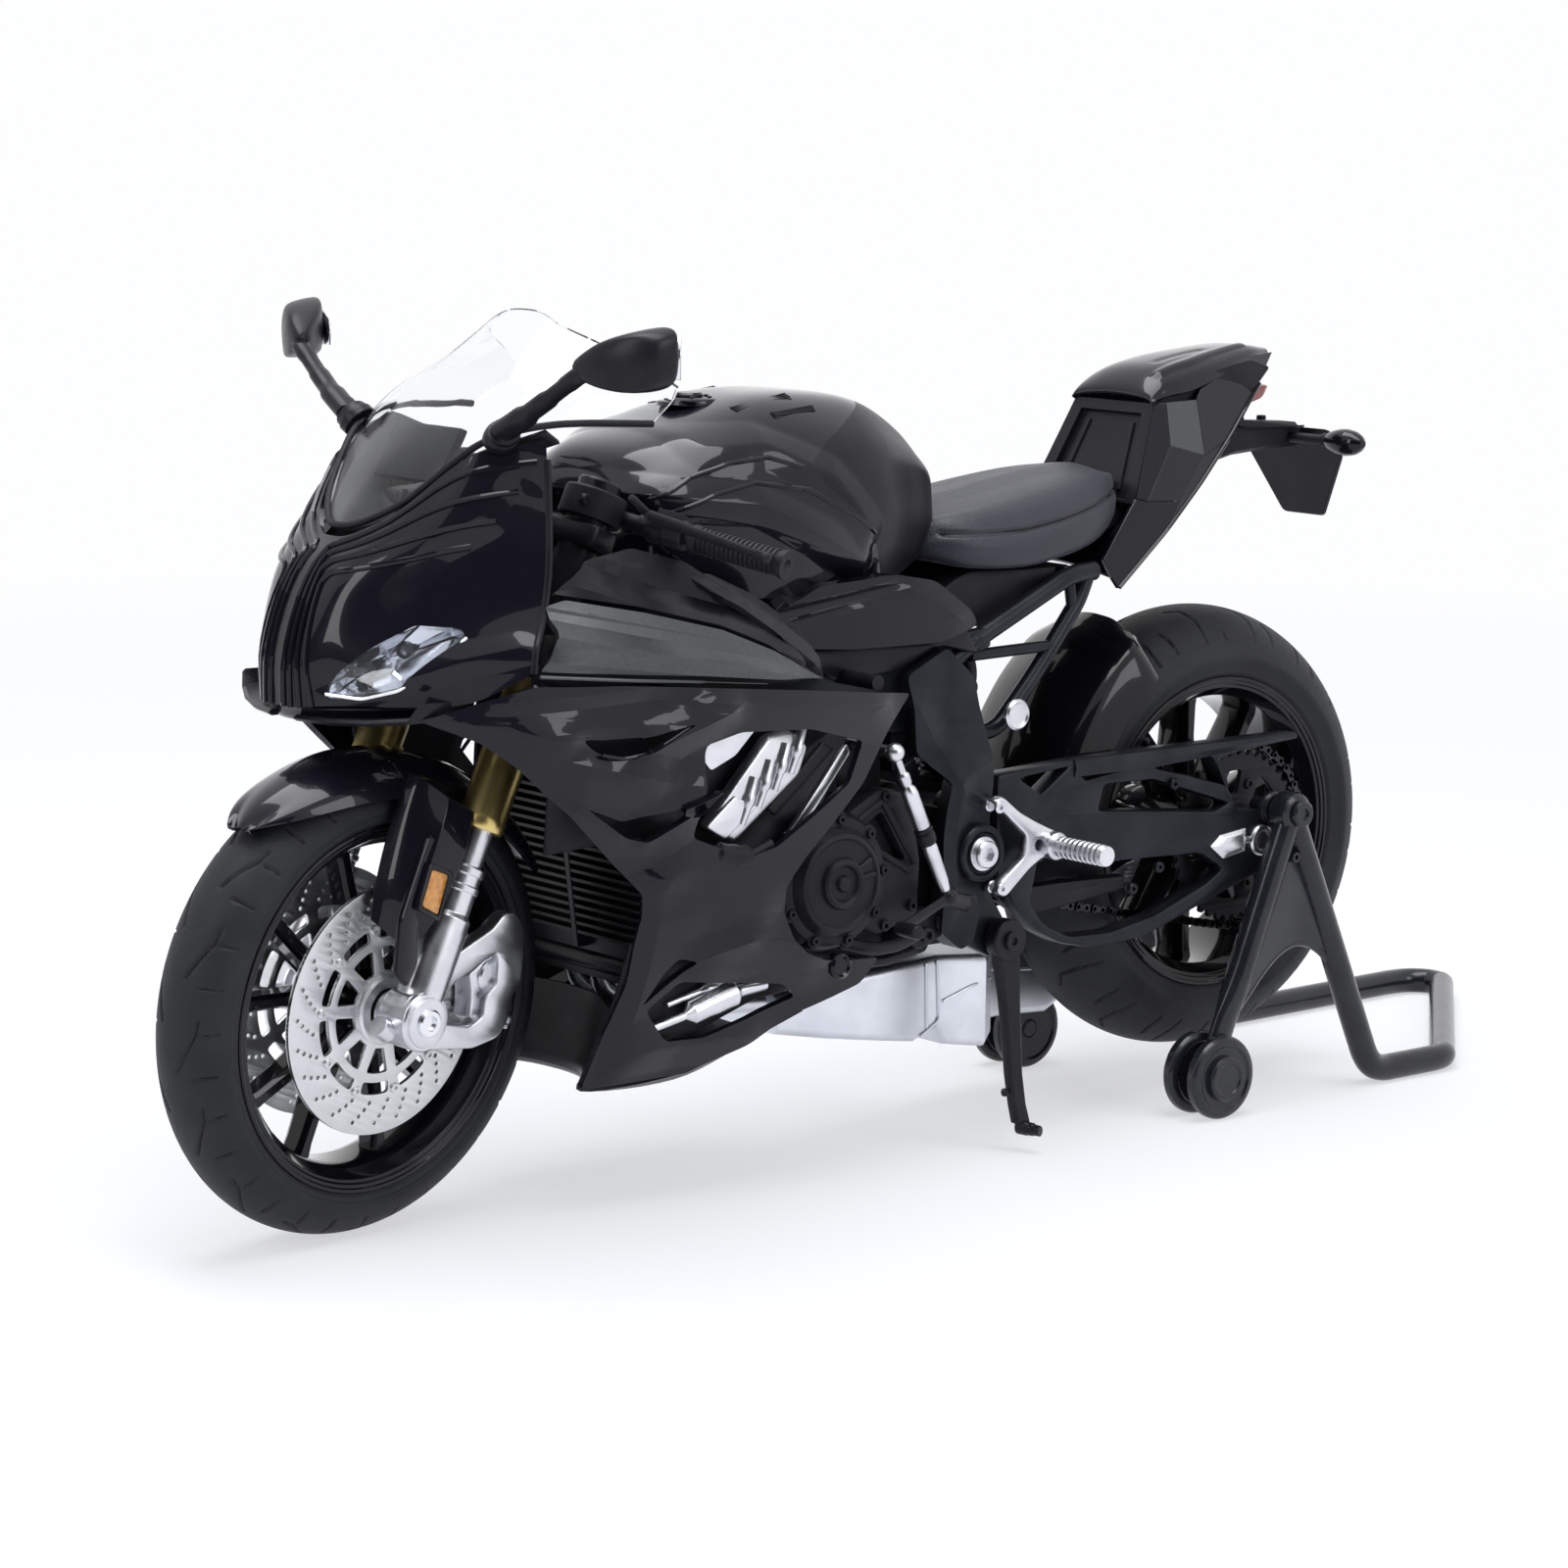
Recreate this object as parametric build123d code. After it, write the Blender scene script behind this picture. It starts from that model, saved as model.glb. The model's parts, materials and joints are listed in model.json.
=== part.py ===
from build123d import *
import math
import os

os.makedirs("parts", exist_ok=True)

# ---------------------------------------------------------------- driving sizes, mm
# A one-ninth scale sports motorcycle on its rear paddock stand.
# +X is forward, +Y is the rider's left, +Z is up, and the floor is at Z = 0.
wheelbase = 160.1
front_x = 80.05             # front axle ahead of the drawing origin
front_tyre_radius = 33.3
front_tyre_width = 13.3
front_rim_radius = 26.2
rear_tyre_radius = 35.6
rear_tyre_width = 21.1
rear_rim_radius = 24.9
rear_lift = 6.33            # how far the stand holds the rear tyre off the floor
running_fit = 0.08          # radial play of a shaft in its hole
joint_gap = 0.4             # between pieces that move past each other
seam_gap = 0.3              # between neighbouring covers

rake = 24.0                 # steering axis, degrees back from upright
fork_offset = 3.6           # fork legs ahead of the steering axis
fork_half_track = 12.0      # fork leg centre from the middle
fork_tube_radius = 3.0
slider_radius = 2.2
fork_top = 79.0             # along the fork from the front axle
rest_steer = 10.2           # the bars are turned to the left
lower_yoke_z = 50.0
head_bottom = 54.0
head_top = 68.4
upper_yoke_z = 69.0
yoke_thickness = 3.4
stem_radius = 2.0
axle_radius = 1.5

pivot_x = -19.0             # swingarm pivot
pivot_z = 46.4
pivot_bolt_radius = 1.4
arm_inner = 14.2            # inner face of each swingarm side
arm_outer = 18.2
plate_inner = 16.0          # frame plates beside the pivot
plate_outer = 20.5
sprocket_radius = 13.7
front_sprocket_x = -9.0
chain_inner = 11.7
chain_outer = 13.5

kick_x = -24.6              # kickstand pin
kick_z = 32.6
kick_y = 20.2
kick_pin_radius = 0.9

stand_y = 22.5              # middle of each stand side
stand_tube = 2.2            # stand tube radius
floor_flat = 0.25           # depth of the flat moulded under the floor loop
spool_back = 2.45           # spool behind and above the rear axle
spool_rise = 4.77
spool_radius = 1.5
spool_flange = 2.7
roller_ahead = 16.5         # roller ahead of the spool
roller_axle_radius = 1.4
roller_radius = 6.6
roller_half_width = 3.9
hugger_gap = 4.8            # top of the hugger above the tyre

skin = 1.0                  # thickness of the body covers

rear_x = front_x - wheelbase
rear_z = rear_tyre_radius + rear_lift
spool_x = rear_x - spool_back
spool_z = rear_z + spool_rise
roller_x = spool_x + roller_ahead
front_centre = (front_x, 0, front_tyre_radius)
rear_centre = (rear_x, 0, rear_z)

nodes = {}


# ---------------------------------------------------------------- shape helpers
def keep(name, *solids):
    """Store one node: a single solid, or a group of separate solids."""
    flat = []
    for item in solids:
        flat += list(item.solids())
    nodes[name] = flat


def polygon_face(points):
    """Flat face through 3-D corner points."""
    return Face(Wire.make_polygon([Vector(*p) for p in points], close=True))


def side_prism(outline, y0, y1):
    """Solid with an X-Z outline, from y0 to y1."""
    face = polygon_face([(x, y0, z) for x, z in outline])
    return Solid.extrude(face, Vector(0, y1 - y0, 0))


def front_prism(outline, x0, x1):
    """Solid with a Y-Z outline, from x0 to x1."""
    face = polygon_face([(x0, y, z) for y, z in outline])
    return Solid.extrude(face, Vector(x1 - x0, 0, 0))


def plan_prism(outline, z0, z1):
    """Solid with an X-Y outline, from z0 to z1."""
    face = polygon_face([(x, y, z0) for x, y in outline])
    return Solid.extrude(face, Vector(0, 0, z1 - z0))


def symmetric(outline):
    """Close a half outline, given at positive first values, by its mirror image."""
    return list(outline) + [(-a, b) for a, b in reversed(outline)]


def rod(start, end, radius):
    """Round bar between two points."""
    a = Vector(*start)
    b = Vector(*end)
    plane = Plane(origin=a, z_dir=b - a)
    return plane.location * Cylinder(radius, (b - a).length, align=(Align.CENTER, Align.CENTER,
        Align.MIN))


def tube_run(points, radius):
    """Round bar along a chain of points, with rounded corners and ends."""
    body = Pos(*points[0]) * Sphere(radius)
    for a, b in zip(points, points[1:]):
        body = body + rod(a, b, radius) + Pos(*b) * Sphere(radius)
    return body


def beam(first, last):
    """Straight-sided solid between two four-sided sections."""
    wires = [Wire.make_polygon([Vector(*p) for p in s], close=True) for s in (first, last)]
    return Solid.make_loft(wires, True)


def mirror_y(body):
    return body.mirror(Plane.XZ)


def wheel_ring(profile, centre, degrees=360.0, start=0.0):
    """Revolve an (radius, y) profile about the wheel's axle."""
    face = polygon_face([(r, y, 0) for r, y in profile])
    ring = revolve(face, Axis.Y, degrees)
    return Pos(*centre) * Rot(0, -start - degrees, 0) * ring


def closed_solid(faces):
    """Solid from a closed set of flat faces."""
    return Solid(Shell(faces))


def quad(a, b, c, d):
    """Two triangles over four corners that need not lie flat."""
    return [polygon_face([a, b, c]), polygon_face([a, c, d])]


def thick_sheet(outer, inner):
    """Solid between two equal grids of points, joined round their rims."""
    n = len(outer)
    m = len(outer[0])
    faces = []
    for i in range(n - 1):
        for j in range(m - 1):
            for g in (outer, inner):
                faces += quad(g[i][j], g[i][j + 1], g[i + 1][j + 1], g[i + 1][j])
    rim = [(0, j) for j in range(m)]
    rim += [(i, m - 1) for i in range(1, n)]
    rim += [(n - 1, j) for j in range(m - 2, -1, -1)]
    rim += [(i, 0) for i in range(n - 2, 0, -1)]
    for (i, j), (k, l) in zip(rim, rim[1:] + rim[:1]):
        faces += quad(outer[i][j], outer[k][l], inner[k][l], inner[i][j])
    return closed_solid(faces)


def panel(rows, thickness, inward):
    """Cover of even thickness below a grid of surface points.

    rows is a list of equally long rows. inward is a point inside the object that
    shows which side the thickness goes.
    """
    n = len(rows)
    m = len(rows[0])
    outer = [[Vector(*p) for p in row] for row in rows]
    inner = []
    for i in range(n):
        inner_row = []
        for j in range(m):
            along = outer[min(i + 1, n - 1)][j] - outer[max(i - 1, 0)][j]
            across = outer[i][min(j + 1, m - 1)] - outer[i][max(j - 1, 0)]
            normal = along.cross(across).normalized()
            if normal.dot(Vector(*inward) - outer[i][j]) < 0:
                normal = normal * -1
            inner_row.append(outer[i][j] + normal * thickness)
        inner.append(inner_row)
    return thick_sheet(outer, inner)


def stacked(rings):
    """Solid through a row of rings with equally many points, closed at both ends."""
    faces = []
    for a, b in zip(rings, rings[1:]):
        count = len(a)
        for j in range(count):
            k = (j + 1) % count
            faces += quad(a[j], a[k], b[k], b[j])
    for ring in (rings[0], rings[-1]):
        middle = tuple(sum(p[i] for p in ring) / len(ring) for i in range(3))
        for j in range(len(ring)):
            faces.append(polygon_face([ring[j], ring[(j + 1) % len(ring)], middle]))
    return closed_solid(faces)


# ---------------------------------------------------------------- body side surface
# Distance of the outer body surface from the middle, over the side view:
# one row per height, one column per X station.
side_x = [88, 76, 66, 50, 36, 22, 8, -8]
side_z = [16, 28, 38, 48, 58, 66, 74, 82, 92]
side_y = [
    [12, 14, 15.5, 17.0, 18.3, 19.5, 20.5, 20.0],
    [13, 16, 18.5, 20.5, 22.0, 23.3, 24.0, 22.5],
    [14, 18, 21.5, 24.0, 25.5, 26.3, 26.0, 24.0],
    [15, 20, 23.5, 26.0, 27.3, 27.5, 26.8, 24.5],
    [16, 22, 26.0, 28.0, 29.0, 28.8, 27.3, 24.8],
    [16.5, 23.5, 28.0, 30.0, 30.5, 29.6, 27.6, 24.8],
    [17, 24.5, 29.5, 31.0, 31.0, 29.8, 27.4, 24.5],
    [17, 25, 30.0, 31.0, 30.2, 28.6, 26.2, 23.5],
    [16, 24, 28.0, 28.5, 27.2, 25.5, 23.5, 21.5],
]
side_grid = [[(x, y, z) for x, y in zip(side_x, row)] for z, row in zip(side_z, side_y)]


def side_skin():
    """The whole left body surface as one thick sheet."""
    outer = [[Vector(*p) for p in row] for row in side_grid]
    inner = [[p - Vector(0, skin, 0) for p in row] for row in outer]
    return thick_sheet(outer, inner)


def cut_from_skin(outline, holes=()):
    """A cover cut out of the side surface by an outline in the side view."""
    tool = side_prism(outline, 5, 40)
    for hole in holes:
        tool = tool - side_prism(hole, 4, 41)
    return left_skin & tool


left_skin = side_skin()

fairing_outline = [
    (82.5, 74.9), (75.2, 71.8), (70.4, 68.2), (61.1, 59.8), (48.3, 51.2), (48.0, 46.5), (48.8, 40.4),
    (48.7, 35.2), (49.6, 30.2), (52.4, 19.5), (35.2, 19.9), (25.4, 23.3), (18.5, 27.0), (6.9, 30.4),
    (3.8, 33.9), (14.6, 34.9), (21.9, 39.0), (23.4, 46.8), (14.0, 56.5), (9.4, 60.6), (4.5, 67.7),
    (-0.6, 72.5), (21.7, 75.2), (38.3, 77.0), (55.3, 78.6), (68.6, 79.3),
]
vent_outline = [
    (40.8, 69.1), (34.8, 70.5), (21.6, 69.7), (9.9, 66.7), (12.5, 60.8), (25.8, 53.0), (31.2,
        51.9), (41.3, 55.9),
]
slot_outline = [(45.0, 30.9), (40.0, 37.6), (35.0, 37.0), (21.7, 32.2), (18.8, 29.8), (34.1, 25.4),
                (40.6, 25.6)]
duct_outline = [(66.5, 76.5), (64.0, 70.5), (58.0, 67.5), (50.0, 68.6), (43.5, 73.0), (52.0, 77.0)]
accent_outline = [(63.9, 90.8), (68.6, 81.2), (18.0, 76.4), (31.7, 80.6), (42.9, 86.4), (56.5, 89.6)]


def side_covers():
    """Left and right lower fairings and the accent panels above them."""
    fairing = cut_from_skin(fairing_outline, [vent_outline, slot_outline, duct_outline])
    accent = cut_from_skin(accent_outline)
    keep("side_fairing_left", fairing)
    keep("side_fairing_right", mirror_y(fairing))
    keep("accent_panels", accent, mirror_y(accent))


# ---------------------------------------------------------------- nose
nose_rows = [
    [(91.5, 0, 75.4), (91.0, 4, 75.4), (87.5, 9.0, 76.0), (82.5, 17.0, 76.2), (76.0, 23.5, 77.0),
     (69.6, 29.2, 81.2)],
    [(91.3, 0, 82.0), (91.0, 4, 82.0), (88.8, 8.5, 82.0), (84.5, 14.5, 82.0), (78.5, 21.0, 82.5),
     (69.0, 28.8, 84.0)],
    [(89.3, 0, 89.0), (89.2, 4, 89.0), (87.6, 8.5, 89.0), (83.0, 13.5, 89.5), (77.0, 19.5, 89.0),
     (66.0, 26.6, 89.8)],
    [(86.3, 0, 94.5), (86.2, 4, 94.5), (84.8, 9.0, 95.0), (80.0, 14.0, 96.0), (74.0, 18.8, 97.0),
     (64.0, 24.8, 97.5)],
    [(82.5, 0, 98.0), (81.8, 4, 98.6), (78.0, 9.5, 102.0), (72.0, 13.8, 108.0), (68.0, 16.8, 110.4),
     (61.0, 20.0, 111.5)],
]
lamp_outline = [(8.0, 76.9), (8.2, 78.8), (9.4, 80.4), (17.0, 87.3), (21.0, 87.0), (21.8, 85.8),
                (16.8, 78.7), (12.5, 77.3)]
screen_rows = [
    [(81.5, 0, 99.4), (80.4, 4, 100.0), (76.4, 9.5, 103.4), (70.6, 13.8, 109.6), (66.0, 16.6, 112.2),
     (58.0, 19.4, 113.6), (44.0, 21.6, 113.2)],
    [(70.0, 0, 112.0), (69.0, 4.4, 112.6), (66.5, 9.4, 114.2), (62.5, 13.6, 116.4), (58.5, 16.4, 117.6),
     (51.0, 19.2, 118.2), (40.0, 20.8, 116.0)],
    [(50.0, 0, 128.3), (50.1, 4.0, 128.0), (50.1, 8.0, 126.6), (48.0, 12.0, 124.8), (45.5, 14.0, 123.4),
     (42.0, 16.4, 121.6), (37.3, 19.0, 118.0)],
]


def mirrored_rows(rows):
    """Whole rows from the left half, with the middle column used once."""
    return [[(x, -y, z) for x, y, z in reversed(row[1:])] + row for row in rows]


def nose():
    """Nose cowl with its lamp openings, clear lamps and screen."""
    cowl = panel(mirrored_rows(nose_rows), skin, (60, 0, 90))
    opening = front_prism(lamp_outline, 60, 100)
    centre_y = sum(p[0] for p in lamp_outline) / len(lamp_outline)
    centre_z = sum(p[1] for p in lamp_outline) / len(lamp_outline)
    inset = 0.95
    lens_outline = [(centre_y + (y - centre_y) * inset, centre_z + (z - centre_z) * inset) for y,
                    z in lamp_outline]
    lens = cowl & front_prism(lens_outline, 60, 100)
    cowl = cowl - opening - mirror_y(opening)
    keep("nose_cowl", cowl)
    keep("headlights", lens, mirror_y(lens))
    keep("windscreen", panel(mirrored_rows(screen_rows), 0.7, (40, 0, 100)))


def dash():
    """Instrument panel on the front stay, which also carries the nose cowl."""
    face = side_prism([(69.5, 104.0), (71.2, 105.0), (66.6, 113.2), (64.8, 112.4)], -8, 8)
    keep("dash", face)
    stay = tube_run([(72.5, 0, 90.0), (70.6, 0, 102.6)], 1.1)
    stay = stay + tube_run([(56.8, 0, 88.0), (72.5, 0, 90.0)], 1.3)
    stay = stay + rod((72.5, 0, 90.0), (87.6, 0, 89.0), 1.1)
    stay = stay + rod((72.5, 0, 90.0), (72.5, 19.8, 90.0), 1.0) + rod((72.5, 0, 90.0),
        (72.5, -19.8, 90.0), 1.0)
    return stay - nodes["main_frame"][0]


mirror_sections = [
    # y, rear x, front x, low z, high z
    (32.5, 64.5, 66.6, 120.9, 123.7),
    (37.0, 59.0, 65.8, 119.4, 127.0),
    (41.5, 56.5, 63.6, 118.8, 128.4),
    (44.8, 57.2, 60.6, 120.6, 127.0),
]


def mirrors():
    """Mirror heads on stalks from the top corners of the cowl."""
    rings = []
    for y, x0, x1, z0, z1 in mirror_sections:
        bevel = (z1 - z0) * 0.18
        mid = (z0 + z1) / 2
        ring = [(x0, z0 + bevel), (x1, z0), (x1 + 0.5, mid), (x1, z1 - bevel), (x0, z1), (x0 - 0.4, mid)]
        rings.append([(x, y, z) for x, z in ring])
    stalk = tube_run([(67.4, 18.3, 112.6), (66.4, 26.0, 117.2), (65.4, 35.4, 122.4)], 1.3)
    head = stacked(rings) + stalk
    keep("mirrors", head, mirror_y(head))


# ---------------------------------------------------------------- tank, seat, tail
tank_sections = [
    # x, top z, shoulder (y, z), widest (y, z), bottom (y, z)
    (39.5, 107.5, 11.0, 105.0, 16.0, 99.0, 13.5, 92.4),
    (30.0, 111.3, 14.5, 109.0, 19.3, 101.0, 16.0, 88.6),
    (15.0, 115.3, 15.0, 111.5, 20.4, 99.5, 17.0, 86.2),
    (0.0, 115.0, 13.2, 111.0, 18.3, 99.5, 15.2, 86.2),
    (-10.0, 112.0, 9.8, 108.5, 14.0, 98.5, 12.0, 88.2),
    (-18.5, 106.0, 5.8, 104.0, 9.0, 98.0, 8.0, 92.0),
]
rear_cover_side = [(-30, 80), (-30, 120), (-7, 120), (-4, 112.5), (14.1, 106.3), (2.1, 96.4), (-3, 89),
                   (-5, 80)]


def tank():
    """Fuel tank cover, and the dark cover that closes its rear end."""
    rings = []
    for x, top, sy, sz, wy, wz, by, bz in tank_sections:
        half = [(0, top), (sy * 0.55, top - 0.5), (sy, sz), (wy, wz), (by, bz), (by * 0.5, bz)]
        ring = [(x, y, z) for y, z in half] + [(x, 0, bz)] + [(x, -y, z) for y, z in reversed(half[1:])]
        rings.append(ring)
    body = stacked(rings)
    rear = side_prism(rear_cover_side, -25, 25)
    keep("tank", body - rear)
    keep("tank_rear_cover", body & rear)


seat_side = [
    (-13.6, 91.4), (-16.0, 95.4), (-21.0, 96.8), (-30.0, 98.0), (-42.0, 100.2), (-52.0, 101.3), (-59.0,
        101.4),
    (-53.6, 94.0), (-49.2, 88.4), (-34.0, 87.9), (-22.0, 88.6),
]
seat_plan = [(-13, 9.5), (-19, 14.6), (-30, 16.0), (-42, 15.0), (-52, 12.4), (-57, 9.5), (-60, 6.0)]
tail_side = [
    (-45.5, 102.6), (-46.5, 112.0), (-50, 115.0), (-54.6, 116.7), (-66, 118.5), (-88, 119.2), (-95,
        118.4), (-89, 114.0),
    (-79, 102.2), (-71, 97.3), (-51, 83.1), (-48.6, 86.0), (-55.0, 94.6), (-61.2, 102.4),
]
tail_section = symmetric([(15.4, 82.0), (12.6, 98.0), (9.6, 112.0), (6.0, 120.0)])
pad_side = [(-46.6, 111.0), (-50.6, 112.4), (-60.0, 112.4), (-64.5, 110.0), (-70.6, 103.0),
            (-62.0, 102.9), (-50.0, 103.1)]


def along_x(points):
    """Symmetric plan outline from points given as (x, half width)."""
    return list(points) + [(x, -y) for x, y in reversed(points)]


def seat_and_tail():
    """Rider's seat, tail cowl, the pad let into it, and its lamp."""
    seat = side_prism(seat_side, -20, 20) & plan_prism(along_x(seat_plan), 80, 110)
    keep("seat", seat - nodes["tank_rear_cover"][0])
    tail_plan = along_x([(-44, 9.5), (-50, 16), (-64, 16), (-80, 11.6), (-96, 5.6)])
    tail = side_prism(tail_side, -20, 20) & front_prism(tail_section, -100, -40) & plan_prism(tail_plan,
        80, 122)
    lamp_cut = side_prism([(-100, 108.5), (-100, 113.2), (-86.0, 113.2), (-82.0, 108.5)], -4.6, 4.6)
    keep("tail_light", tail & lamp_cut)
    tail = tail - lamp_cut
    pocket = side_prism(pad_side, 9.2, 20)
    pad = (tail & side_prism(pad_side, -20, 20) & side_prism(pad_side, 9.4, 20))
    keep("tail_cowl", tail - pocket - mirror_y(pocket))
    keep("tail_side_pads", pad, mirror_y(pad))


def licence_holder():
    """Bracket behind the tail, bare plate and indicator lamps."""
    plate_top = 105.2
    arm_end = [(-103.0 - (plate_top - z) * 0.25 + 0.05, y, z)
               for y, z in [(-3.0, 101.5), (3.0, 101.5), (3.0, 106.4), (-3.0, 106.4)]]
    arm = beam([(-80.0, -3.4, 99.0), (-80.0, 3.4, 99.0), (-83.5, 3.0, 106.8), (-83.5, -3.0, 106.8)],
               arm_end)
    arm = arm + rod((-100.4, -11.2, 103.6), (-100.4, 11.2, 103.6), 0.9)
    arm = arm - nodes["tail_cowl"][0]
    keep("licence_bracket", arm)
    half = [(4.2, 90.5), (10.8, 101.2), (8.6, plate_top)]
    front = [(-103.0 - (plate_top - z) * 0.25, y, z) for y, z in symmetric(half)]
    plate = Solid.extrude(polygon_face(front), Vector(-0.9, 0, -0.2))
    keep("number_plate", plate)
    lamp = Pos(-100.4, 15.0, 103.6) * scale(Sphere(1.0), by=(2.3, 4.0, 2.2))
    lamp = lamp - rod((-100.4, 10.0, 103.6), (-100.4, 11.3, 103.6), 1.0)
    keep("indicators", lamp, mirror_y(lamp))


# ---------------------------------------------------------------- frame and engine
def frame_side():
    """Left spar and pivot plate."""
    plate = side_prism([
        (-4.5, 74.2), (-12.4, 77.9), (-17.7, 73.0), (-21.1, 58.1), (-21.0, 49.4), (-20.6, 42.0),
        (-17.8, 31.5), (-11.8, 35.0), (-11.6, 48.8), (-12.4, 57.6), (-6.5, 62.4),
    ], plate_inner, plate_outer)
    boss = rod((pivot_x, plate_inner, pivot_z), (pivot_x, plate_outer + 0.5, pivot_z), 4.2)
    spar = side_prism([
        (-12.0, 64.0), (-12.4, 77.5), (0.0, 83.6), (15.0, 85.8), (30.0, 87.9), (39.0, 89.6), (39.0,
            79.0), (20.0, 73.0), (2.0, 66.0),
    ], 14.0, 17.2)
    front = beam([(39.0, 14.0, 79.0), (39.0, 17.2, 79.0), (39.0, 17.2, 89.6), (39.0, 14.0, 89.6)],
                 [(51.5, 1.0, 83.5), (51.5, 3.6, 83.5), (47.6, 3.6, 93.0), (47.6, 1.0, 93.0)])
    lug = side_prism([(-16.6, 33.0), (-18.4, 41.0), (-23.0, 40.5), (-27.4, 33.6), (-26.8, 30.2),
                      (-24.0, 29.2)], 16.0, 18.4)
    return plate + boss + spar + front + lug


def fork_location():
    """Frame of the fork: origin at the front axle, Z up along the legs."""
    lean = math.radians(rake)
    return Plane(origin=front_centre, x_dir=(math.cos(lean), 0, math.sin(lean)),
                 z_dir=(-math.sin(lean), 0, math.cos(lean))).location


def on_axis(height):
    """Point of the steering axis at a height along the fork."""
    return (fork_location() * Pos(-fork_offset, 0, height)).position


def main_frame():
    """Twin-spar frame with head tube, swingarm bolt and cross members."""
    left = frame_side()
    head = rod(on_axis(head_bottom), on_axis(head_top), 4.2)
    body = left + mirror_y(left) + head
    body = body + rod((-8.0, -plate_inner, 70.0), (-8.0, plate_inner, 70.0), 1.8)
    body = body + rod((-15.0, -16.2, 73.0), (-15.0, 16.2, 73.0), 1.8)
    bore = rod(on_axis(head_bottom - 2), on_axis(head_top + 2), stem_radius + running_fit)
    hole = rod((pivot_x, -30, pivot_z), (pivot_x, 30, pivot_z), pivot_bolt_radius)
    keep("main_frame", body - bore - hole)
    bolt = rod((pivot_x, -22.4, pivot_z), (pivot_x, 22.4, pivot_z), pivot_bolt_radius)
    for side in (-1, 1):
        bolt = bolt + rod((pivot_x, side * 21.0, pivot_z), (pivot_x, side * 22.4, pivot_z), 2.2)
    pin = rod((kick_x, 18.4, kick_z), (kick_x, 22.2, kick_z), kick_pin_radius)
    pin = pin + rod((kick_x, 21.6, kick_z), (kick_x, 22.2, kick_z), 1.5)
    keep("pivot_bolts", bolt, pin)


engine_front = 33.0
engine_rear = -2.6
engine_half = 18.0


def engine():
    """Engine block, gearbox with drive sprocket, side covers and finned sides."""
    case = side_prism([
        (engine_rear, 33.0), (4.0, 30.0), (26.0, 28.0), (engine_front, 33.0), (engine_front, 50.0),
        (28.0, 55.0), (engine_rear, 55.0),
    ], -engine_half, engine_half)
    head = side_prism([(2.0, 55.0), (28.0, 55.0), (34.0, 66.0), (30.0, 72.0), (12.0, 72.0), (4.0, 64.0)],
                      -13.6, 13.6)
    gearbox = side_prism([(-14.4, 39.0), (-2.6, 36.0), (-2.6, 55.0), (-11.0, 57.0), (-14.4, 53.0)], -10.8,
                         10.8)
    mount = rod((-4.0, -13.9, 67.6), (-4.0, 13.9, 67.6), 1.4)
    link = side_prism([(-8.0, 54.0), (-2.6, 54.0), (4.0, 60.0), (-2.6, 69.4), (-6.0, 68.0), (-8.0, 64.0)],
                      -10.8, 10.8)
    sprocket = rod((front_sprocket_x, 10.8, pivot_z), (front_sprocket_x, 13.2, pivot_z), 1.4)
    sprocket = sprocket + rod((front_sprocket_x, 12.1, pivot_z), (front_sprocket_x, 13.2, pivot_z), 2.9)
    keep("engine_block", case + head + gearbox + link + mount + sprocket)
    covers = []
    for sign, cx, cz in ((1, 11.6, 45.8), (-1, 10.0, 44.0)):
        cover = rod((cx, sign * engine_half, cz), (cx, sign * 23.6, cz), 10.0)
        cover = cover + rod((cx, sign * 23.6, cz), (cx, sign * 25.2, cz), 7.0)
        cover = cover + rod((cx, sign * 25.2, cz), (cx, sign * 26.2, cz), 3.2)
        for k in range(8):
            turn = math.radians(45 * k + 20)
            bx = cx + 8.6 * math.cos(turn)
            bz = cz + 8.6 * math.sin(turn)
            cover = cover + rod((bx, sign * 23.6, bz), (bx, sign * 24.5, bz), 0.9)
        covers.append(cover)
    keep("engine_covers", *covers)
    fins = []
    for k in range(5):
        x = 20.0 + 3.6 * k
        fins.append(side_prism([(x - 4.0, 56.0), (x - 1.8, 56.0), (x + 1.8, 67.0), (x - 0.4, 67.0)], 13.6,
                               23.0))
    backing = side_prism([(16.0, 56.5), (32.6, 56.5), (35.0, 66.5), (19.6, 66.5)], 13.6, 21.4)
    side = backing
    for fin in fins:
        side = side + fin
    side = side - side_prism([(engine_rear, 20), (60, 20), (60, 55.2), (engine_rear, 55.2)], 10, 30)
    keep("engine_fins", side, mirror_y(side))


def radiator():
    """Ribbed radiator with its hoses to the engine."""
    core = side_prism([(42.5, 61.5), (39.0, 36.0), (39.4, 31.5), (36.9, 31.5), (36.5, 36.0),
                       (40.0, 61.5)], -18.4, 18.4)
    for side in (-1, 1):
        core = core + rod((engine_front, side * 12.0, 42.0), (38.0, side * 12.0, 42.0), 1.6)
        core = core + tube_run([(39.6, side * 10.0, 54.0), (36.2, side * 10.0, 54.6),
                                (32.4, side * 10.0, 60.0)], 1.3)
    core = core - nodes["engine_block"][0]
    keep("radiator", core)


belly_rows = [
    [(42.0, 0, 30.6), (43.0, 8, 30.6), (46.4, 14.8, 30.6), (48.2, 18.6, 30.6)],
    [(43.0, 0, 24.0), (44.2, 8, 24.0), (48.0, 14.0, 24.0), (50.2, 17.2, 24.0)],
    [(44.0, 0, 18.2), (45.2, 8, 18.2), (49.4, 13.0, 18.4), (51.6, 15.4, 18.8)],
    [(33.0, 0, 17.2), (33.0, 8, 17.2), (34.0, 14.0, 17.8), (35.0, 17.2, 19.4)],
    [(20.0, 0, 19.6), (20.0, 8, 19.8), (22.0, 15.0, 21.5), (24.0, 19.2, 23.2)],
    [(14.0, 0, 21.0), (14.0, 8, 21.2), (14.4, 15.4, 24.4), (15.0, 20.6, 26.6)],
]


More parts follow.
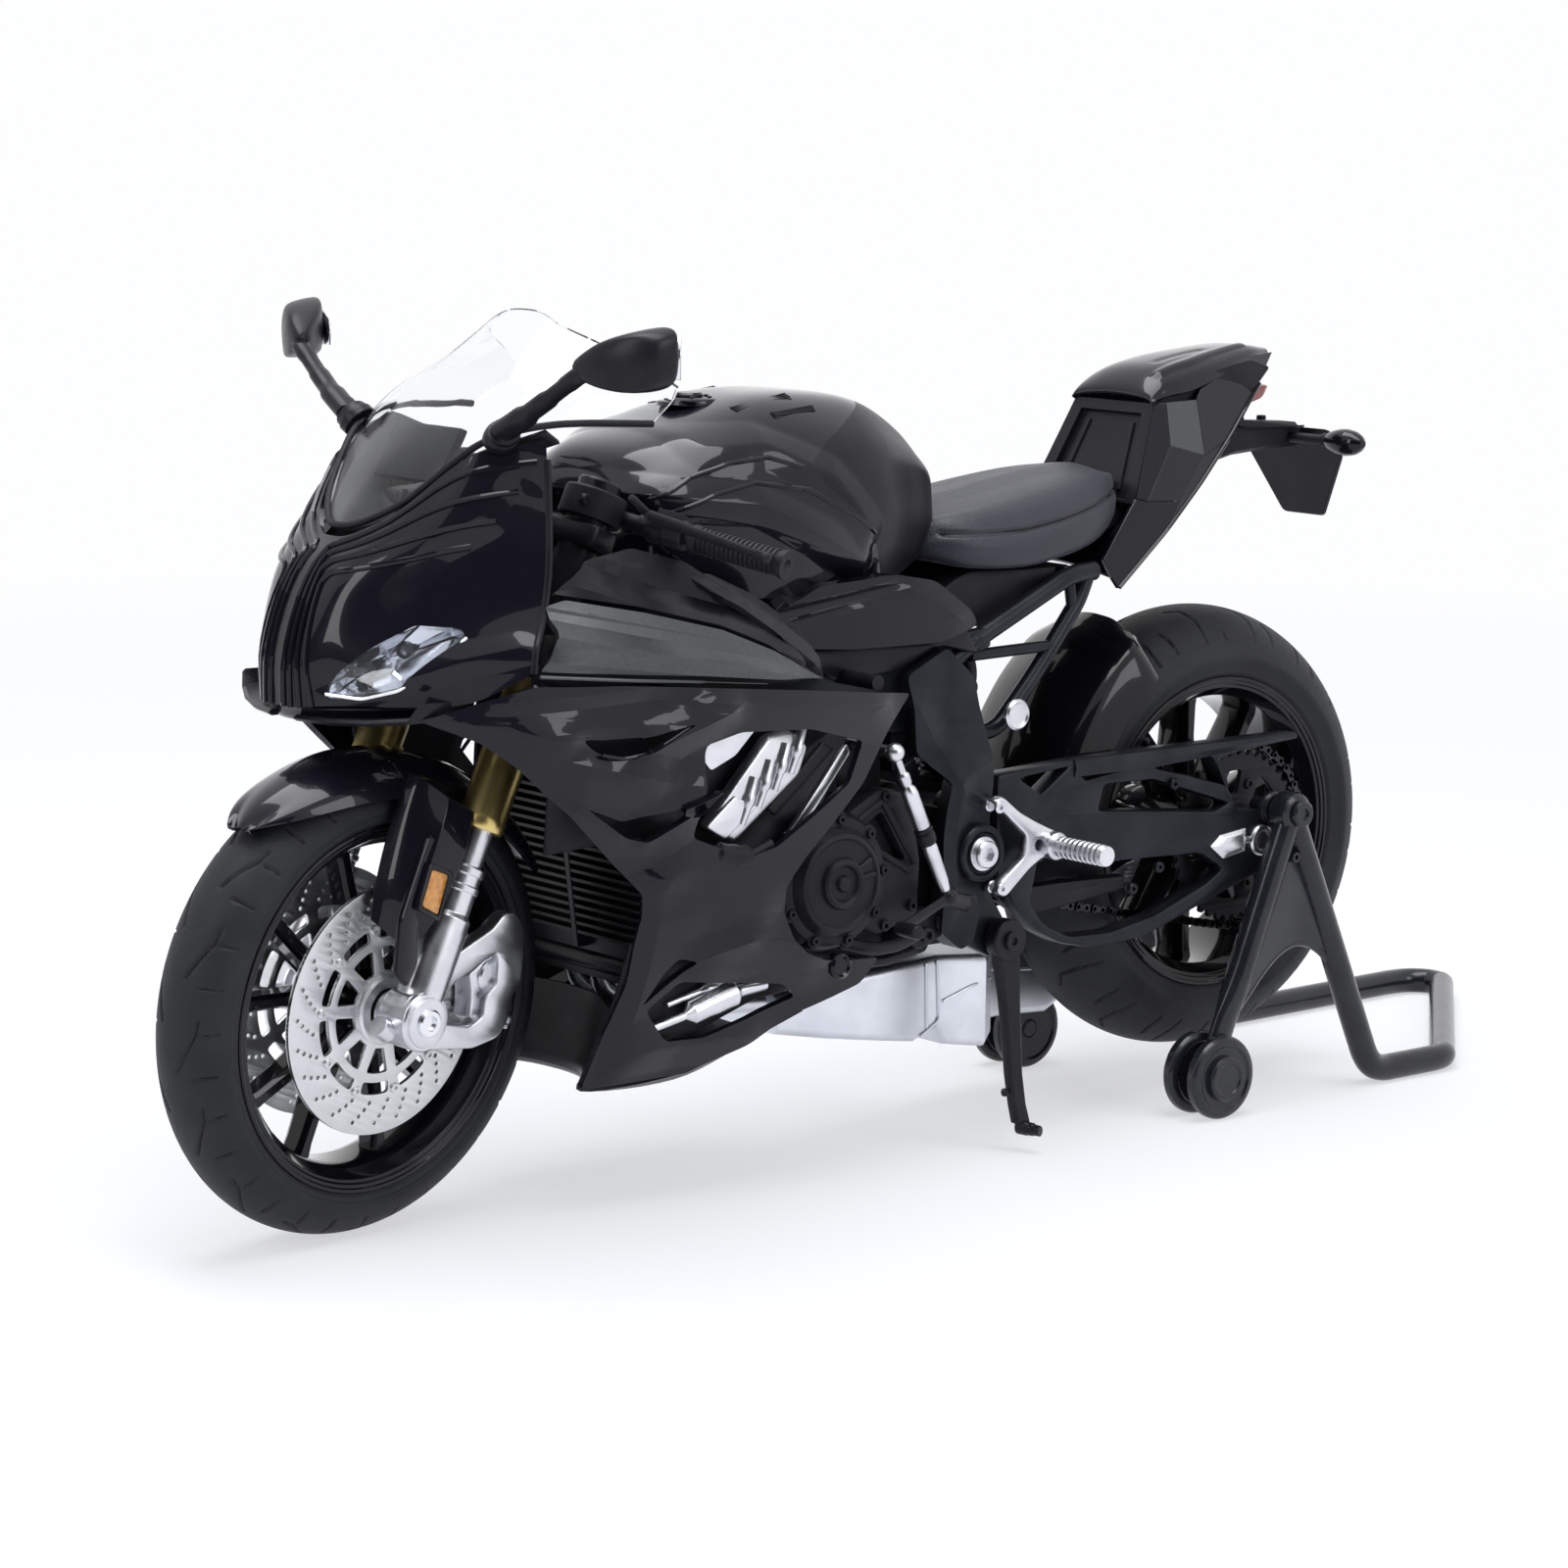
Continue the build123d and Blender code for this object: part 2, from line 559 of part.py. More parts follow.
def belly():
    """Belly pan with its front chin."""
    keep("belly_pan", panel(mirrored_rows(belly_rows), skin, (26, 0, 40)))


def fairing_brackets(front_stay):
    """Stays that carry the side fairings and accent panels off the frame and engine."""
    pieces = []
    for x, z, start, reach in ((28.0, 46.0, engine_half, 25.9), (6.0, 74.6, 17.2, 25.6),
                               (36.0, 82.0, 17.2, 28.6), (30.0, 30.6, engine_half, 21.8)):
        pieces.append(rod((x, start, z), (x, reach, z), 1.1))
        pieces.append(rod((x, -start, z), (x, -reach, z), 1.1))
    keep("fairing_stays", *pieces, front_stay)


side_cover_outline = [
    (21.4, 84.0), (12.0, 88.6), (-2.0, 89.4), (-9.6, 88.0), (-17.4, 82.8), (-18.8, 80.4), (-11.0,
        78.4), (5.9, 78.6), (14.0, 79.2),
]


def side_cover():
    """Covers that close the gap between tank and frame."""
    cover = side_prism(side_cover_outline, 17.4, 20.6)
    keep("frame_covers", cover, mirror_y(cover))


def subframe():
    """Tubes from the frame that carry seat and tail."""
    half = tube_run([(-12.0, 16.4, 72.5), (-20.5, 15.6, 77.3), (-41.5, 14.4, 86.1), (-46.6, 13.6, 86.1)],
                    1.5)
    half = half + tube_run([(-13.0, 13.8, 64.5), (-26.5, 14.6, 63.0), (-34.5, 14.6, 71.5),
                            (-44.0, 13.8, 82.0), (-46.0, 13.6, 86.1)], 1.3)
    body = half + mirror_y(half)
    body = body + rod((-41.5, -14.4, 86.1), (-41.5, 14.4, 86.1), 1.4)
    keep("subframe", body - nodes["main_frame"][0] - nodes["tail_cowl"][0])


exhaust_side = [
    (6.0, 18.6), (2.3, 17.6), (-9.8, 16.0), (-27.4, 12.4), (-40.0, 12.6), (-63.5, 10.6), (-67.2,
        12.6), (-68.6, 20.6),
    (-66.0, 22.4), (-44.0, 26.0), (-20.5, 28.6), (0.0, 26.6), (6.0, 25.0),
]
exhaust_plan = [
    (6.0, -12.0), (6.0, 4.0), (-6.0, 8.0), (-34.0, 8.0), (-40.0, -2.0), (-44.0, -11.6), (-68.6,
        -11.6), (-68.6, -17.4),
    (-40.0, -17.8), (-10.0, -15.0),
]


def exhaust():
    """Silencer box under the engine with its outlet on the right, and header pipes."""
    box = side_prism(exhaust_side, -30, 30) & plan_prism(exhaust_plan, 5, 40)
    box = box + rod((-66.0, -14.5, 16.6), (-72.0, -15.4, 17.4), 2.6)
    bore = rod((-67.0, -14.6, 16.7), (-73.0, -15.6, 17.5), 2.0)
    keep("exhaust", box - bore)
    pipes = []
    for y in (-9.6, -3.2, 3.2, 9.6):
        end = y * 0.4 - 3.0
        pipes.append(tube_run([(34.8, y, 57.0), (34.9, y, 27.6), (24.0, end, 24.4), (6.4, end, 23.4)],
                              1.25))
    body = pipes[0]
    for pipe in pipes[1:]:
        body = body + pipe
    body = body + rod((24.0, -7.6, 24.4), (24.0, 1.6, 24.4), 1.25)
    body = body - nodes["exhaust"][0] - nodes["engine_block"][0] - nodes["radiator"][0]
    keep("exhaust_headers", body)


def rearset(sign):
    """Footrest bracket and peg."""
    plate = side_prism([
        (-18.6, 54.6), (-20.6, 55.2), (-26.5, 50.6), (-32.4, 48.6), (-32.4, 45.4), (-27.0, 43.4), (-21.6,
            39.6), (-19.6, 40.6),
        (-24.6, 45.0), (-25.0, 49.0),
    ], 21.2, 23.2)
    feet = rod((-20.0, plate_outer, 53.6), (-20.0, 21.4, 53.6), 1.0)
    feet = feet + rod((-20.4, plate_outer, 41.0), (-20.4, 21.4, 41.0), 1.0)
    peg = rod((-30.9, 23.2, 46.8), (-30.9, 35.4, 46.8), 1.6) + rod((-30.9, 22.0, 46.8),
        (-30.9, 25.0, 46.8), 2.1)
    body = plate + feet + peg
    return body if sign > 0 else mirror_y(body)


def controls():
    """Footrests, gear lever with its rod, and brake lever."""
    keep("rearsets", rearset(1), rearset(-1))
    gear = rod((1.6, engine_half - 4.4, 63.9), (1.6, 24.6, 63.9), 1.0) + Pos(1.6, 24.4,
        63.9) * Sphere(1.4)
    gear = gear + rod((1.6, 24.4, 63.9), (-9.2, 24.4, 41.5), 0.9) + Pos(-9.2, 24.4, 41.5) * Sphere(1.4)
    gear = gear + tube_run([(-15.0, 22.0, 39.6), (-9.2, 24.4, 41.5), (2.0, 27.0, 38.4)], 0.9)
    gear = gear + rod((-15.0, plate_outer - 0.2, 39.6), (-15.0, 23.0, 39.6), 1.3)
    gear = gear + rod((2.0, 26.4, 38.4), (2.0, 31.0, 38.4), 1.1)
    for name in ("engine_block", "engine_covers", "main_frame"):
        gear = gear - nodes[name][0]
    pedal = tube_run([(-15.0, -22.0, 39.6), (-8.0, -24.8, 38.2), (0.5, -26.6, 36.0)], 0.9)
    pedal = pedal + rod((-15.0, -plate_outer + 0.2, 39.6), (-15.0, -23.0, 39.6), 1.3)
    pedal = pedal + rod((0.5, -26.2, 36.0), (0.5, -30.8, 36.0), 1.1)
    pedal = pedal - nodes["main_frame"][0] - nodes["engine_covers"][1]
    keep("foot_levers", gear, pedal)


# ---------------------------------------------------------------- wheels
def tyre(radius, width, rim, seat, bead):
    """Tyre of round crown that sits between the rim flanges."""
    half = width / 2
    shoulder = rim + (radius - rim) * 0.3
    edges = Polyline((seat, -bead), (seat, bead), (rim, bead), (rim, bead + 0.6), (shoulder, half))
    crown = ThreePointArc((shoulder, half), (radius, 0), (shoulder, -half))
    rest = Polyline((shoulder, -half), (rim, -bead - 0.6), (rim, -bead), (seat, -bead))
    face = make_face([edges, crown, rest])
    return revolve(face, Axis.Y)


def rim_body(rim, seat, bead, hub_radius, hub_half, bore, spokes, spoke_width):
    """Cast rim: barrel, flanges, paired spokes and hub."""
    barrel = wheel_ring([(seat - 1.7, -bead - 0.6), (seat - 1.7, bead + 0.6), (rim, bead + 0.6),
                         (rim, bead), (seat, bead), (seat, -bead),
                         (rim, -bead), (rim, -bead - 0.6)], (0, 0, 0))
    hub = rod((0, -hub_half, 0), (0, hub_half, 0), hub_radius)
    body = barrel + hub
    for k in range(spokes):
        turn = 360.0 / (spokes // 2) * (k // 2) + (16.0 if k % 2 else -16.0)
        spoke = beam([(hub_radius - 1.0, -2.4, -spoke_width / 2),
                      (hub_radius - 1.0, 2.4, -spoke_width / 2),
                      (hub_radius - 1.0, 2.4, spoke_width / 2), (hub_radius - 1.0, -2.4,
                          spoke_width / 2)],
                     [(seat - 1.2, -1.8, -spoke_width / 2), (seat - 1.2, 1.8, -spoke_width / 2),
                      (seat - 1.2, 1.8, spoke_width / 2), (seat - 1.2, -1.8, spoke_width / 2)])
        body = body + Rot(0, turn, 0) * spoke
    return body - rod((0, -30, 0), (0, 30, 0), bore)


def brake_disc(radius, inner, y0, y1, windows):
    """Brake disc with a ring of windows around its carrier."""
    disc = rod((0, y0, 0), (0, y1, 0), radius) - rod((0, -30, 0), (0, 30, 0), inner)
    middle = (inner + radius) * 0.42
    for k in range(windows):
        turn = 2 * math.pi * k / windows
        disc = disc - rod((middle * math.cos(turn), y0 - 1, middle * math.sin(turn)),
                          (middle * math.cos(turn), y1 + 1,
                           middle * math.sin(turn)), middle * math.pi / windows * 0.72)
    return disc


front_bead = 5.5
front_seat = front_rim_radius - 1.8
rear_bead = 8.6
rear_seat = rear_rim_radius - 1.8


def steered(body):
    """Fork frame to the bike, with the bars turned as at rest."""
    place = fork_location() * Pos(-fork_offset, 0, 0) * Rot(0, 0, rest_steer) * Pos(fork_offset, 0, 0)
    return place * body


def front_wheel():
    """Front tyre, rim and twin discs, made in the fork's frame."""
    keep("front_tyre", steered(tyre(front_tyre_radius, front_tyre_width, front_rim_radius, front_seat,
                                    front_bead)))
    rim = rim_body(front_rim_radius, front_seat, front_bead, 4.4, 5.9, axle_radius + running_fit, 10, 2.0)
    keep("front_rim", steered(rim))
    disc = brake_disc(17.8, 3.4, 5.9, 6.6, 10)
    keep("front_discs", steered(disc), steered(mirror_y(disc)))


def rear_wheel():
    """Rear tyre, rim, driven sprocket and disc."""
    place = Pos(*rear_centre)
    keep("rear_tyre", place * tyre(rear_tyre_radius, rear_tyre_width, rear_rim_radius, rear_seat,
                                   rear_bead))
    rim = rim_body(rear_rim_radius, rear_seat, rear_bead, 5.0, 11.4, axle_radius + running_fit, 10, 2.4)
    keep("rear_rim", place * rim)
    sprocket = rod((0, 11.4, 0), (0, 13.2, 0), 5.0) + rod((0, 12.1, 0), (0, 13.1, 0), sprocket_radius)
    for k in range(6):
        turn = math.radians(60 * k)
        sprocket = sprocket - rod((8.6 * math.cos(turn), 0, 8.6 * math.sin(turn)),
                                  (8.6 * math.cos(turn), 20, 8.6 * math.sin(turn)), 2.2)
    sprocket = sprocket - rod((0, -30, 0), (0, 30, 0), axle_radius + running_fit)
    keep("rear_sprocket", place * sprocket)
    disc = mirror_y(brake_disc(12.2, 3.4, 11.4, 12.1, 8))
    keep("rear_disc", place * disc)


# ---------------------------------------------------------------- fork and bars
def yoke(height, reach):
    """Clamp plate that joins the fork tubes and the stem."""
    wall = fork_tube_radius - 0.4
    tip = fork_half_track + fork_tube_radius + 1.4
    outline = [(-fork_offset - 4.6, 5.0), (-fork_tube_radius - 0.4, fork_half_track), (-wall, tip),
               (wall, tip), (reach, 8.0)]
    outline = along_x(outline)
    body = plan_prism(outline, height, height + yoke_thickness)
    for side in (-1, 1):
        body = body - rod((0, side * fork_half_track, height - 1),
                          (0, side * fork_half_track, height + 9), fork_tube_radius)
    return body


def steering_head():
    """Yokes with stem, fork tubes, handlebars, grips and levers."""
    stem = rod((-fork_offset, 0, lower_yoke_z), (-fork_offset, 0, upper_yoke_z + 5.0), stem_radius)
    nut = rod((-fork_offset, 0, upper_yoke_z), (-fork_offset, 0, upper_yoke_z + 4.6), 2.6)
    yokes = yoke(lower_yoke_z, fork_tube_radius + 2.0) + stem + yoke(upper_yoke_z,
        fork_tube_radius + 1.0) + nut
    keep("triple_clamps", steered(yokes))
    tubes = []
    for side in (-1, 1):
        y = side * fork_half_track
        tube = rod((0, y, 27.5), (0, y, fork_top), fork_tube_radius)
        tube = tube - rod((0, y, 20.0), (0, y, fork_top - 2.0), slider_radius + running_fit)
        tubes.append(steered(tube))
    keep("fork_tubes", *tubes)
    bars = []
    grips = []
    levers = []
    for side in (-1, 1):
        y = side * fork_half_track
        start = (-3.0, side * (fork_half_track + 2.6), 75.0)
        end = (-9.6, side * 41.0, 74.6)

        def along(t):
            return tuple(a + (b - a) * t for a, b in zip(start, end))

        clamp = rod((0, y, 73.0), (0, y, 77.4), fork_tube_radius + 1.5)
        bar = clamp + rod(start, end, 1.1)
        block = rod(along(0.22), along(0.42), 2.1)
        bar = bar + block
        bar = bar - rod((0, y, 60.0), (0, y, 90.0), fork_tube_radius)
        bars.append(steered(bar))
        grip = rod(along(0.45), along(1.0), 1.9) - rod(start, along(1.2), 1.1)
        grips.append(steered(grip))
        perch = rod(along(0.30), tuple(a + b for a, b in zip(along(0.30), (4.6, 0, 0.6))), 1.0)
        blade = tube_run([tuple(a + b for a, b in zip(along(0.30), (4.6, 0, 0.6))),
                          tuple(a + b for a, b in zip(along(0.55), (5.2, 0, 0.2))),
                          tuple(a + b for a, b in zip(along(0.98), (4.0, 0, -0.4)))], 0.8)
        lever = perch + blade - rod(along(0.20), along(0.44), 2.1)
        levers.append(steered(lever))
    keep("clip_ons", *bars)
    keep("grips", *grips)
    keep("control_levers", *levers)


def fork_lowers():
    """Sliders, axle, calipers and front fender: everything that rises with the wheel."""
    sliders = []
    calipers = []
    for side in (-1, 1):
        y = side * fork_half_track
        leg = rod((0, y, -2.0), (0, y, 48.0), slider_radius)
        leg = leg + rod((0, y, 0.0), (0, y, 12.0), 2.7) + rod((0, y, 18.0), (0, y, 21.0), 2.8)
        leg = leg + rod((0, side * 9.0, 0), (0, side * 14.8, 0), 3.7)
        foot = [(-2.0, 3.4), (-10.8, 6.4), (-12.4, 12.6), (-9.6, 13.4), (-6.8, 10.8), (-2.0, 14.0),
                (2.6, 12.0), (2.6, 2.0)]
        lug = side_prism(foot, 9.6, 13.2)
        leg = leg + (lug if side > 0 else mirror_y(lug))
        leg = leg - rod((0, -30, 0), (0, 30, 0), axle_radius)
        sliders.append(steered(leg))
        block = side_prism([(-19.0, 4.6), (-15.6, 3.2), (-11.0, 7.4), (-9.4, 12.8), (-12.6, 17.8),
                            (-16.4, 16.6), (-18.6, 11.4)], 5.0, 9.2)
        gap = side_prism([(-30, 0), (-5, 0), (-5, 30), (-30, 30)], 5.9 - joint_gap, 6.6 + joint_gap)
        block = block - gap
        caliper = block if side > 0 else mirror_y(block)
        caliper = [s for s in caliper.solids() if abs(s.center().Y) > 6.0]
        calipers += [steered(s) for s in caliper]
    keep("fork_sliders", *sliders)
    keep("front_calipers", *calipers)
    axle = rod((0, -15.2, 0), (0, 15.2, 0), axle_radius)
    for side in (-1, 1):
        axle = axle + rod((0, side * 14.8, 0), (0, side * 15.7, 0), 2.7)
        axle = axle + rod((0, side * 7.2, 0), (0, side * 9.0, 0), 2.4)
    keep("front_axle", steered(axle))
    fender = wheel_ring([(36.6, 0), (36.0, 4.6), (33.6, 8.0), (30.4, 8.6), (30.4, 7.8), (33.0, 7.2),
                         (35.0, 4.2), (35.6, 0),
                       (35.0, -4.2), (33.0, -7.2), (30.4, -7.8), (30.4, -8.6), (33.6, -8.0), (36.0,
                           -4.6)], (0, 0, 0), 96.0, 31.0)
    skirt = side_prism([(10.6, 31.0), (-8.0, 33.0), (-4.0, 22.5), (2.0, 20.6), (7.2, 10.6), (9.8, 12.0),
                        (10.4, 20.0)], 8.2, 9.0)
    guard = side_prism([(3.3, 21.6), (3.3, 11.0), (7.2, 10.6), (9.8, 12.0), (10.4, 21.0)], 8.2, 13.6)
    fender = fender + skirt + mirror_y(skirt) + guard + mirror_y(guard)
    for side in (-1, 1):
        fender = fender - rod((0, side * fork_half_track, -9), (0, side * fork_half_track, 60),
                              fork_tube_radius + 0.2)
    keep("front_fender", steered(fender))
    lens = side_prism([(4.6, 13.6), (8.8, 14.2), (9.2, 19.6), (5.2, 19.6)], 13.6, 14.3)
    keep("fork_reflectors", steered(lens), steered(mirror_y(lens)))


# ---------------------------------------------------------------- swingarm and drive
def belt_face(r_front, r_rear):
    """Flat loop outline around two circles of different radius, in the X-Z plane."""
    a = Vector(front_sprocket_x, 0, pivot_z)
    b = Vector(rear_x, 0, rear_z)
    along = b - a
    reach = along.length
    ux = along.X / reach
    uz = along.Z / reach
    spread = math.acos((r_front - r_rear) / reach)
    base = math.atan2(uz, ux)

    def at(centre, radius, angle):
        return (centre.X + radius * math.cos(angle), 0, centre.Z + radius * math.sin(angle))

    top_a = at(a, r_front, base - spread)
    low_a = at(a, r_front, base + spread)
    top_b = at(b, r_rear, base - spread)
    low_b = at(b, r_rear, base + spread)
    edges = [Line(top_a, top_b), ThreePointArc(top_b, at(b, r_rear, base), low_b),
             Line(low_b, low_a), ThreePointArc(low_a, at(a, r_front, base + math.pi), top_a)]
    return Face(Wire(edges))


def from_rear_axle(points):
    """Side-view points from their places ahead of and above the rear axle."""
    return [(rear_x + x, rear_z + z) for x, z in points]


arm_tail = from_rear_axle([(8.05, 10.67), (-5.95, 8.67), (-10.55, 4.47), (-9.55, -2.73), (4.05, -3.53),
                           (14.05, -5.53)])
arm_outline = [(-24.2, 52.6), (-33.0, 56.0), (-44.0, 58.4), (-60.0, 57.2)] + arm_tail + [
    (-56.0, 33.0), (-50.0, 29.6), (-41.0, 29.2), (-33.0, 32.2), (-26.0, 38.0), (-24.2, 41.0),
]
arm_upper_window = [(-45.6, 55.2), (-58.0, 53.6)] + from_rear_axle([(12.05, 7.67)]) + [(-60.0, 48.4),
    (-44.0, 51.0)]
arm_lower_window = [(-33.4, 43.6), (-56.0, 43.4)] + from_rear_axle([(16.05, -1.13)]) + [
    (-57.0, 37.0), (-49.2, 33.0), (-41.4, 32.4), (-35.4, 35.6),
]
adjuster_outline = from_rear_axle([(3.45, -1.33), (3.45, 2.47), (9.05, 1.67), (10.45, -0.93),
                                   (8.05, -2.13)])
rear_caliper_outline = from_rear_axle([(6.45, 2.47), (12.65, 1.47), (14.05, 6.47), (10.05, 9.07)])


def swingarm():
    """Trussed swingarm, axle, chain, hugger and the spools for the stand."""
    side = side_prism(arm_outline, arm_inner, arm_outer)
    side = side - side_prism(arm_upper_window, 0, 40) - side_prism(arm_lower_window, 0, 40)
    cross = side_prism([(-22.6, 43.0), (-22.6, 49.6), (-38.0, 49.8), (-39.6, 46.0), (-38.0, 41.8)],
                       -arm_inner, arm_inner)
    barrel = rod((pivot_x, -15.4, pivot_z), (pivot_x, 15.4, pivot_z), 3.0)
    web = side_prism([(-19.5, 43.6), (-19.5, 49.2), (-23.0, 49.4), (-23.0, 43.2)], -13.0, 13.0)
    body = side + mirror_y(side) + cross + barrel + web
    body = body - rod((pivot_x, -30, pivot_z), (pivot_x, 30, pivot_z), pivot_bolt_radius + running_fit)
    body = body - rod((rear_x, -30, rear_z), (rear_x, 30, rear_z), axle_radius)
    body = body - rod((spool_x, -30, spool_z), (spool_x, 30, spool_z), spool_radius)
    shock_seat = rod((-31.0, -2.0, 49.8), (-31.0, 2.0, 49.8), 2.0)
    keep("swingarm", body + shock_seat)
    axle = rod((rear_x, -19.6, rear_z), (rear_x, 19.6, rear_z), axle_radius)
    for sign in (-1, 1):
        axle = axle + rod((rear_x, sign * arm_outer, rear_z), (rear_x, sign * 19.8, rear_z), 2.5)
        axle = axle + rod((rear_x, sign * 13.6, rear_z), (rear_x, sign * arm_inner, rear_z), 2.4)
    blocks = []
    for sign in (-1, 1):
        block = side_prism(adjuster_outline, arm_outer, arm_outer + 1.2)
        blocks.append(block if sign > 0 else mirror_y(block))
    keep("rear_axle", axle, *blocks)
    loop = Solid.extrude(belt_face(5.2, 15.7), Vector(0, chain_outer - chain_inner, 0))
    hole = Solid.extrude(belt_face(3.7, 14.1), Vector(0, chain_outer - chain_inner + 2, 0))
    chain = Pos(0, chain_inner, 0) * loop - Pos(0, chain_inner - 1, 0) * hole
    keep("drive_chain", chain)
    spools = []
    spool_end = stand_y + stand_tube + 1.2
    for sign in (-1, 1):
        spool = rod((spool_x, sign * 15.0, spool_z), (spool_x, sign * spool_end, spool_z), spool_radius)
        spool = spool + rod((spool_x, sign * arm_outer, spool_z),
                            (spool_x, sign * (stand_y - stand_tube - joint_gap), spool_z), spool_flange)
        cap = rod((spool_x, sign * (stand_y + stand_tube + seam_gap), spool_z),
                  (spool_x, sign * spool_end, spool_z), spool_flange - 0.6)
        spool = spool + cap
        spools.append(spool)
    keep("stand_spools", *spools)
    caliper = side_prism(rear_caliper_outline, -arm_inner, -10.8)
    caliper = caliper - rod((rear_x, -12.1 - joint_gap, rear_z), (rear_x, -11.4 + joint_gap, rear_z),
                            12.2 + joint_gap)
    keep("rear_caliper", caliper)
    crown = rear_tyre_radius + hugger_gap
    outer = [(crown, 0), (crown - 0.6, 6.0), (crown - 2.8, 11.2), (crown - 8.9, 13.4)]
    inner = [(crown - 8.9, 12.6), (crown - 3.4, 10.4), (crown - 1.5, 5.6), (crown - 0.9, 0)]
    section = outer + inner + [(r, -y) for r, y in reversed(inner[:-1])] + [(r, -y) for r,
        y in reversed(outer[1:])]
    arch = wheel_ring(section, rear_centre, 46.0, 15.0)
    chain_space = side_prism([(rear_x - 20, 50.0), (rear_x - 20, 60.0), (-30, 60.0), (-30, 50.0)],
                             chain_inner - 0.5, chain_outer + 0.5)

    def on_hugger(radius, degrees):
        turn = math.radians(degrees)
        return (rear_x + radius * math.cos(turn), rear_z + radius * math.sin(turn))

    foot = side_prism([(-38.2, 50.0), on_hugger(crown - 0.36, 14.57), on_hugger(crown + 0.72, 18.24),
                       (-37.0, 51.6)], -6.0, 6.0)
    tie_x, tie_z = on_hugger(crown - 1.8, 23.3)
    tie = rod((tie_x, -11.0, tie_z), (-44.6, -arm_inner, 57.2), 1.0)
    hugger = arch - chain_space + foot + tie - nodes["swingarm"][0]
    keep("rear_hugger", hugger)


shock_top = (-23.0, 0, 72.0)
shock_foot = (-30.4, 0, 54.0)


def shock():
    """Rear shock: body with spring on the frame, rod on the swingarm."""
    a = Vector(*shock_top)
    b = Vector(*shock_foot)
    place = Plane(origin=a, z_dir=b - a).location
    length = (b - a).length
    waves = []
    count = 7
    for k in range(count):
        z = 3.0 + (length - 4.6) / count * (k + 0.5)
        waves.append(Pos(0, 0, z) * Torus(3.4, 0.75))
    sleeve = Cylinder(3.0, length - 1.6, align=(Align.CENTER, Align.CENTER, Align.MIN))
    sleeve = sleeve - Pos(0, 0, 5.0) * Cylinder(2.2, length, align=(Align.CENTER, Align.CENTER,
        Align.MIN))
    for wave in waves:
        sleeve = sleeve + wave
    eye = rod((shock_top[0], -3.0, shock_top[2] + 1.0), (shock_top[0], 3.0, shock_top[2] + 1.0), 2.2)
    arm = rod((shock_top[0], 0, shock_top[2] + 1.0), (-15.0, 0, 73.0), 1.4)
    body = place * sleeve + eye + arm
    body = body - nodes["main_frame"][0]
    keep("shock_body", body)
    stub = place * (Pos(0, 0, length - 7.0) * Cylinder(1.2, 9.5,
                                                       align=(Align.CENTER, Align.CENTER, Align.MIN)))
    keep("swingarm", nodes["swingarm"][0] + stub)


# ---------------------------------------------------------------- kickstand and stand
def kickstand():
    """Side stand that folds back about its pin."""
    eye = rod((kick_x, 18.7, kick_z), (kick_x, 21.3, kick_z), 2.3)
    leg = tube_run([(kick_x, kick_y, kick_z), (-25.6, 21.4, 12.0), (-26.4, 22.4, 4.4)], 1.2)
    leg = leg + tube_run([(-26.4, 22.4, 4.0), (-27.6, 25.4, 3.6)], 1.3)
    body = eye + leg
    body = body - rod((kick_x, 10, kick_z), (kick_x, 30, kick_z), kick_pin_radius + running_fit)
    body = body - rod((kick_x, 21.3, kick_z), (kick_x, 30, kick_z), 3.0)
    keep("kickstand", body)


def stand_side(sign, floor_points):
    """One A-shaped side: eye on the spool, front leg to the roller, rear leg to the floor."""
    y = sign * stand_y
    top = (spool_x, y, spool_z)
    dx = roller_x - spool_x
    dz = roller_radius - spool_z
    reach = math.hypot(dx, dz)
    stop = (reach - roller_radius - stand_tube - 0.6) / reach
    knee = (spool_x + dx * stop, y, spool_z + dz * stop)
    body = tube_run([top, knee], stand_tube) + tube_run([top] + floor_points, stand_tube)
    body = body + rod((spool_x, y - stand_tube, spool_z), (spool_x, y + stand_tube, spool_z),
                      spool_radius + 2.1)
    nx = -dz / reach * 2.1
    nz = dx / reach * 2.1
    flat = [(knee[0] + nx, knee[2] + nz), (roller_x + nx, roller_radius + nz),
            (roller_x - nx, roller_radius - nz), (knee[0] - nx, knee[2] - nz)]
    body = body + side_prism(flat, y - 1.1, y + 1.1) + rod((roller_x, y - 1.1, roller_radius),
                                                           (roller_x, y + 1.1, roller_radius), 2.9)
    web = [(spool_x, spool_z - 2.7)]
    for k in range(9):
        t = k / 8
        web.append((spool_x + 11.3 - 27.0 * t, 15.0 + 10.0 * math.sin(math.pi * t)))
    body = body + side_prism(web, y - 0.6, y + 0.6)
    body = body - rod((spool_x, y - 9, spool_z), (spool_x, y + 9, spool_z), spool_radius + running_fit)
    return body - rod((roller_x, y - 9, roller_radius), (roller_x, y + 9, roller_radius),
                      roller_axle_radius + running_fit)


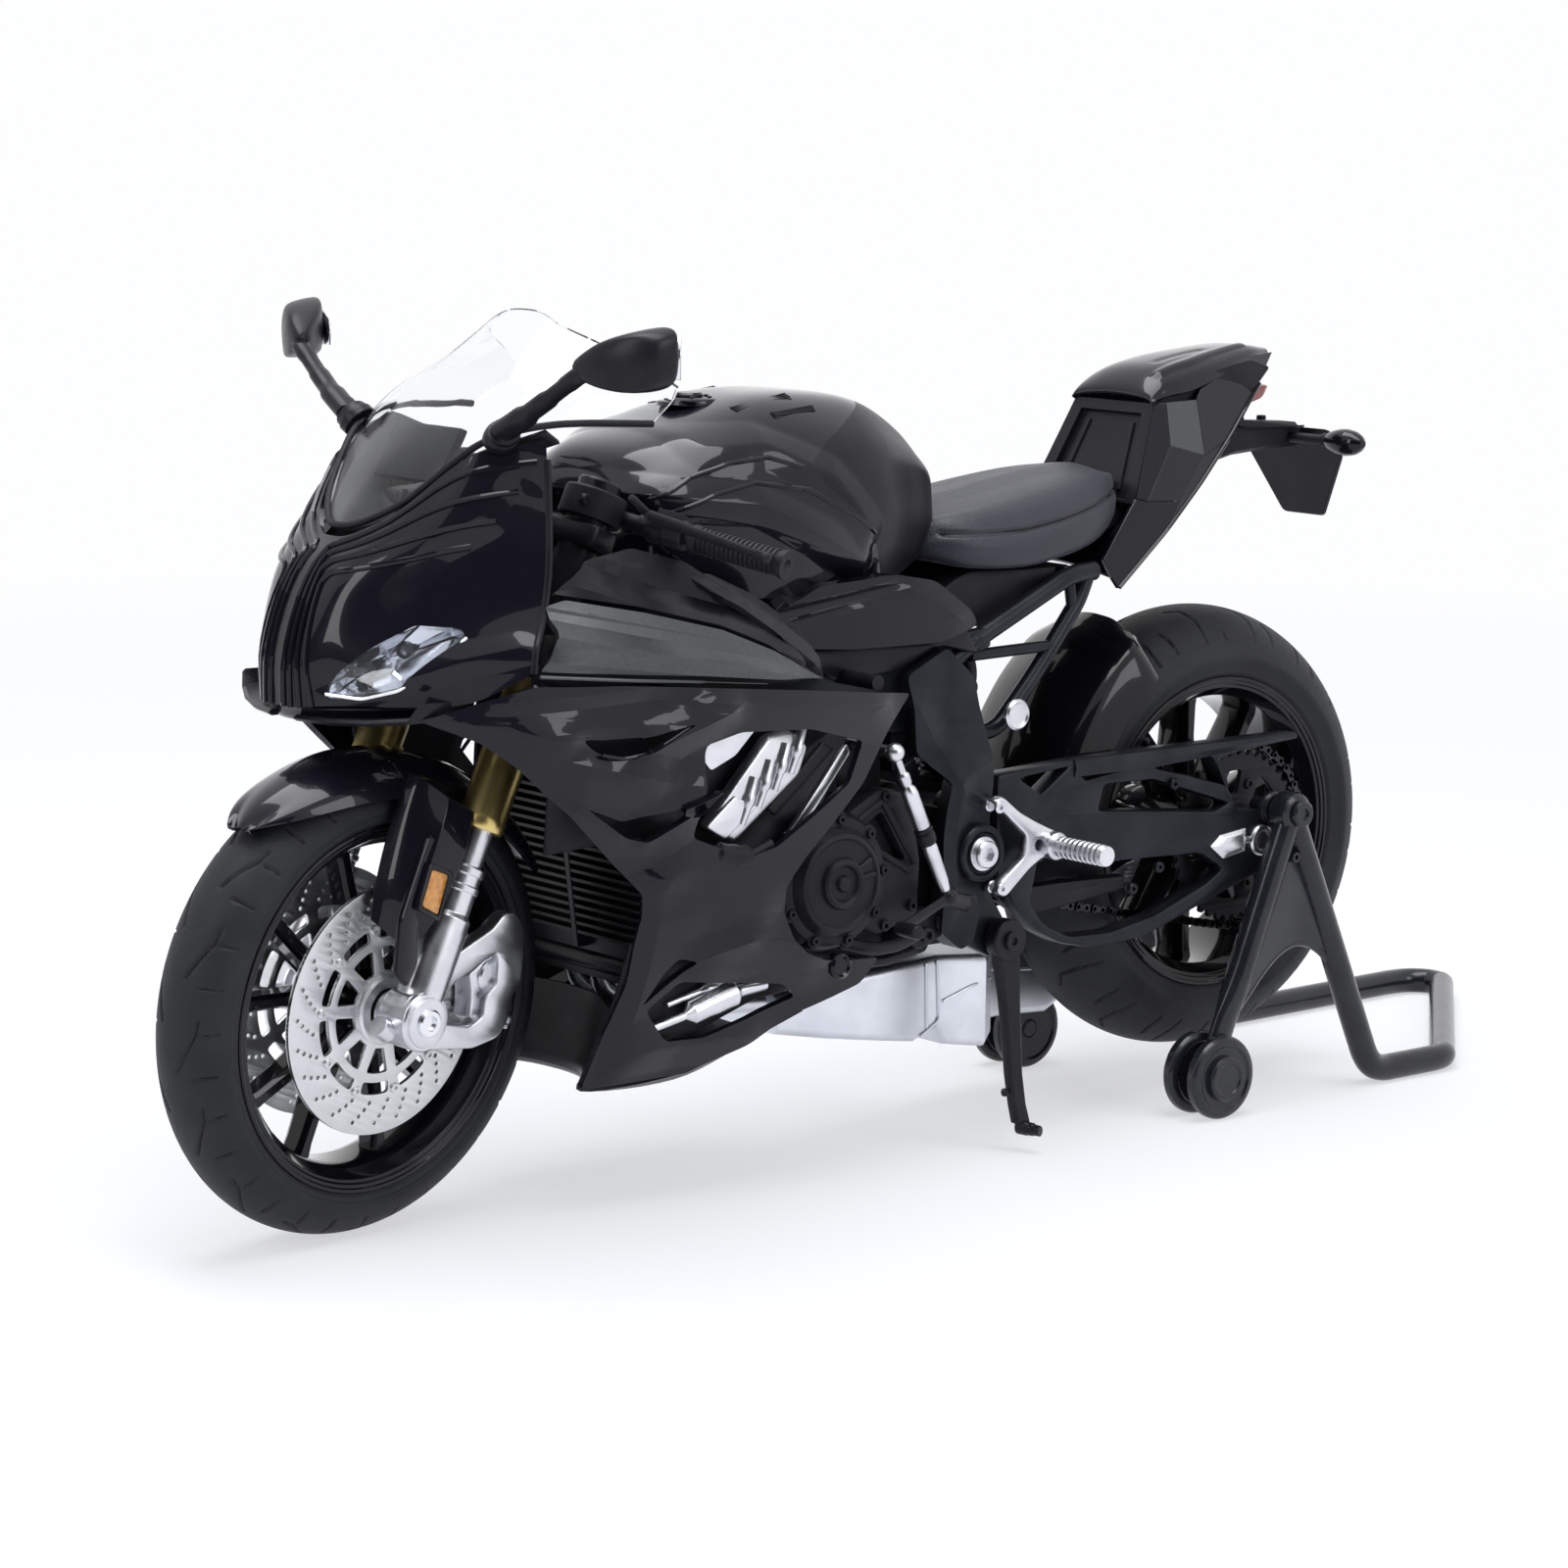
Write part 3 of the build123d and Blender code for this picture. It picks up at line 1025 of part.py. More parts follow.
def paddock_stand():
    """Tubular stand with rollers; its floor loop is longer on the right."""
    low = stand_tube - floor_flat
    bend = [(19.0, 5.0), (20.7, 3.0), (23.3, low)]
    left_floor = [(spool_x - back, stand_y, z) for back, z in bend]
    left_floor += [(spool_x - back, stand_y - y, low) for back,
                   y in ((35.5, 0.0), (38.5, 0.6), (40.5, 2.6))]
    right_floor = [(spool_x - back, -stand_y, z) for back, z in bend]
    right_floor += [(spool_x - back, y - stand_y, low) for back,
                    y in ((75.0, -1.5), (79.0, -0.8), (81.5, 2.2), (81.1, 5.2))]
    left = stand_side(1, left_floor)
    right = stand_side(-1, right_floor)
    cross = rod(left_floor[-1], right_floor[-1], stand_tube)
    under = plan_prism([(spool_x - 99, -40), (spool_x + 31, -40), (spool_x + 31, 40), (spool_x - 99, 40)],
                       -5, 0)
    keep("paddock_stand", left + right + cross - under)
    for name, sign in (("stand_roller_left", 1), ("stand_roller_right", -1)):
        y = sign * stand_y
        body = rod((roller_x, y - roller_half_width, roller_radius),
                   (roller_x, y + roller_half_width, roller_radius), roller_axle_radius)
        for inner, outer in ((1.3, roller_half_width), (-roller_half_width, -1.3)):
            body = body + rod((roller_x, y + inner, roller_radius), (roller_x, y + outer, roller_radius),
                              roller_radius)
        body = body + rod((roller_x, y, roller_radius), (roller_x, y + sign * (roller_half_width + 0.8),
                                                         roller_radius), 3.6) - rod(
            (roller_x, y - 1.3, roller_radius), (roller_x, y + 1.3, roller_radius), 8.0)
        body = body + rod((roller_x, y - roller_half_width, roller_radius),
                          (roller_x, y + roller_half_width, roller_radius), roller_axle_radius)
        keep(name, body)


# ---------------------------------------------------------------- build everything
side_covers()
nose()
mirrors()
tank()
seat_and_tail()
licence_holder()
main_frame()
front_stay = dash()
engine()
radiator()
belly()
fairing_brackets(front_stay)
side_cover()
subframe()
exhaust()
controls()
front_wheel()
rear_wheel()
steering_head()
fork_lowers()
swingarm()
shock()
kickstand()
paddock_stand()

boxes = [s.bounding_box() for group in nodes.values() for s in group]
low_x = min(b.min.X for b in boxes)
high_x = max(b.max.X for b in boxes)
middle_x = round((low_x + high_x) / 2, 2)
print("origin shift in x:", middle_x)
for name, group in nodes.items():
    placed = [Pos(-middle_x, 0, 0) * s for s in group]
    shape = placed[0] if len(placed) == 1 else Compound(children=placed)
    export_step(shape, f"parts/{name}.step")
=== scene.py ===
# %% [markdown]
# A ninth-scale sports motorcycle, dressed.
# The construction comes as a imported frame: every piece at its real size, already in place.
# This notebook gives each piece its surface. It reads places from the frame, builds the shells
# and covers as fine meshes, and paints everything with procedural finishes.

# %% Load the frame
import json
import math

import bmesh
import bpy
from mathutils import Matrix, Vector


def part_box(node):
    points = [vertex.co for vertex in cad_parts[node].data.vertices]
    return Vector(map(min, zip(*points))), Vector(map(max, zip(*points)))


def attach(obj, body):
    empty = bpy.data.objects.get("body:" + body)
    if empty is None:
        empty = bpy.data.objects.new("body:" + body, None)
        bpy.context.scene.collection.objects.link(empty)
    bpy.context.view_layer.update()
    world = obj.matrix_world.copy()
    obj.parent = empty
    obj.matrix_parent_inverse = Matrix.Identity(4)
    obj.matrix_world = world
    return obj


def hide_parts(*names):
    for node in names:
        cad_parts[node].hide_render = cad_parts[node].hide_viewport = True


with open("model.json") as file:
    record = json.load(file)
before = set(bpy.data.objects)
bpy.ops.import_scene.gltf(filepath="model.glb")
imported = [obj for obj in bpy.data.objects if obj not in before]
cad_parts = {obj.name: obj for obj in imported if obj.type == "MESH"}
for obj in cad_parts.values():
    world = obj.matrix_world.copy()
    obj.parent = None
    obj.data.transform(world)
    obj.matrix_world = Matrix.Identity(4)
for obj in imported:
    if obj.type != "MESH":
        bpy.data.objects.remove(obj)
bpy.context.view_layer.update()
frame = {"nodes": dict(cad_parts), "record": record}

# %% [markdown]
# All lengths below are in millimetres, as on a model maker's drawing. The drawing's zero is
# half way between the two wheels, on the floor, so one small function carries a drawing point
# into the frame, which is in metres. The fork leans back by the rake and is turned a little
# to the left, so pieces of the front end are drawn upright and placed by one matrix.

# %% Sizes and places
MM = 0.001
WHEELBASE = 160.1
FRONT_RADIUS = 33.3
REAR_RADIUS = 35.6
RAKE = math.radians(24.0)
STEER = math.radians(10.2)
FORK_OFFSET = 3.6
FORK_TRACK = 12.0


def middle(node):
    """Centre of a node's box, in millimetres."""
    low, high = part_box(node)
    return (low + high) / 2 / MM


rear_hub = middle("rear_rim")
SHIFT = rear_hub.x + WHEELBASE / 2


def at(point):
    """A drawing point, in millimetres, as a place in the frame, in metres."""
    x, y, z = point
    return Vector(((x + SHIFT) * MM, y * MM, z * MM))


lean = Matrix(((math.cos(RAKE), 0, -math.sin(RAKE), 0), (0, 1, 0, 0),
    (math.sin(RAKE), 0, math.cos(RAKE), 0), (0, 0, 0, 1)))
FRONT = (Matrix.Translation((WHEELBASE / 2, 0, FRONT_RADIUS)) @ lean @ Matrix.Translation((-FORK_OFFSET,
    0, 0))
         @ Matrix.Rotation(STEER, 4, "Z") @ Matrix.Translation((FORK_OFFSET, 0, 0)))
REAR = Matrix.Translation((rear_hub.x - SHIFT, 0, rear_hub.z))
MIRROR = Matrix.Diagonal((1, -1, 1, 1))
print("drawing zero lies", round(SHIFT, 2), "mm ahead of the frame's origin")

# %% [markdown]
# Shader maths reads best as ordinary arithmetic. A Field wraps one output of a node, and the
# usual signs add Math nodes behind the scenes. A Finish is one material under construction.

# %% Shader arithmetic
class Field:
    """One number that varies over a surface."""

    def __init__(self, finish, socket):
        self.finish = finish
        self.socket = socket

    def math(self, operation, *others):
        return self.finish.node("ShaderNodeMath", {"operation": operation}, [self, *others])

    def __add__(self, other):
        return self.math("ADD", other)

    def __sub__(self, other):
        return self.math("SUBTRACT", other)

    def __rsub__(self, other):
        return self.math("MULTIPLY", -1.0) + other

    def __mul__(self, other):
        return self.math("MULTIPLY", other)

    def __truediv__(self, other):
        return self.math("DIVIDE", other)

    __radd__ = __add__
    __rmul__ = __mul__

    def span(self, low, high):
        """0 at low, 1 at high, held outside."""
        return self.finish.node("ShaderNodeMapRange", {"clamp": True}, {0: self, 1: low, 2: high})


class Finish:
    """A procedural material around one Principled shader."""

    def __init__(self, name, **settings):
        self.material = bpy.data.materials.new(name)
        self.material.use_nodes = True
        self.tree = self.material.node_tree
        self.shader = self.tree.nodes["Principled BSDF"]
        self.place = self.tree.nodes.new("ShaderNodeTexCoord").outputs["Object"]
        for socket, value in settings.items():
            self.shader.inputs[socket.replace("_", " ")].default_value = value

    def plug(self, socket, value):
        if isinstance(value, Field):
            self.tree.links.new(value.socket, socket)
        elif isinstance(value, bpy.types.NodeSocket):
            self.tree.links.new(value, socket)
        else:
            socket.default_value = value

    def node(self, kind, settings=None, inputs=(), output=0):
        made = self.tree.nodes.new(kind)
        for name, value in (settings or {}).items():
            if name == "stops":
                for stop, (position, colour) in zip(made.color_ramp.elements, value):
                    stop.position = position
                    stop.color = (*colour, 1)
            else:
                setattr(made, name, value)
        pairs = inputs.items() if isinstance(inputs, dict) else enumerate(inputs)
        for key, value in pairs:
            self.plug(made.inputs[key], value)
        return Field(self, made.outputs[output])

    def noise(self, size_mm, detail=3.0, stretch=(1, 1, 1)):
        """Cloudy variation whose features are about size_mm across."""
        spot = self.node("ShaderNodeVectorMath", {"operation": "MULTIPLY"}, [self.place, stretch])
        return self.node("ShaderNodeTexNoise", {}, {"Vector": spot, "Scale": 1 / (size_mm * MM),
            "Detail": detail})

    def cells(self, size_mm, feature="F1"):
        return self.node("ShaderNodeTexVoronoi", {"feature": feature},
            {"Vector": self.place, "Scale": 1 / (size_mm * MM)})

    def axis(self, name):
        """One coordinate of the surface point, in metres."""
        return self.node("ShaderNodeSeparateXYZ", {}, [self.place], "XYZ".index(name))

    def colour(self, dark, light, factor):
        self.plug(self.shader.inputs["Base Color"],
                  self.node("ShaderNodeValToRGB", {"stops": [(0, dark), (1, light)]}, [factor]))

    def rough(self, low, high, factor):
        self.plug(self.shader.inputs["Roughness"], factor * (high - low) + low)

    def bump(self, height, depth_mm, strength=1.0):
        bump = self.node("ShaderNodeBump", {}, {"Strength": strength, "Distance": depth_mm * MM,
            "Height": height})
        self.plug(self.shader.inputs["Normal"], bump)


print("shader arithmetic ready")

# %% [markdown]
# Three paints carry most of the model. The body is sprayed gloss black over plastic: almost no
# colour of its own, a clear coat that reflects the room, and a trace of orange peel. The accent
# panels are gunmetal with fine flake. Moulded parts are left matt, with the grain of the tool.

# %% Paints and plastics
def gloss_black(name, base, coat_rough=0.03, peel=0.012):
    finish = Finish(name, Roughness=0.3, Specular_IOR_Level=0.08, Coat_Weight=1.0, Coat_IOR=1.31,
        Coat_Roughness=coat_rough)
    cloud = finish.noise(18.0, 4.0)
    finish.colour(base, tuple(c * 1.5 for c in base), cloud)
    finish.rough(0.16, 0.3, finish.noise(3.0, 5.0))
    finish.bump(finish.noise(1.3, 2.0), peel)
    return finish.material


def flake_paint(name, dark, light):
    finish = Finish(name, Metallic=0.75, Coat_Weight=0.25, Coat_Roughness=0.25)
    flake = finish.cells(0.16)
    finish.colour(dark, light, finish.noise(0.5, 2.0) * 0.6 + finish.noise(9.0, 3.0) * 0.4)
    finish.rough(0.3, 0.44, flake)
    finish.bump(flake, 0.01)
    return finish.material


def moulded(name, dark, light, low=0.45, high=0.62, grain=0.35, depth=0.02, **settings):
    finish = Finish(name, Specular_IOR_Level=0.2, **settings)
    finish.colour(dark, light, finish.noise(6.0, 5.0).span(0.3, 0.7))
    finish.rough(low, high, finish.noise(2.4, 4.0))
    finish.bump(finish.noise(grain, 3.0), depth)
    return finish.material


body_black = gloss_black("body_gloss_black", (0.0056, 0.0052, 0.0088))
rim_black = gloss_black("rim_gloss_black", (0.0040, 0.0040, 0.0055), peel=0.006)
gunmetal = flake_paint("accent_gunmetal", (0.042, 0.046, 0.048), (0.095, 0.10, 0.102))
matt_black = moulded("matt_black_plastic", (0.0072, 0.0072, 0.0096), (0.0155, 0.0155, 0.0195))
satin_black = moulded("satin_black_plastic", (0.0068, 0.0068, 0.0092), (0.0135, 0.0135, 0.0172), 0.24,
    0.4, 0.6, 0.015)
frame_black = moulded("frame_satin_black", (0.013, 0.014, 0.018), (0.026, 0.028, 0.034), 0.26, 0.36, 0.5,
    0.01, Metallic=0.55)
stand_black = moulded("stand_powder_black", (0.0085, 0.009, 0.0125), (0.017, 0.018, 0.023), 0.2, 0.32,
    0.45, 0.02, Coat_Weight=0.4, Coat_Roughness=0.15)
engine_black = moulded("engine_cast_black", (0.0062, 0.0062, 0.0084), (0.0135, 0.0135, 0.0168), 0.36,
    0.52, 0.28, 0.03)
print("paints:", [m.name for m in (body_black, rim_black, gunmetal, matt_black, satin_black, frame_black,
    stand_black, engine_black)])

# %% [markdown]
# Metals are told apart by how evenly they shine: bright paint on the castings, turned steel with
# rings around the axle on the discs, warm anodised gold on the fork tubes.

# %% Metals
def bright(name, dark, light, low, high, wear=2.0, depth=0.012, **settings):
    finish = Finish(name, Metallic=1.0, **settings)
    finish.colour(dark, light, finish.noise(5.0, 5.0).span(0.25, 0.75))
    finish.rough(low, high, finish.noise(wear, 5.0))
    finish.bump(finish.noise(0.4, 3.0), depth)
    return finish.material


def turned(name, dark, light, pitch):
    """Metal turned on a lathe about the axle that the mesh is drawn around: faint rings."""
    finish = Finish(name, Metallic=1.0)
    rings = finish.node("ShaderNodeTexWave", {"wave_type": "RINGS", "rings_direction": "Y"},
                        {"Vector": finish.place, "Scale": 1 / (pitch * MM), "Distortion": 0.6,
                            "Detail": 2.0})
    finish.colour(dark, light, finish.noise(2.0, 5.0) * 0.5 + rings * 0.5)
    finish.rough(0.26, 0.42, rings)
    finish.bump(rings, 0.01)
    return finish.material


silver = bright("silver_casting", (0.62, 0.63, 0.67), (0.80, 0.81, 0.85), 0.24, 0.38)
polished = bright("polished_aluminium", (0.74, 0.75, 0.78), (0.88, 0.89, 0.92), 0.12, 0.24)
exhaust_silver = bright("exhaust_silver", (0.66, 0.68, 0.74), (0.80, 0.82, 0.88), 0.32, 0.46)
gold = bright("gold_anodised", (0.66, 0.50, 0.17), (0.80, 0.64, 0.27), 0.26, 0.36, depth=0.002)
disc_steel = turned("disc_turned_steel", (0.60, 0.61, 0.63), (0.80, 0.81, 0.83), 0.5)
steel = bright("dark_steel", (0.16, 0.16, 0.17), (0.30, 0.30, 0.32), 0.28, 0.45)
chrome_black = bright("black_chrome", (0.02, 0.02, 0.024), (0.06, 0.06, 0.066), 0.12, 0.28)
print("metals:", [m.name for m in (silver, polished, exhaust_silver, gold, disc_steel, steel)])

# %% [markdown]
# Rubber is dark and broad in its shine, with dust in the pores. The seat is covered in a smooth
# leathercloth whose grain is a net of tiny cells. Clear parts are thin mouldings that bend light.

# %% Rubber, leathercloth and clear parts
def rubber_finish(name, dark, light):
    finish = Finish(name, Specular_IOR_Level=0.25)
    finish.colour(dark, light, finish.noise(7.0, 6.0).span(0.25, 0.75))
    finish.rough(0.48, 0.68, finish.noise(1.2, 5.0))
    finish.bump(finish.noise(0.3, 4.0), 0.03)
    return finish.material


def leathercloth(name, dark, light):
    finish = Finish(name, Specular_IOR_Level=0.35, Sheen_Weight=0.1, Sheen_Roughness=0.4)
    grain = finish.cells(0.55, "DISTANCE_TO_EDGE").span(0.0, 0.25)
    finish.colour(dark, light, finish.noise(8.0, 5.0) * 0.7 + grain * 0.3)
    finish.rough(0.36, 0.5, finish.noise(2.0, 4.0))
    finish.bump(grain, 0.02)
    return finish.material


def clear_part(name, tint, ripple=0.004, ior=1.46, **settings):
    finish = Finish(name, Roughness=0.02, IOR=ior, Transmission_Weight=1.0, **settings)
    finish.colour(tint, tuple(min(1, c * 1.02) for c in tint), finish.noise(12.0))
    finish.bump(finish.noise(6.0, 1.0), ripple)
    return finish.material


def lens(name, dark, light, pitch):
    """Coloured lens with the small prisms of its inner face showing through."""
    finish = Finish(name, Roughness=0.18, Coat_Weight=1.0, Coat_Roughness=0.04, Transmission_Weight=0.25)
    prisms = finish.cells(pitch)
    finish.colour(dark, light, prisms)
    finish.bump(prisms, 0.05)
    return finish.material


tyre_rubber = rubber_finish("tyre_rubber", (0.012, 0.0125, 0.0145), (0.021, 0.022, 0.025))
grip_rubber = rubber_finish("grip_rubber", (0.007, 0.007, 0.008), (0.014, 0.014, 0.016))
seat_cloth = leathercloth("seat_leathercloth", (0.019, 0.020, 0.028), (0.034, 0.035, 0.047))
clear = clear_part("clear_screen", (0.97, 0.98, 0.99), ior=1.2)
lamp_clear = clear_part("clear_lamp", (0.90, 0.93, 0.98), 0.008)
amber = lens("amber_lens", (0.62, 0.20, 0.01), (0.95, 0.42, 0.04), 0.9)
lamp_red = lens("red_lens", (0.16, 0.004, 0.004), (0.38, 0.012, 0.012), 0.9)
print("soft and clear:", [m.name for m in (tyre_rubber, grip_rubber, seat_cloth, clear, lamp_clear, amber,
    lamp_red)])

# %% [markdown]
# Every piece below is a list of points with faces between them, drawn in millimetres. A few
# small makers cover nearly all of it: a loft through rings, a turned part, a tube along a
# path, and a plate cut from an outline. One builder joins such parts into a piece, rounds its
# edges, places it and lets it ride on its body.

# %% Makers of parts
def loft(rings, cap=True):
    """Skin through rings of equally many points."""
    count = len(rings[0])
    points = [Vector(p) for ring in rings for p in ring]
    faces = []
    for k in range(len(rings) - 1):
        for j in range(count):
            i = (j + 1) % count
            faces.append((k * count + j, k * count + i, (k + 1) * count + i, (k + 1) * count + j))
    if cap:
        faces.append(tuple(reversed(range(count))))
        faces.append(tuple(range(len(points) - count, len(points))))
    return points, faces


def ring(radius, y, count, turn=0.0):
    return [(radius * math.cos(turn + 2 * math.pi * k / count), y,
        radius * math.sin(turn + 2 * math.pi * k / count))
            for k in range(count)]


def turned_part(profile, count=48, centre=(0, 0, 0)):
    """Solid of revolution about an axle along Y, from (radius, y) pairs; radius 0 closes an end."""
    closed = profile[0] == profile[-1]
    rings = [ring(max(r, 0.001), y, count) for r, y in profile]
    points, faces = loft(rings, cap=not closed)
    return [p + Vector(centre) for p in points], faces


def moved(part, matrix):
    points, faces = part
    flip = matrix.determinant() < 0
    return [matrix @ p for p in points], [tuple(reversed(f)) if flip else f for f in faces]


def both_sides(parts):
    return list(parts) + [moved(part, MIRROR) for part in parts]


def rounded(path, reach):
    """Path with each inner corner replaced by a short curve that starts reach before it."""
    path = [Vector(p) for p in path]
    out = [path[0]]
    for before, corner, after in zip(path, path[1:], path[2:]):
        near = min(reach, (corner - before).length * 0.48, (after - corner).length * 0.48)
        a = corner + (before - corner).normalized() * near
        b = corner + (after - corner).normalized() * near
        for k in range(6):
            t = k / 5
            out.append(a * (1 - t) ** 2 + corner * 2 * t * (1 - t) + b * t * t)
    return out + [path[-1]]


def tube(path, radius, reach=3.0, count=18, flat=1.0):
    """Round bar along a path. radius may be a list, one for each given point."""
    given = [Vector(p) for p in path]
    line = rounded(given, reach) if reach else given
    rings = []
    side = None
    for k, here in enumerate(line):
        ahead = (line[min(k + 1, len(line) - 1)] - line[max(k - 1, 0)]).normalized()
        if side is None:
            side = ahead.orthogonal().normalized() if abs(ahead.y) > 0.9 else ahead.cross(Vector((0, 1,
                0))).normalized()
        side = (side - ahead * side.dot(ahead)).normalized()
        up = ahead.cross(side)
        r = radius if isinstance(radius, (int, float)) else radius[min(k * len(radius) // len(line),
            len(radius) - 1)]
        rings.append([here + (side * math.cos(2 * math.pi * j / count) + up * flat * math.sin(2 * math.pi * j / count)) * r
                      for j in range(count)])
    return loft(rings)


def plate(outline, y0, y1, holes=(), edge=0.25):
    """Sheet with a side-view outline, holes and softly rounded edges, from y0 to y1."""
    curve = bpy.data.curves.new("outline", "CURVE")
    curve.dimensions = "2D"
    curve.fill_mode = "BOTH"
    edge = min(edge, abs(y1 - y0) * 0.45)
    curve.extrude = abs(y1 - y0) / 2 - edge
    curve.bevel_depth = edge
    curve.bevel_resolution = 1
    curve.offset = -edge
    for loop in (outline, *holes):
        spline = curve.splines.new("POLY")
        spline.points.add(len(loop) - 1)
        spline.use_cyclic_u = True
        for point, (x, z) in zip(spline.points, loop):
            point.co = (x, z, 0, 1)
    holder = bpy.data.objects.new("outline", curve)
    mesh = bpy.data.meshes.new_from_object(holder)
    points = [Vector((v.co.x, (y0 + y1) / 2 + v.co.z, v.co.y)) for v in mesh.vertices]
    faces = [tuple(p.vertices) for p in mesh.polygons]
    bpy.data.objects.remove(holder)
    bpy.data.curves.remove(curve)
    bpy.data.meshes.remove(mesh)
    return points, faces


def soften(outline, reach, steps=4):
    """Flat closed outline with its corners rounded."""
    out = []
    count = len(outline)
    for k, (x, z) in enumerate(outline):
        corner = Vector((x, z))
        before = Vector(outline[k - 1])
        after = Vector(outline[(k + 1) % count])
        near = min(reach, (corner - before).length * 0.45, (after - corner).length * 0.45)
        a = corner + (before - corner).normalized() * near
        b = corner + (after - corner).normalized() * near
        for j in range(steps + 1):
            t = j / steps
            p = a * (1 - t) ** 2 + corner * 2 * t * (1 - t) + b * t * t
            out.append((p.x, p.y))
    return out


def circle(x, z, radius, count=20):
    return [(x + radius * math.cos(2 * math.pi * k / count),
        z + radius * math.sin(2 * math.pi * k / count))
            for k in range(count)]


def bolt(x, y, z, radius, height, side=1, recess=0.55):
    """Round bolt head with a hexagon socket, standing off a face whose outside is +Y or -Y."""
    def hexagon(r, y_at):
        out = []
        for k in range(24):
            a = 2 * math.pi * k / 24
            reach = r * math.cos(math.pi / 6) / math.cos((a % (math.pi / 3)) - math.pi / 6)
            out.append((reach * math.cos(a), y_at, reach * math.sin(a)))
        return out

    rings = [ring(radius, 0, 24), ring(radius, height * 0.75, 24), ring(radius * 0.88, height, 24),
             hexagon(radius * recess, height), hexagon(radius * recess * 0.95, height * 0.35)]
    points, faces = loft(rings)
    matrix = Matrix.Translation((x, y, z)) @ Matrix.Diagonal((1, side, 1, 1))
    return moved((points, faces), matrix)


def rod(start, end, radius, count=24, edge=0.2):
    """Straight round bar with slightly rounded ends."""
    a, b = Vector(start), Vector(end)
    axis = b - a
    length = axis.length
    edge = min(edge, radius * 0.4, length * 0.3)
    rings = [ring(radius - edge, 0, count), ring(radius, edge, count), ring(radius, length - edge, count),
             ring(radius - edge, length, count)]
    turn = Vector((0, 1, 0)).rotation_difference(axis).to_matrix().to_4x4()
    return moved(loft(rings), Matrix.Translation(a) @ turn)


print("part makers ready")

# %% [markdown]
# The builder also takes care of shading. Faces that meet softly are shaded smooth, sharp edges
# get a narrow bevel so that they catch a line of light, and panels drawn as a coarse cage can be
# subdivided, with chosen edges creased, and given a thickness.

# %% Builder of pieces
def build(name, parts, finish, body, replaces=(), place=None, bevel=0.0, levels=0, creases=(),
    thickness=0.0,
          angle=32, inward=None):
    bm = bmesh.new()
    chains = []
    for part in parts:
        points, faces = part
        made = [bm.verts.new(at(place @ Vector(p)) if place else at(p)) for p in points]
        for face in faces:
            if len(set(face)) > 2:
                try:
                    bm.faces.new([made[k] for k in face])
                except ValueError:
                    pass
        if part is parts[0]:
            chains = [[made[k] for k in chain] for chain in creases]
    crease = bm.edges.layers.float.new("crease_edge")
    for chain in chains:
        for a, b in zip(chain, chain[1:]):
            edge = bm.edges.get((a, b))
            if edge:
                edge[crease] = 0.9
    if levels:
        for edge in bm.edges:
            if edge.is_boundary:
                edge[crease] = 1.0
    bmesh.ops.remove_doubles(bm, verts=bm.verts, dist=0.000002)
    bmesh.ops.recalc_face_normals(bm, faces=bm.faces)
    if inward is not None:
        spot = at(inward)
        face = max(bm.faces, key=lambda f: f.calc_area())
        if face.normal.dot(face.calc_center_median() - spot) < 0:
            bmesh.ops.reverse_faces(bm, faces=bm.faces)
    mesh = bpy.data.meshes.new(name)
    bm.to_mesh(mesh)
    bm.free()
    mesh.materials.append(finish)
    mesh.shade_smooth()
    mesh.set_sharp_from_angle(angle=math.radians(angle))
    piece = bpy.data.objects.new(name, mesh)
    bpy.context.scene.collection.objects.link(piece)
    if levels:
        sub = piece.modifiers.new("subdivide", "SUBSURF")
        sub.levels = sub.render_levels = levels
    if thickness:
        solid = piece.modifiers.new("thickness", "SOLIDIFY")
        solid.thickness = thickness * MM
        solid.offset = -1
        solid.use_even_offset = False
    if bevel:
        rounding = piece.modifiers.new("edges", "BEVEL")
        rounding.width = bevel * MM
        rounding.segments = 2
        rounding.limit_method = "ANGLE"
        rounding.angle_limit = math.radians(angle)
        rounding.harden_normals = True
    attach(piece, body)
    if replaces:
        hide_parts(*([replaces] if isinstance(replaces, str) else replaces))
    return piece


def paint(finish, *nodes):
    """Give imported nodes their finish."""
    for node in nodes:
        mesh = frame["nodes"][node].data
        mesh.materials.clear()
        mesh.materials.append(finish)


slots = {s["node"]: s["material_slot"] for s in frame["record"]["subparts"]}
default = {
    "gloss_black": body_black, "accent_grey": gunmetal, "matt_black": matt_black, "engine_black": engine_black,
    "frame_black": frame_black, "tyre": tyre_rubber, "rubber": grip_rubber, "leather": seat_cloth, "clear": clear,
    "lamp_red": lamp_red, "lamp_amber": amber, "silver": silver, "disc_steel": disc_steel, "gold": gold,
    "stand_black": stand_black,
}
for node, slot_name in slots.items():
    paint(default[slot_name], node)
print("painted", len(slots), "packed nodes")

# %% [markdown]
# The studio: a pale floor, a white room that the camera, gloss and glass see, and three soft
# lamps. Dark paint shows its shape only through what it mirrors, so the lamps are wide panels
# whose edges draw lines along the creases.

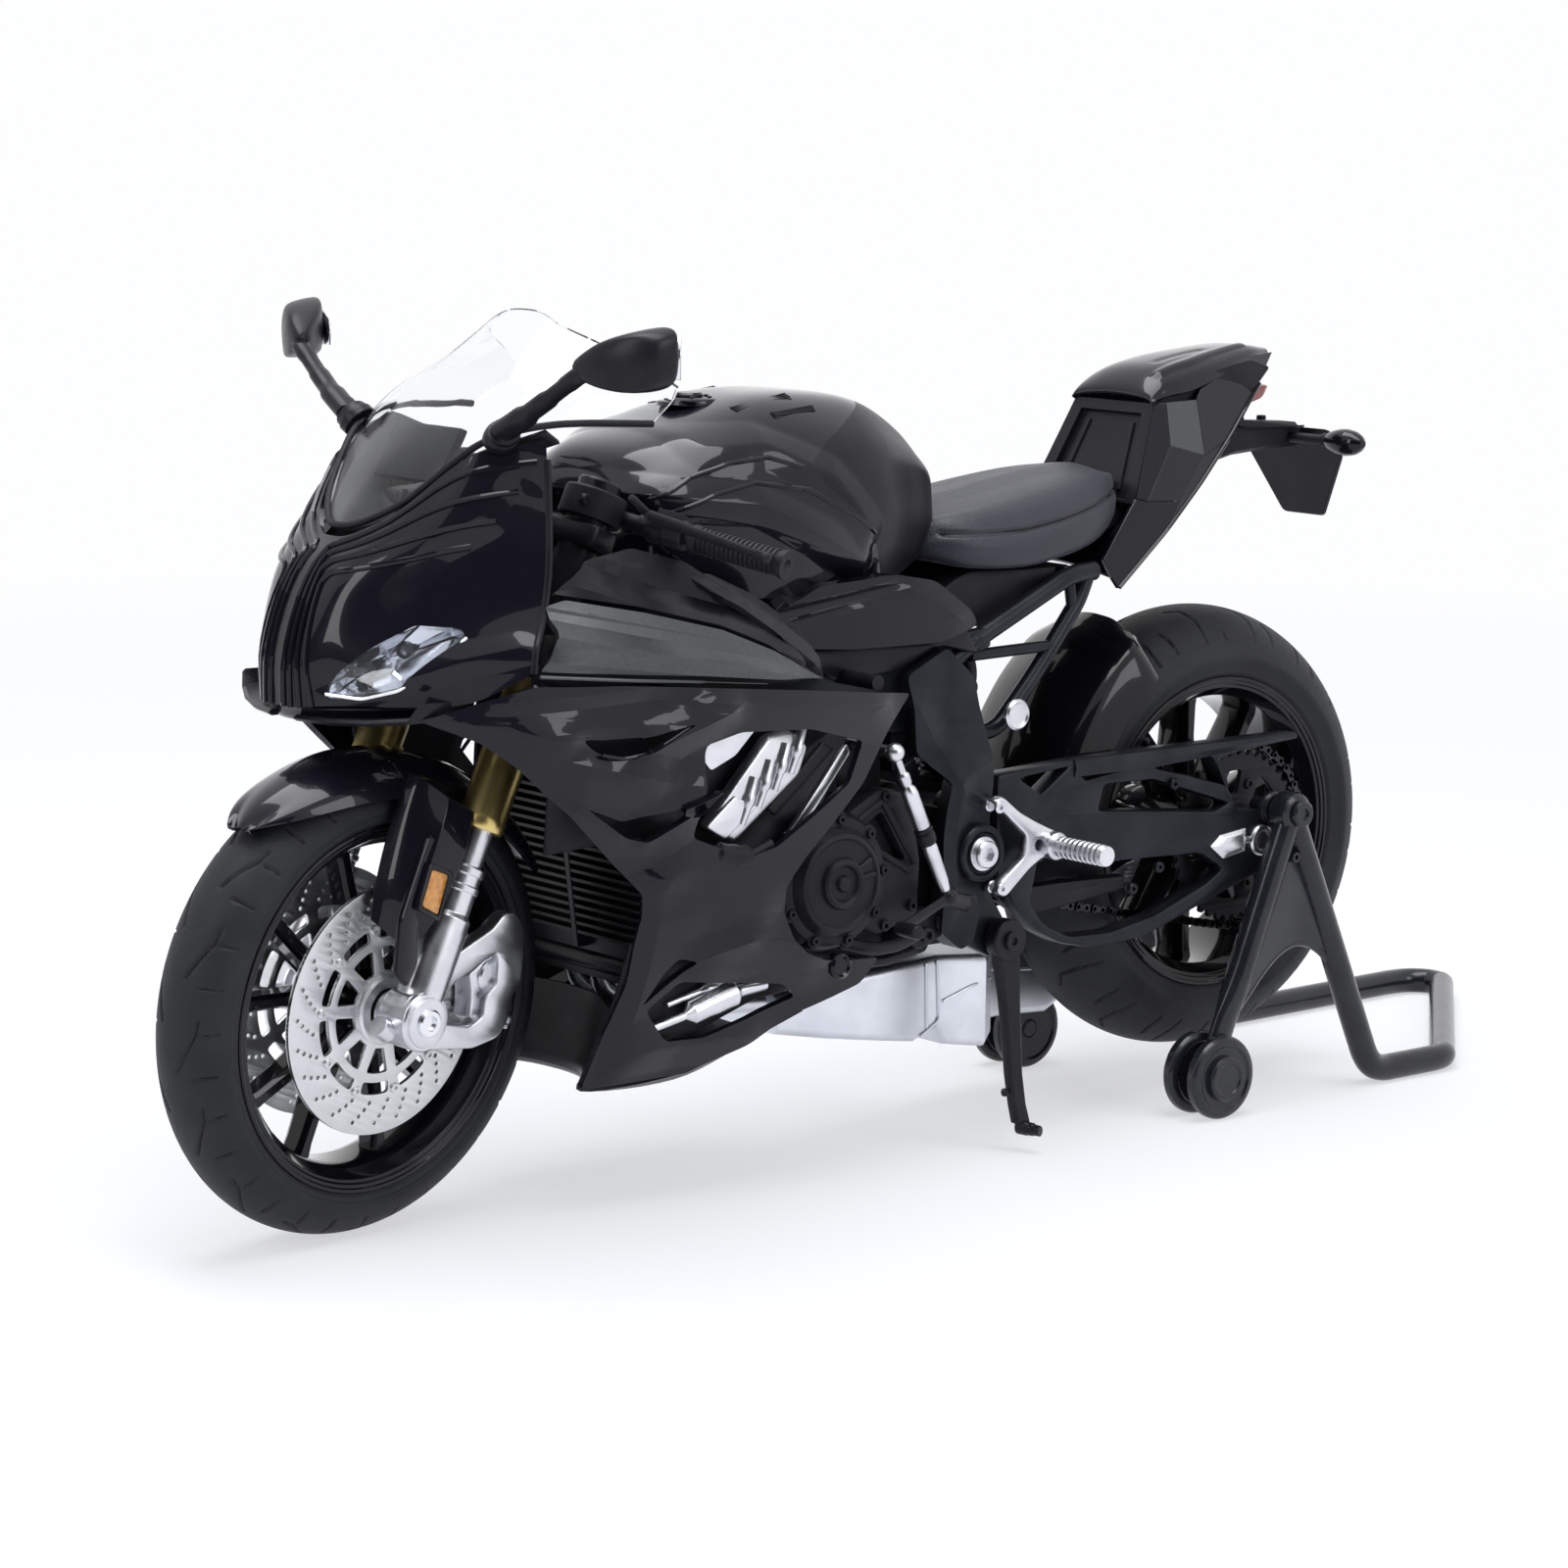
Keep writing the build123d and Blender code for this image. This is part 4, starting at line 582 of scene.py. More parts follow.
# %% Camera, floor and lamps
scene = bpy.context.scene
scene.view_settings.view_transform = "Standard"
camera_data = bpy.data.cameras.new("camera")
camera_data.lens = 101.4
camera_data.sensor_width = 36.0
camera = bpy.data.objects.new("camera", camera_data)
scene.collection.objects.link(camera)
azimuth, elevation, roll = math.radians(140.59), math.radians(9.26), math.radians(0.67)
back = Vector((math.sin(azimuth) * math.cos(elevation), -math.cos(azimuth) * math.cos(elevation),
    math.sin(elevation)))
right = (-back).cross(Vector((0, 0, 1))).normalized()
up = right.cross(-back)
right, up = right * math.cos(roll) + up * math.sin(roll), up * math.cos(roll) - right * math.sin(roll)
camera.matrix_world = Matrix.Translation(at((415.04, 502.38, 162.13))) @ Matrix((right, up,
    back)).transposed().to_4x4()
camera_data.clip_start, camera_data.clip_end = 0.05, 20
scene.camera = camera


def room_rays(finish):
    """1 for rays from the camera, off gloss or through glass: they see the white room."""
    source = finish.node("ShaderNodeLightPath").socket.node.outputs
    either = finish.node("ShaderNodeMath", {"operation": "MAXIMUM"},
        [source["Is Camera Ray"], source["Is Glossy Ray"]])
    return finish.node("ShaderNodeMath", {"operation": "MAXIMUM"},
        [either, source["Is Transmission Ray"]])


# The paper is lit near the object, where it keeps the shadow, and plain white farther off.
paper = Finish("floor_paper", Roughness=0.9)
paper.shader.inputs["Base Color"].default_value = (0.86, 0.87, 0.92, 1)
spot = paper.node("ShaderNodeNewGeometry")
distance = paper.node("ShaderNodeVectorMath", {"operation": "LENGTH"}, [spot], 1)
share = room_rays(paper) * (distance.span(0.16, 0.75) * 0.42 + 0.58)
white = paper.tree.nodes.new("ShaderNodeEmission")
white.inputs["Color"].default_value = (0.985, 0.99, 1.0, 1)
mix = paper.tree.nodes.new("ShaderNodeMixShader")
paper.plug(mix.inputs[0], share)
paper.tree.links.new(paper.shader.outputs[0], mix.inputs[1])
paper.tree.links.new(white.outputs[0], mix.inputs[2])
paper.tree.links.new(mix.outputs[0], paper.tree.nodes["Material Output"].inputs[0])
bpy.ops.mesh.primitive_plane_add(size=40, location=(0, 0, 0))
floor = bpy.context.object
floor.name = "floor"
floor.data.materials.append(paper.material)

world = bpy.data.worlds.new("room")
scene.world = world
world.use_nodes = True
tree = world.node_tree
seen = tree.nodes["Background"]
seen.inputs["Color"].default_value = (0.985, 0.99, 1.0, 1)
seen.inputs["Strength"].default_value = 1.0
felt = tree.nodes.new("ShaderNodeBackground")
felt.inputs["Color"].default_value = (0.50, 0.51, 0.56, 1)
felt.inputs["Strength"].default_value = 0.75
pick = tree.nodes.new("ShaderNodeMixShader")
rays = tree.nodes.new("ShaderNodeLightPath")
first = tree.nodes.new("ShaderNodeMath")
second = tree.nodes.new("ShaderNodeMath")
first.operation = second.operation = "MAXIMUM"
tree.links.new(rays.outputs["Is Camera Ray"], first.inputs[0])
tree.links.new(rays.outputs["Is Glossy Ray"], first.inputs[1])
tree.links.new(first.outputs[0], second.inputs[0])
tree.links.new(rays.outputs["Is Transmission Ray"], second.inputs[1])
tree.links.new(second.outputs[0], pick.inputs[0])
tree.links.new(felt.outputs[0], pick.inputs[1])
tree.links.new(seen.outputs[0], pick.inputs[2])
tree.links.new(pick.outputs[0], tree.nodes["World Output"].inputs[0])

# A dark card stands out of view behind the camera, so that gloss paint has black to mirror
# between the lamps.
card_felt = Finish("card_felt", Roughness=1.0)
card_felt.colour((0.004, 0.004, 0.006), (0.010, 0.010, 0.013), card_felt.noise(40))


def card(name, place, target, width, height):
    bpy.ops.mesh.primitive_plane_add(size=1)
    piece = bpy.context.object
    piece.name = name
    piece.location = place
    piece.scale = (width, height, 1)
    piece.rotation_mode = "QUATERNION"
    piece.rotation_quaternion = (Vector(target) - Vector(place)).to_track_quat("-Z", "Y")
    piece.data.materials.append(card_felt.material)
    piece.visible_camera = piece.visible_diffuse = piece.visible_shadow = piece.visible_transmission = False


card("card_behind_camera", (1.5, 1.05, 0.45), (0.0, 0.0, 0.2), 4.0, 2.2)


def lamp(name, place, target, width, height, power, colour=(1, 1, 1)):
    data = bpy.data.lights.new(name, "AREA")
    data.shape = "RECTANGLE"
    data.size, data.size_y = width, height
    data.energy = power
    data.color = colour
    holder = bpy.data.objects.new(name, data)
    scene.collection.objects.link(holder)
    holder.location = place
    holder.rotation_mode = "QUATERNION"
    holder.rotation_quaternion = (Vector(target) - Vector(place)).to_track_quat("-Z", "Y")
    return holder


lamp("top_panel", (0.05, 0.0, 0.95), (0.0, 0.0, 0.05), 1.0, 0.5, 9.0, (0.97, 0.98, 1.0))
lamp("front_panel", (0.95, 0.12, 0.50), (0.05, 0.0, 0.06), 0.22, 0.7, 2.6)
lamp("side_panel", (-0.35, 1.05, 0.62), (0.0, 0.0, 0.06), 0.5, 0.4, 2.6, (0.98, 0.98, 1.0))

# %% [markdown]
# Tyres. A tyre is a surface of revolution, but its tread is not. The grooves could be cut with
# booleans, which are slow and leave poor faces. Instead the tread band is a fine grid around the
# wheel, and each grid point sinks where it lies close to a groove, so the grooves are real.

# %% Tyres with moulded tread
import numpy as np


def groove_depth(along, across, grooves, pitch, width, depth):
    """How far each grid point sinks: grooves are short lines, repeated round the wheel."""
    sink = np.zeros_like(along)
    for (s0, w0), (s1, w1) in grooves:
        for side, offset in ((1, 0.0), (-1, 0.5)):
            s = (along + pitch * offset - (s0 + s1) / 2 + pitch / 2) % pitch - pitch / 2 + (s0 + s1) / 2
            w = across * side
            ds, dw = s1 - s0, w1 - w0
            t = np.clip(((s - s0) * ds + (w - w0) * dw) / (ds * ds + dw * dw), 0, 1)
            gap = np.hypot(s - s0 - t * ds, w - w0 - t * dw)
            sink = np.maximum(sink, depth * np.clip((width - gap) / 0.16, 0, 1))
    return sink


def tyre_part(radius, half, rim, bead, grooves, pitches, width=0.26, depth=0.42):
    shoulder = rim + (radius - rim) * 0.3
    drop = radius - shoulder
    bend = (half * half + drop * drop) / (2 * drop)
    reach = math.asin(half / bend) * bend
    columns = int(2 * reach / 0.27)
    steps = int(2 * math.pi * radius / 0.3)
    across = np.linspace(-reach, reach, columns)
    turn = np.linspace(0, 2 * math.pi, steps, endpoint=False)
    along_grid, across_grid = np.meshgrid(turn * radius, across, indexing="ij")
    pitch = 2 * math.pi * radius / pitches
    sink = groove_depth(along_grid, across_grid, grooves, pitch, width, depth)
    bulge = np.cos(across_grid / bend)
    r = radius - bend * (1 - bulge) - sink
    y = bend * np.sin(across_grid / bend)
    wall = [(shoulder - 0.2, half + 0.02), (shoulder - 0.9, half - 0.12), (rim + 1.3, bead + 0.95),
        (rim + 1.0, bead + 1.05),
            (rim + 0.55, bead + 0.95), (rim + 0.35, bead + 0.7), (rim - 0.2, bead + 0.3), (rim - 1.0,
                bead - 0.3)]
    radii = np.concatenate([np.repeat([[p[0] for p in reversed(wall)]], steps, 0), r,
        np.repeat([[p[0] for p in wall]], steps, 0)], 1)
    sides = np.concatenate([np.repeat([[-p[1] for p in reversed(wall)]], steps, 0), y,
        np.repeat([[p[1] for p in wall]], steps, 0)], 1)
    count = radii.shape[1]
    x = radii * np.cos(turn)[:, None]
    z = radii * np.sin(turn)[:, None]
    points = [Vector(p) for p in np.stack([x, sides, z], -1).reshape(-1, 3)]
    faces = [(k * count + j, k * count + j + 1, (k + 1) % steps * count + j + 1,
        (k + 1) % steps * count + j)
             for k in range(steps) for j in range(count - 1)]
    return points, faces


front_grooves = [((0.0, 4.1), (-2.4, 2.9)), ((-2.4, 2.9), (-5.4, 1.5)), ((0.0, 4.1), (2.3, 4.3)),
    ((0.1, 5.0), (0.5, 7.3)),
                 ((-6.3, 3.9), (-6.1, 6.9))]
rear_grooves = [((0.0, 2.2), (2.2, 3.2)), ((2.2, 3.2), (2.9, 6.5)), ((2.9, 6.5), (2.2, 10.6)),
    ((-5.6, 5.6), (-5.0, 7.6)),
                ((-5.0, 7.6), (-5.2, 10.4))]
build("front_tyre_shown", [tyre_part(FRONT_RADIUS, 6.65, 26.2, 5.5, front_grooves, 16)], tyre_rubber,
    "front_wheel",
      "front_tyre", FRONT, angle=60)
build("rear_tyre_shown", [tyre_part(REAR_RADIUS, 10.55, 24.9, 8.6, rear_grooves, 18, 0.3, 0.5)],
    tyre_rubber, "rear_wheel",
      "rear_tyre", REAR, angle=60)
print("tyres moulded")

# %% [markdown]
# Rims. The barrel is turned, with the thin lips and steps that draw bright rings in gloss paint.
# The spokes are pairs that part towards the rim, each a tapered block with bevelled edges.

# %% Rims and hubs
def rim_profile(flange, bead, floor_radius):
    half = [(flange - 1.7, 0.0), (flange - 1.8, bead), (flange, bead), (flange + 0.12, bead + 0.35),
        (flange - 0.05, bead + 0.7),
            (flange - 0.5, bead + 0.75), (flange - 0.75, bead + 0.45), (flange - 1.15,
                bead + 0.5), (flange - 1.4, bead + 0.15),
            (flange - 1.8, bead + 0.1), (flange - 2.1, bead - 0.4), (floor_radius + 0.7,
                bead - 1.5), (floor_radius + 0.35, bead - 1.9),
            (floor_radius, bead * 0.42), (floor_radius, 0.0)]
    other = [(r, -y) for r, y in reversed(half[1:-1])]
    return half + other + [half[0]]


def spoke(hub, rim, turn_hub, turn_rim, depth_hub, depth_rim, width_hub, width_rim):
    rings = []
    for t in (0.0, 0.25, 0.6, 0.88, 1.0):
        r = hub + (rim - hub) * t
        a = turn_hub + (turn_rim - turn_hub) * (t ** 0.8)
        w = width_hub + (width_rim - width_hub) * t + 1.6 * max(0, t - 0.85) * 4
        d = depth_hub + (depth_rim - depth_hub) * math.sin(t * math.pi / 2)
        out = Vector((math.cos(a), 0, math.sin(a)))
        side = Vector((-math.sin(a), 0, math.cos(a)))
        rings.append([out * r + side * s * w / 2 + Vector((0, y * d, 0)) for s, y in
                      ((-1, -0.6), (-0.55, -1), (0.55, -1), (1, -0.6), (1, 0.6), (0.55, 1), (-0.55, 1),
                          (-1, 0.6))])
    return loft(rings)


def rim_parts(flange, bead, floor_radius, hub, hub_half, depth_hub, depth_rim, width):
    parts = [turned_part(rim_profile(flange, bead, floor_radius), 144)]
    for k in range(5):
        middle_turn = 2 * math.pi * k / 5
        for side in (-1, 1):
            parts.append(spoke(hub - 0.8, floor_radius + 0.3, middle_turn + side * 0.17,
                middle_turn + side * 0.30, depth_hub,
                               depth_rim, width, width * 0.8))
    hub_profile = [(1.7, -hub_half), (hub - 1.2, -hub_half), (hub - 0.8, -hub_half + 0.4),
        (hub, -depth_hub), (hub, depth_hub),
                   (hub - 0.8, hub_half - 0.4), (hub - 1.2, hub_half), (1.7, hub_half), (1.7, -hub_half)]
    parts.append(turned_part(hub_profile, 64))
    return parts


build("front_rim_shown", rim_parts(26.2, 5.5, 22.6, 5.0, 5.8, 2.7, 2.0, 2.5), rim_black, "front_wheel",
      "front_rim", FRONT, bevel=0.12, angle=28)
build("rear_rim_shown", rim_parts(24.9, 8.6, 21.3, 5.8, 11.3, 4.2, 3.2, 2.9), rim_black, "rear_wheel",
      "rear_rim", REAR, bevel=0.12, angle=28)
print("rims turned")

# %% [markdown]
# Brake discs. A disc is one flat outline with many holes, so the plate maker does it in one go:
# drilled dots in slanted rows on the friction ring, slots inside it, and D windows round the hub.

# %% Brake discs and sprocket
def window(r0, r1, a0, a1, steps=5, pinch=0.0):
    """Rounded hole between two radii and two angles, narrower inside by pinch."""
    outer = [(r1 * math.cos(a0 + (a1 - a0) * k / steps),
        r1 * math.sin(a0 + (a1 - a0) * k / steps)) for k in range(steps + 1)]
    b0, b1 = a0 + pinch, a1 - pinch
    inner = [(r0 * math.cos(b1 + (b0 - b1) * k / steps),
        r0 * math.sin(b1 + (b0 - b1) * k / steps)) for k in range(steps + 1)]
    return soften(outer + inner, 0.5, 2)


def disc_parts(radius, y0, y1, dots, windows, inner):
    holes = [circle(0, 0, inner, 32)]
    for k in range(windows):
        a = 2 * math.pi * k / windows
        step = math.pi / windows
        holes.append(window(radius * 0.585, radius * 0.68, a - step * 0.72, a + step * 0.72))
        holes.append(window(radius * 0.31, radius * 0.51, a - step * 0.70, a + step * 0.70,
            pinch=step * 0.25))
    for k in range(dots):
        a = 2 * math.pi * k / dots
        for j, share in enumerate((0.745, 0.80, 0.855, 0.91)):
            turn = a + 0.055 * j
            holes.append(circle(radius * share * math.cos(turn), radius * share * math.sin(turn),
                radius * 0.0175, 8))
    return [plate(circle(0, 0, radius, 120), y0, y1, holes, 0.08)]


front_disc = disc_parts(17.8, 5.95, 6.6, 24, 10, 3.4)
for k in range(10):
    a = 2 * math.pi * (k + 0.5) / 10
    front_disc.append(bolt(11.9 * math.cos(a), 6.5, 11.9 * math.sin(a), 0.75, 0.45, 1, 0.5))
front_disc.append(turned_part([(3.2, 5.9), (4.9, 5.9), (5.0, 6.9), (4.6, 7.2), (3.2, 7.2), (3.2, 5.9)],
    48))
build("front_discs_shown", both_sides(front_disc), disc_steel, "front_wheel", "front_discs",
    FRONT, angle=30)

rear_disc = disc_parts(12.2, -12.1, -11.45, 16, 8, 3.4)
build("rear_disc_shown", rear_disc, steel, "rear_wheel", "rear_disc", REAR, angle=30)

teeth = 42
gear = []
for k in range(teeth * 4):
    r = 13.75 if k % 4 in (0, 1) else 12.9
    a = 2 * math.pi * k / (teeth * 4)
    gear.append((r * math.cos(a), r * math.sin(a)))
gear_holes = [circle(0, 0, 1.7, 24)]
for k in range(5):
    a = 2 * math.pi * k / 5
    gear_holes.append(window(6.6, 10.4, a - 0.42, a + 0.42, 6, 0.08))
sprocket = [plate(gear, 12.15, 13.05, gear_holes, 0.1), turned_part([(1.7, 11.4), (5.6, 11.4),
    (5.6, 13.3), (4.6, 13.6), (1.7, 13.6), (1.7, 11.4)], 40)]
for k in range(5):
    a = 2 * math.pi * (k + 0.5) / 5
    sprocket.append(bolt(8.4 * math.cos(a), 13.0, 8.4 * math.sin(a), 0.9, 0.5))
build("rear_sprocket_shown", sprocket, engine_black, "rear_wheel", "rear_sprocket", REAR,
    bevel=0.06)
print("discs drilled, sprocket cut")

# %% [markdown]
# Fork legs. Each leg is a stepped turned part, bright where the paint is thick, ending in a stout
# clamp around the axle. The radial caliper hangs behind it on an open bracket, so that the brake
# is a frame one can look through rather than a block.

# %% Fork legs, clamps and calipers
def upright(profile, count=40, centre=(0, 0, 0)):
    """Turned part whose axis is Z, from (radius, height) pairs."""
    points, faces = turned_part(profile, count)
    return moved((points, faces), Matrix.Translation(centre) @ Matrix.Rotation(math.pi / 2, 4, "X"))


leg_profile = [(0, -0.5), (2.9, -0.5), (3.35, 0.4), (3.35, 12.6), (3.2, 13.2), (3.2, 14.8), (2.75, 15.5),
    (2.75, 18.6), (2.95, 18.7),
               (2.95, 19.5), (2.7, 19.6), (2.7, 21.0), (2.95, 21.1), (2.95, 22.1), (2.2, 22.3), (2.2,
                   43.8), (0, 43.8)]
clamp_profile = [(0, 7.6), (3.0, 7.6), (3.0, 9.2), (4.1, 9.3), (4.25, 9.6), (4.25, 14.6), (3.95, 15.0),
    (3.6, 15.0), (3.55, 15.3),
                 (3.3, 15.4), (1.9, 15.4), (1.8, 15.2)]
leg = [upright(leg_profile, centre=(0, FORK_TRACK, 0)), turned_part(clamp_profile + [(0, 15.2)], 56)]
leg.append(plate(soften([(-1.8, -3.6), (2.6, -3.2), (4.4, 0.0), (3.6, 3.0), (-1.4, 4.0)], 1.2), 9.8,
    14.0))
leg.append(tube([(3.2, 11.8, -3.0), (5.6, 11.8, -2.6)], 1.5, 0))
bracket_outline = [(2.6, -3.2), (-3.0, -3.9), (-13.4, -1.0), (-17.4, 1.6), (-18.6, 4.4), (-17.2, 7.0),
    (-18.3, 10.0), (-17.0, 14.0),
                   (-15.0, 17.6), (-12.6, 19.0), (-10.4, 18.2), (-9.2, 15.6), (-2.9, 9.4), (2.4, 6.0)]
bracket_window = [(-4.6, 0.6), (-11.4, 1.8), (-13.2, 3.8), (-12.4, 6.4), (-13.6, 8.8), (-12.6, 11.6),
    (-11.6, 12.6), (-5.4, 6.4)]
leg.append(plate(soften(bracket_outline, 0.8, 3), 9.7, 12.4, [soften(bracket_window, 0.7, 3)], 0.45))
build("fork_sliders_shown", both_sides(leg), silver, "fork_lower", ("fork_sliders",), FRONT,
    bevel=0.1, angle=26)


def arc(radius, a0, a1, steps=10):
    return [(radius * math.cos(math.radians(a0 + (a1 - a0) * k / steps)),
        radius * math.sin(math.radians(a0 + (a1 - a0) * k / steps)))
            for k in range(steps + 1)]


caliper = [plate(soften(arc(21.4, 134, 171) + arc(12.8, 168, 138, 6), 1.2, 3), 7.1, 10.6, edge=0.5),
           plate(soften(arc(21.4, 136, 169) + arc(13.4, 166, 140, 6), 1.2, 3), 2.9, 5.4, edge=0.5),
           plate(soften(arc(21.2, 138, 146) + arc(18.5, 146, 138, 3), 0.5, 2), 3.2, 10.2, edge=0.4),
           plate(soften(arc(21.2, 159, 167) + arc(18.5, 167, 159, 3), 0.5, 2), 3.2, 10.2, edge=0.4)]
for turn in (145, 160):
    x, z = 16.4 * math.cos(math.radians(turn)), 16.4 * math.sin(math.radians(turn))
    caliper.append(turned_part([(0, 10.4), (2.3, 10.4), (2.3, 10.9), (2.0, 11.2), (1.2, 11.3), (0, 11.3)],
        28, (x, 0, z)))
    caliper.append(bolt(20.2 * math.cos(math.radians(turn + 7)), 10.5,
        20.2 * math.sin(math.radians(turn + 7)), 0.8, 0.6))
build("front_calipers_shown", both_sides(caliper), silver, "fork_lower", "front_calipers",
    FRONT, bevel=0.1, angle=26)

axle_end = [turned_part([(0, 15.2), (2.0, 15.2), (2.0, 15.7), (1.75, 15.9), (1.1, 15.9), (1.0, 15.4),
    (0, 15.4)], 24)]
axle_end.append(turned_part([(0, 6.9), (2.8, 6.9), (2.8, 9.1), (0, 9.1)], 32))
build("front_axle_ends", both_sides(axle_end) + [rod((0, -8, 0), (0, 8, 0), 1.5)], polished, "fork_lower",
    "front_axle", FRONT)

tube_profile = [(2.3, 27.5), (3.3, 27.5), (3.45, 27.8), (3.45, 29.4), (3.35, 29.6), (3.35, 49.4),
    (0, 49.4)]
build("fork_tubes_shown", both_sides([upright(tube_profile, 48, (0, FORK_TRACK, 0))]), gold, "steering",
    "fork_tubes",
      FRONT, bevel=0.08)
top_profile = [(0, 49.2), (3.1, 49.2), (3.1, 78.6), (2.8, 78.95), (1.5, 78.95), (1.4, 78.2), (0, 78.2)]
build("fork_tops_shown", both_sides([upright(top_profile, 40, (0, FORK_TRACK, 0))]), satin_black,
    "steering", (), FRONT, bevel=0.08)
print("fork legs and calipers done")

# %% [markdown]
# Front fender. A thin shell that follows the tyre, with a ridge along the middle, a crease on
# each shoulder and a pointed tip, and two guards that run down in front of the fork legs. Each
# guard carries an amber reflector in a narrow frame.

# %% Front fender, leg guards and reflectors
def grid_faces(count, width):
    """Four-cornered faces over a grid of points: count rows, width points in each."""
    return [(i * width + j, i * width + j + 1, (i + 1) * width + j + 1, (i + 1) * width + j)
            for i in range(count - 1) for j in range(width - 1)]


def shell(rows, finish, name, body, replaces=(), place=None, thickness=0.9, levels=2,
    creases=(), inward=(0, 0, 0),
          both=False, bevel=0.12, angle=30):
    """Panel drawn as rows of points, subdivided, with a thickness on its inner side."""
    width = len(rows[0])
    points = [Vector(p) for row in rows for p in row]
    faces = grid_faces(len(rows), width)
    chains = [[k * width + j for k in range(len(rows))] for j in creases]
    made = [build(name, [(points, faces)], finish, body, replaces, place, bevel, levels,
        chains, thickness, angle, inward)]
    if both:
        twin = [MIRROR @ p for p in points]
        made.append(build(name + "_right", [(twin, faces)], finish, body, (), place, bevel,
            levels, chains, thickness,
                          angle, (inward[0], -inward[1], inward[2])))
    return made


def around(degrees, r, y):
    return (r * math.cos(math.radians(degrees)), y, r * math.sin(math.radians(degrees)))


fender_stations = [
    # turn, ridge radius, shoulder (r, y), hem (r, y)
    (27, 36.2, 35.6, 1.2, 35.2, 2.2), (31, 36.6, 35.9, 2.6, 34.4, 4.6), (38, 37.0, 36.2, 4.0, 33.0,
        6.9), (52, 37.3, 36.3, 4.8, 31.4, 8.3),
    (70, 37.4, 36.3, 5.0, 30.6, 8.9), (90, 37.3, 36.2, 5.0, 30.4, 9.0), (110, 37.0, 35.9, 4.8, 30.6,
        8.7), (122, 36.8, 35.7, 4.4, 31.4, 8.0),
    (128, 36.6, 35.5, 3.8, 33.0, 6.4),
]
fender_drop = 0.9           # room under the nose when the fork is pushed in
rows = []
for turn, ridge, sr, sy, hr, hy in fender_stations:
    ridge, sr = ridge - fender_drop, sr - fender_drop
    half = [around(turn, ridge, 0), around(turn, ridge - 0.15, sy * 0.45), around(turn, sr, sy),
            around(turn, (sr + hr) / 2 + 0.5, (sy + hy) / 2 + 0.7), around(turn, hr, hy)]
    rows.append([(x, -y, z) for x, y, z in reversed(half[1:])] + half)
shell(rows, body_black, "front_fender_shown", "fork_lower", "front_fender", FRONT, 0.7, 2,
    (2, 6), (0, 0, 30))

guard_rows = [
    [(11.4, 7.4, 31.4), (11.2, 9.2, 31.0), (8.2, 12.4, 29.6), (3.4, 12.6, 29.2)],
    [(12.2, 7.8, 26.0), (11.6, 10.0, 25.6), (8.8, 13.8, 24.6), (3.6, 14.2, 23.6)],
    [(11.9, 8.0, 20.4), (11.2, 10.4, 20.2), (9.0, 14.0, 19.6), (4.2, 14.4, 19.0)],
    [(11.0, 8.0, 15.0), (10.2, 10.2, 14.4), (8.0, 13.6, 13.0), (4.6, 13.9, 12.4)],
    [(9.6, 8.0, 10.8), (8.8, 9.6, 10.2), (7.2, 11.6, 9.2), (5.4, 11.8, 8.8)],
]
shell(guard_rows, body_black, "leg_guard", "fork_lower", (), FRONT, 0.7, 2, (1, 2),
    (4, 6, 20), True)
skirt = plate(soften([(11.2, 31.0), (-7.4, 33.0), (-6.0, 27.0), (-3.6, 22.6), (3.6, 22.0), (4.4, 18.0),
    (7.6, 10.6), (11.0, 16.0)], 1.2, 3),
              8.2, 8.9, edge=0.2)
stay = plate(soften([(10.6, 24.0), (10.2, 12.0), (7.4, 4.6), (4.6, 3.4), (4.2, 7.0), (6.6, 12.0),
    (5.4, 24.0)], 0.8, 3), 12.6, 13.9, edge=0.4)
reflector_frame = plate(soften([(4.2, 13.4), (9.0, 13.8), (9.6, 20.4), (4.9, 20.5)], 0.5, 2), 13.9, 15.0,
                        [soften([(4.8, 14.1), (8.5, 14.4), (9.0, 19.8), (5.5, 19.9)], 0.4, 2)], 0.15)
build("fender_sides", both_sides([skirt, stay, reflector_frame]), body_black, "fork_lower",
    (), FRONT)
amber_lens = plate(soften([(4.9, 14.2), (8.4, 14.5), (8.9, 19.7), (5.6, 19.8)], 0.4, 2), 14.2, 14.9,
    edge=0.2)
build("reflector_lens", both_sides([amber_lens]), amber, "fork_lower", "fork_reflectors",
    FRONT)
print("front end dressed")

# %% [markdown]
# Body covers. The real covers are thin moulded sheets with sharp folds. Each one could be a
# subdivided cage, but the outline and the folds rarely share edges. It is simpler to fill the
# outline, slice the sheet along a fine grid and along every fold, then push the points out to
# the body surface. A fold is a ridge or a groove that fades at its ends.

# %% Sheet maker
side_x = [88, 76, 66, 50, 36, 22, 8, -8]
side_z = [16, 28, 38, 48, 58, 66, 74, 82, 92]
side_y = np.array([
    [12, 14, 15.5, 17.0, 18.3, 19.5, 20.5, 20.0], [13, 16, 18.5, 20.5, 22.0, 23.3, 24.0, 22.5],
    [14, 18, 21.5, 24.0, 25.5, 26.3, 26.0, 24.0], [15, 20, 23.5, 26.0, 27.3, 27.5, 26.8, 24.5],
    [16, 22, 26.0, 28.0, 29.0, 28.8, 27.3, 24.8], [16.5, 23.5, 28.0, 30.0, 30.5, 29.6, 27.6, 24.8],
    [17, 24.5, 29.5, 31.0, 31.0, 29.8, 27.4, 24.5], [17, 25, 30.0, 31.0, 30.2, 28.6, 26.2, 23.5],
    [16, 24, 28.0, 28.5, 27.2, 25.5, 23.5, 21.5]])


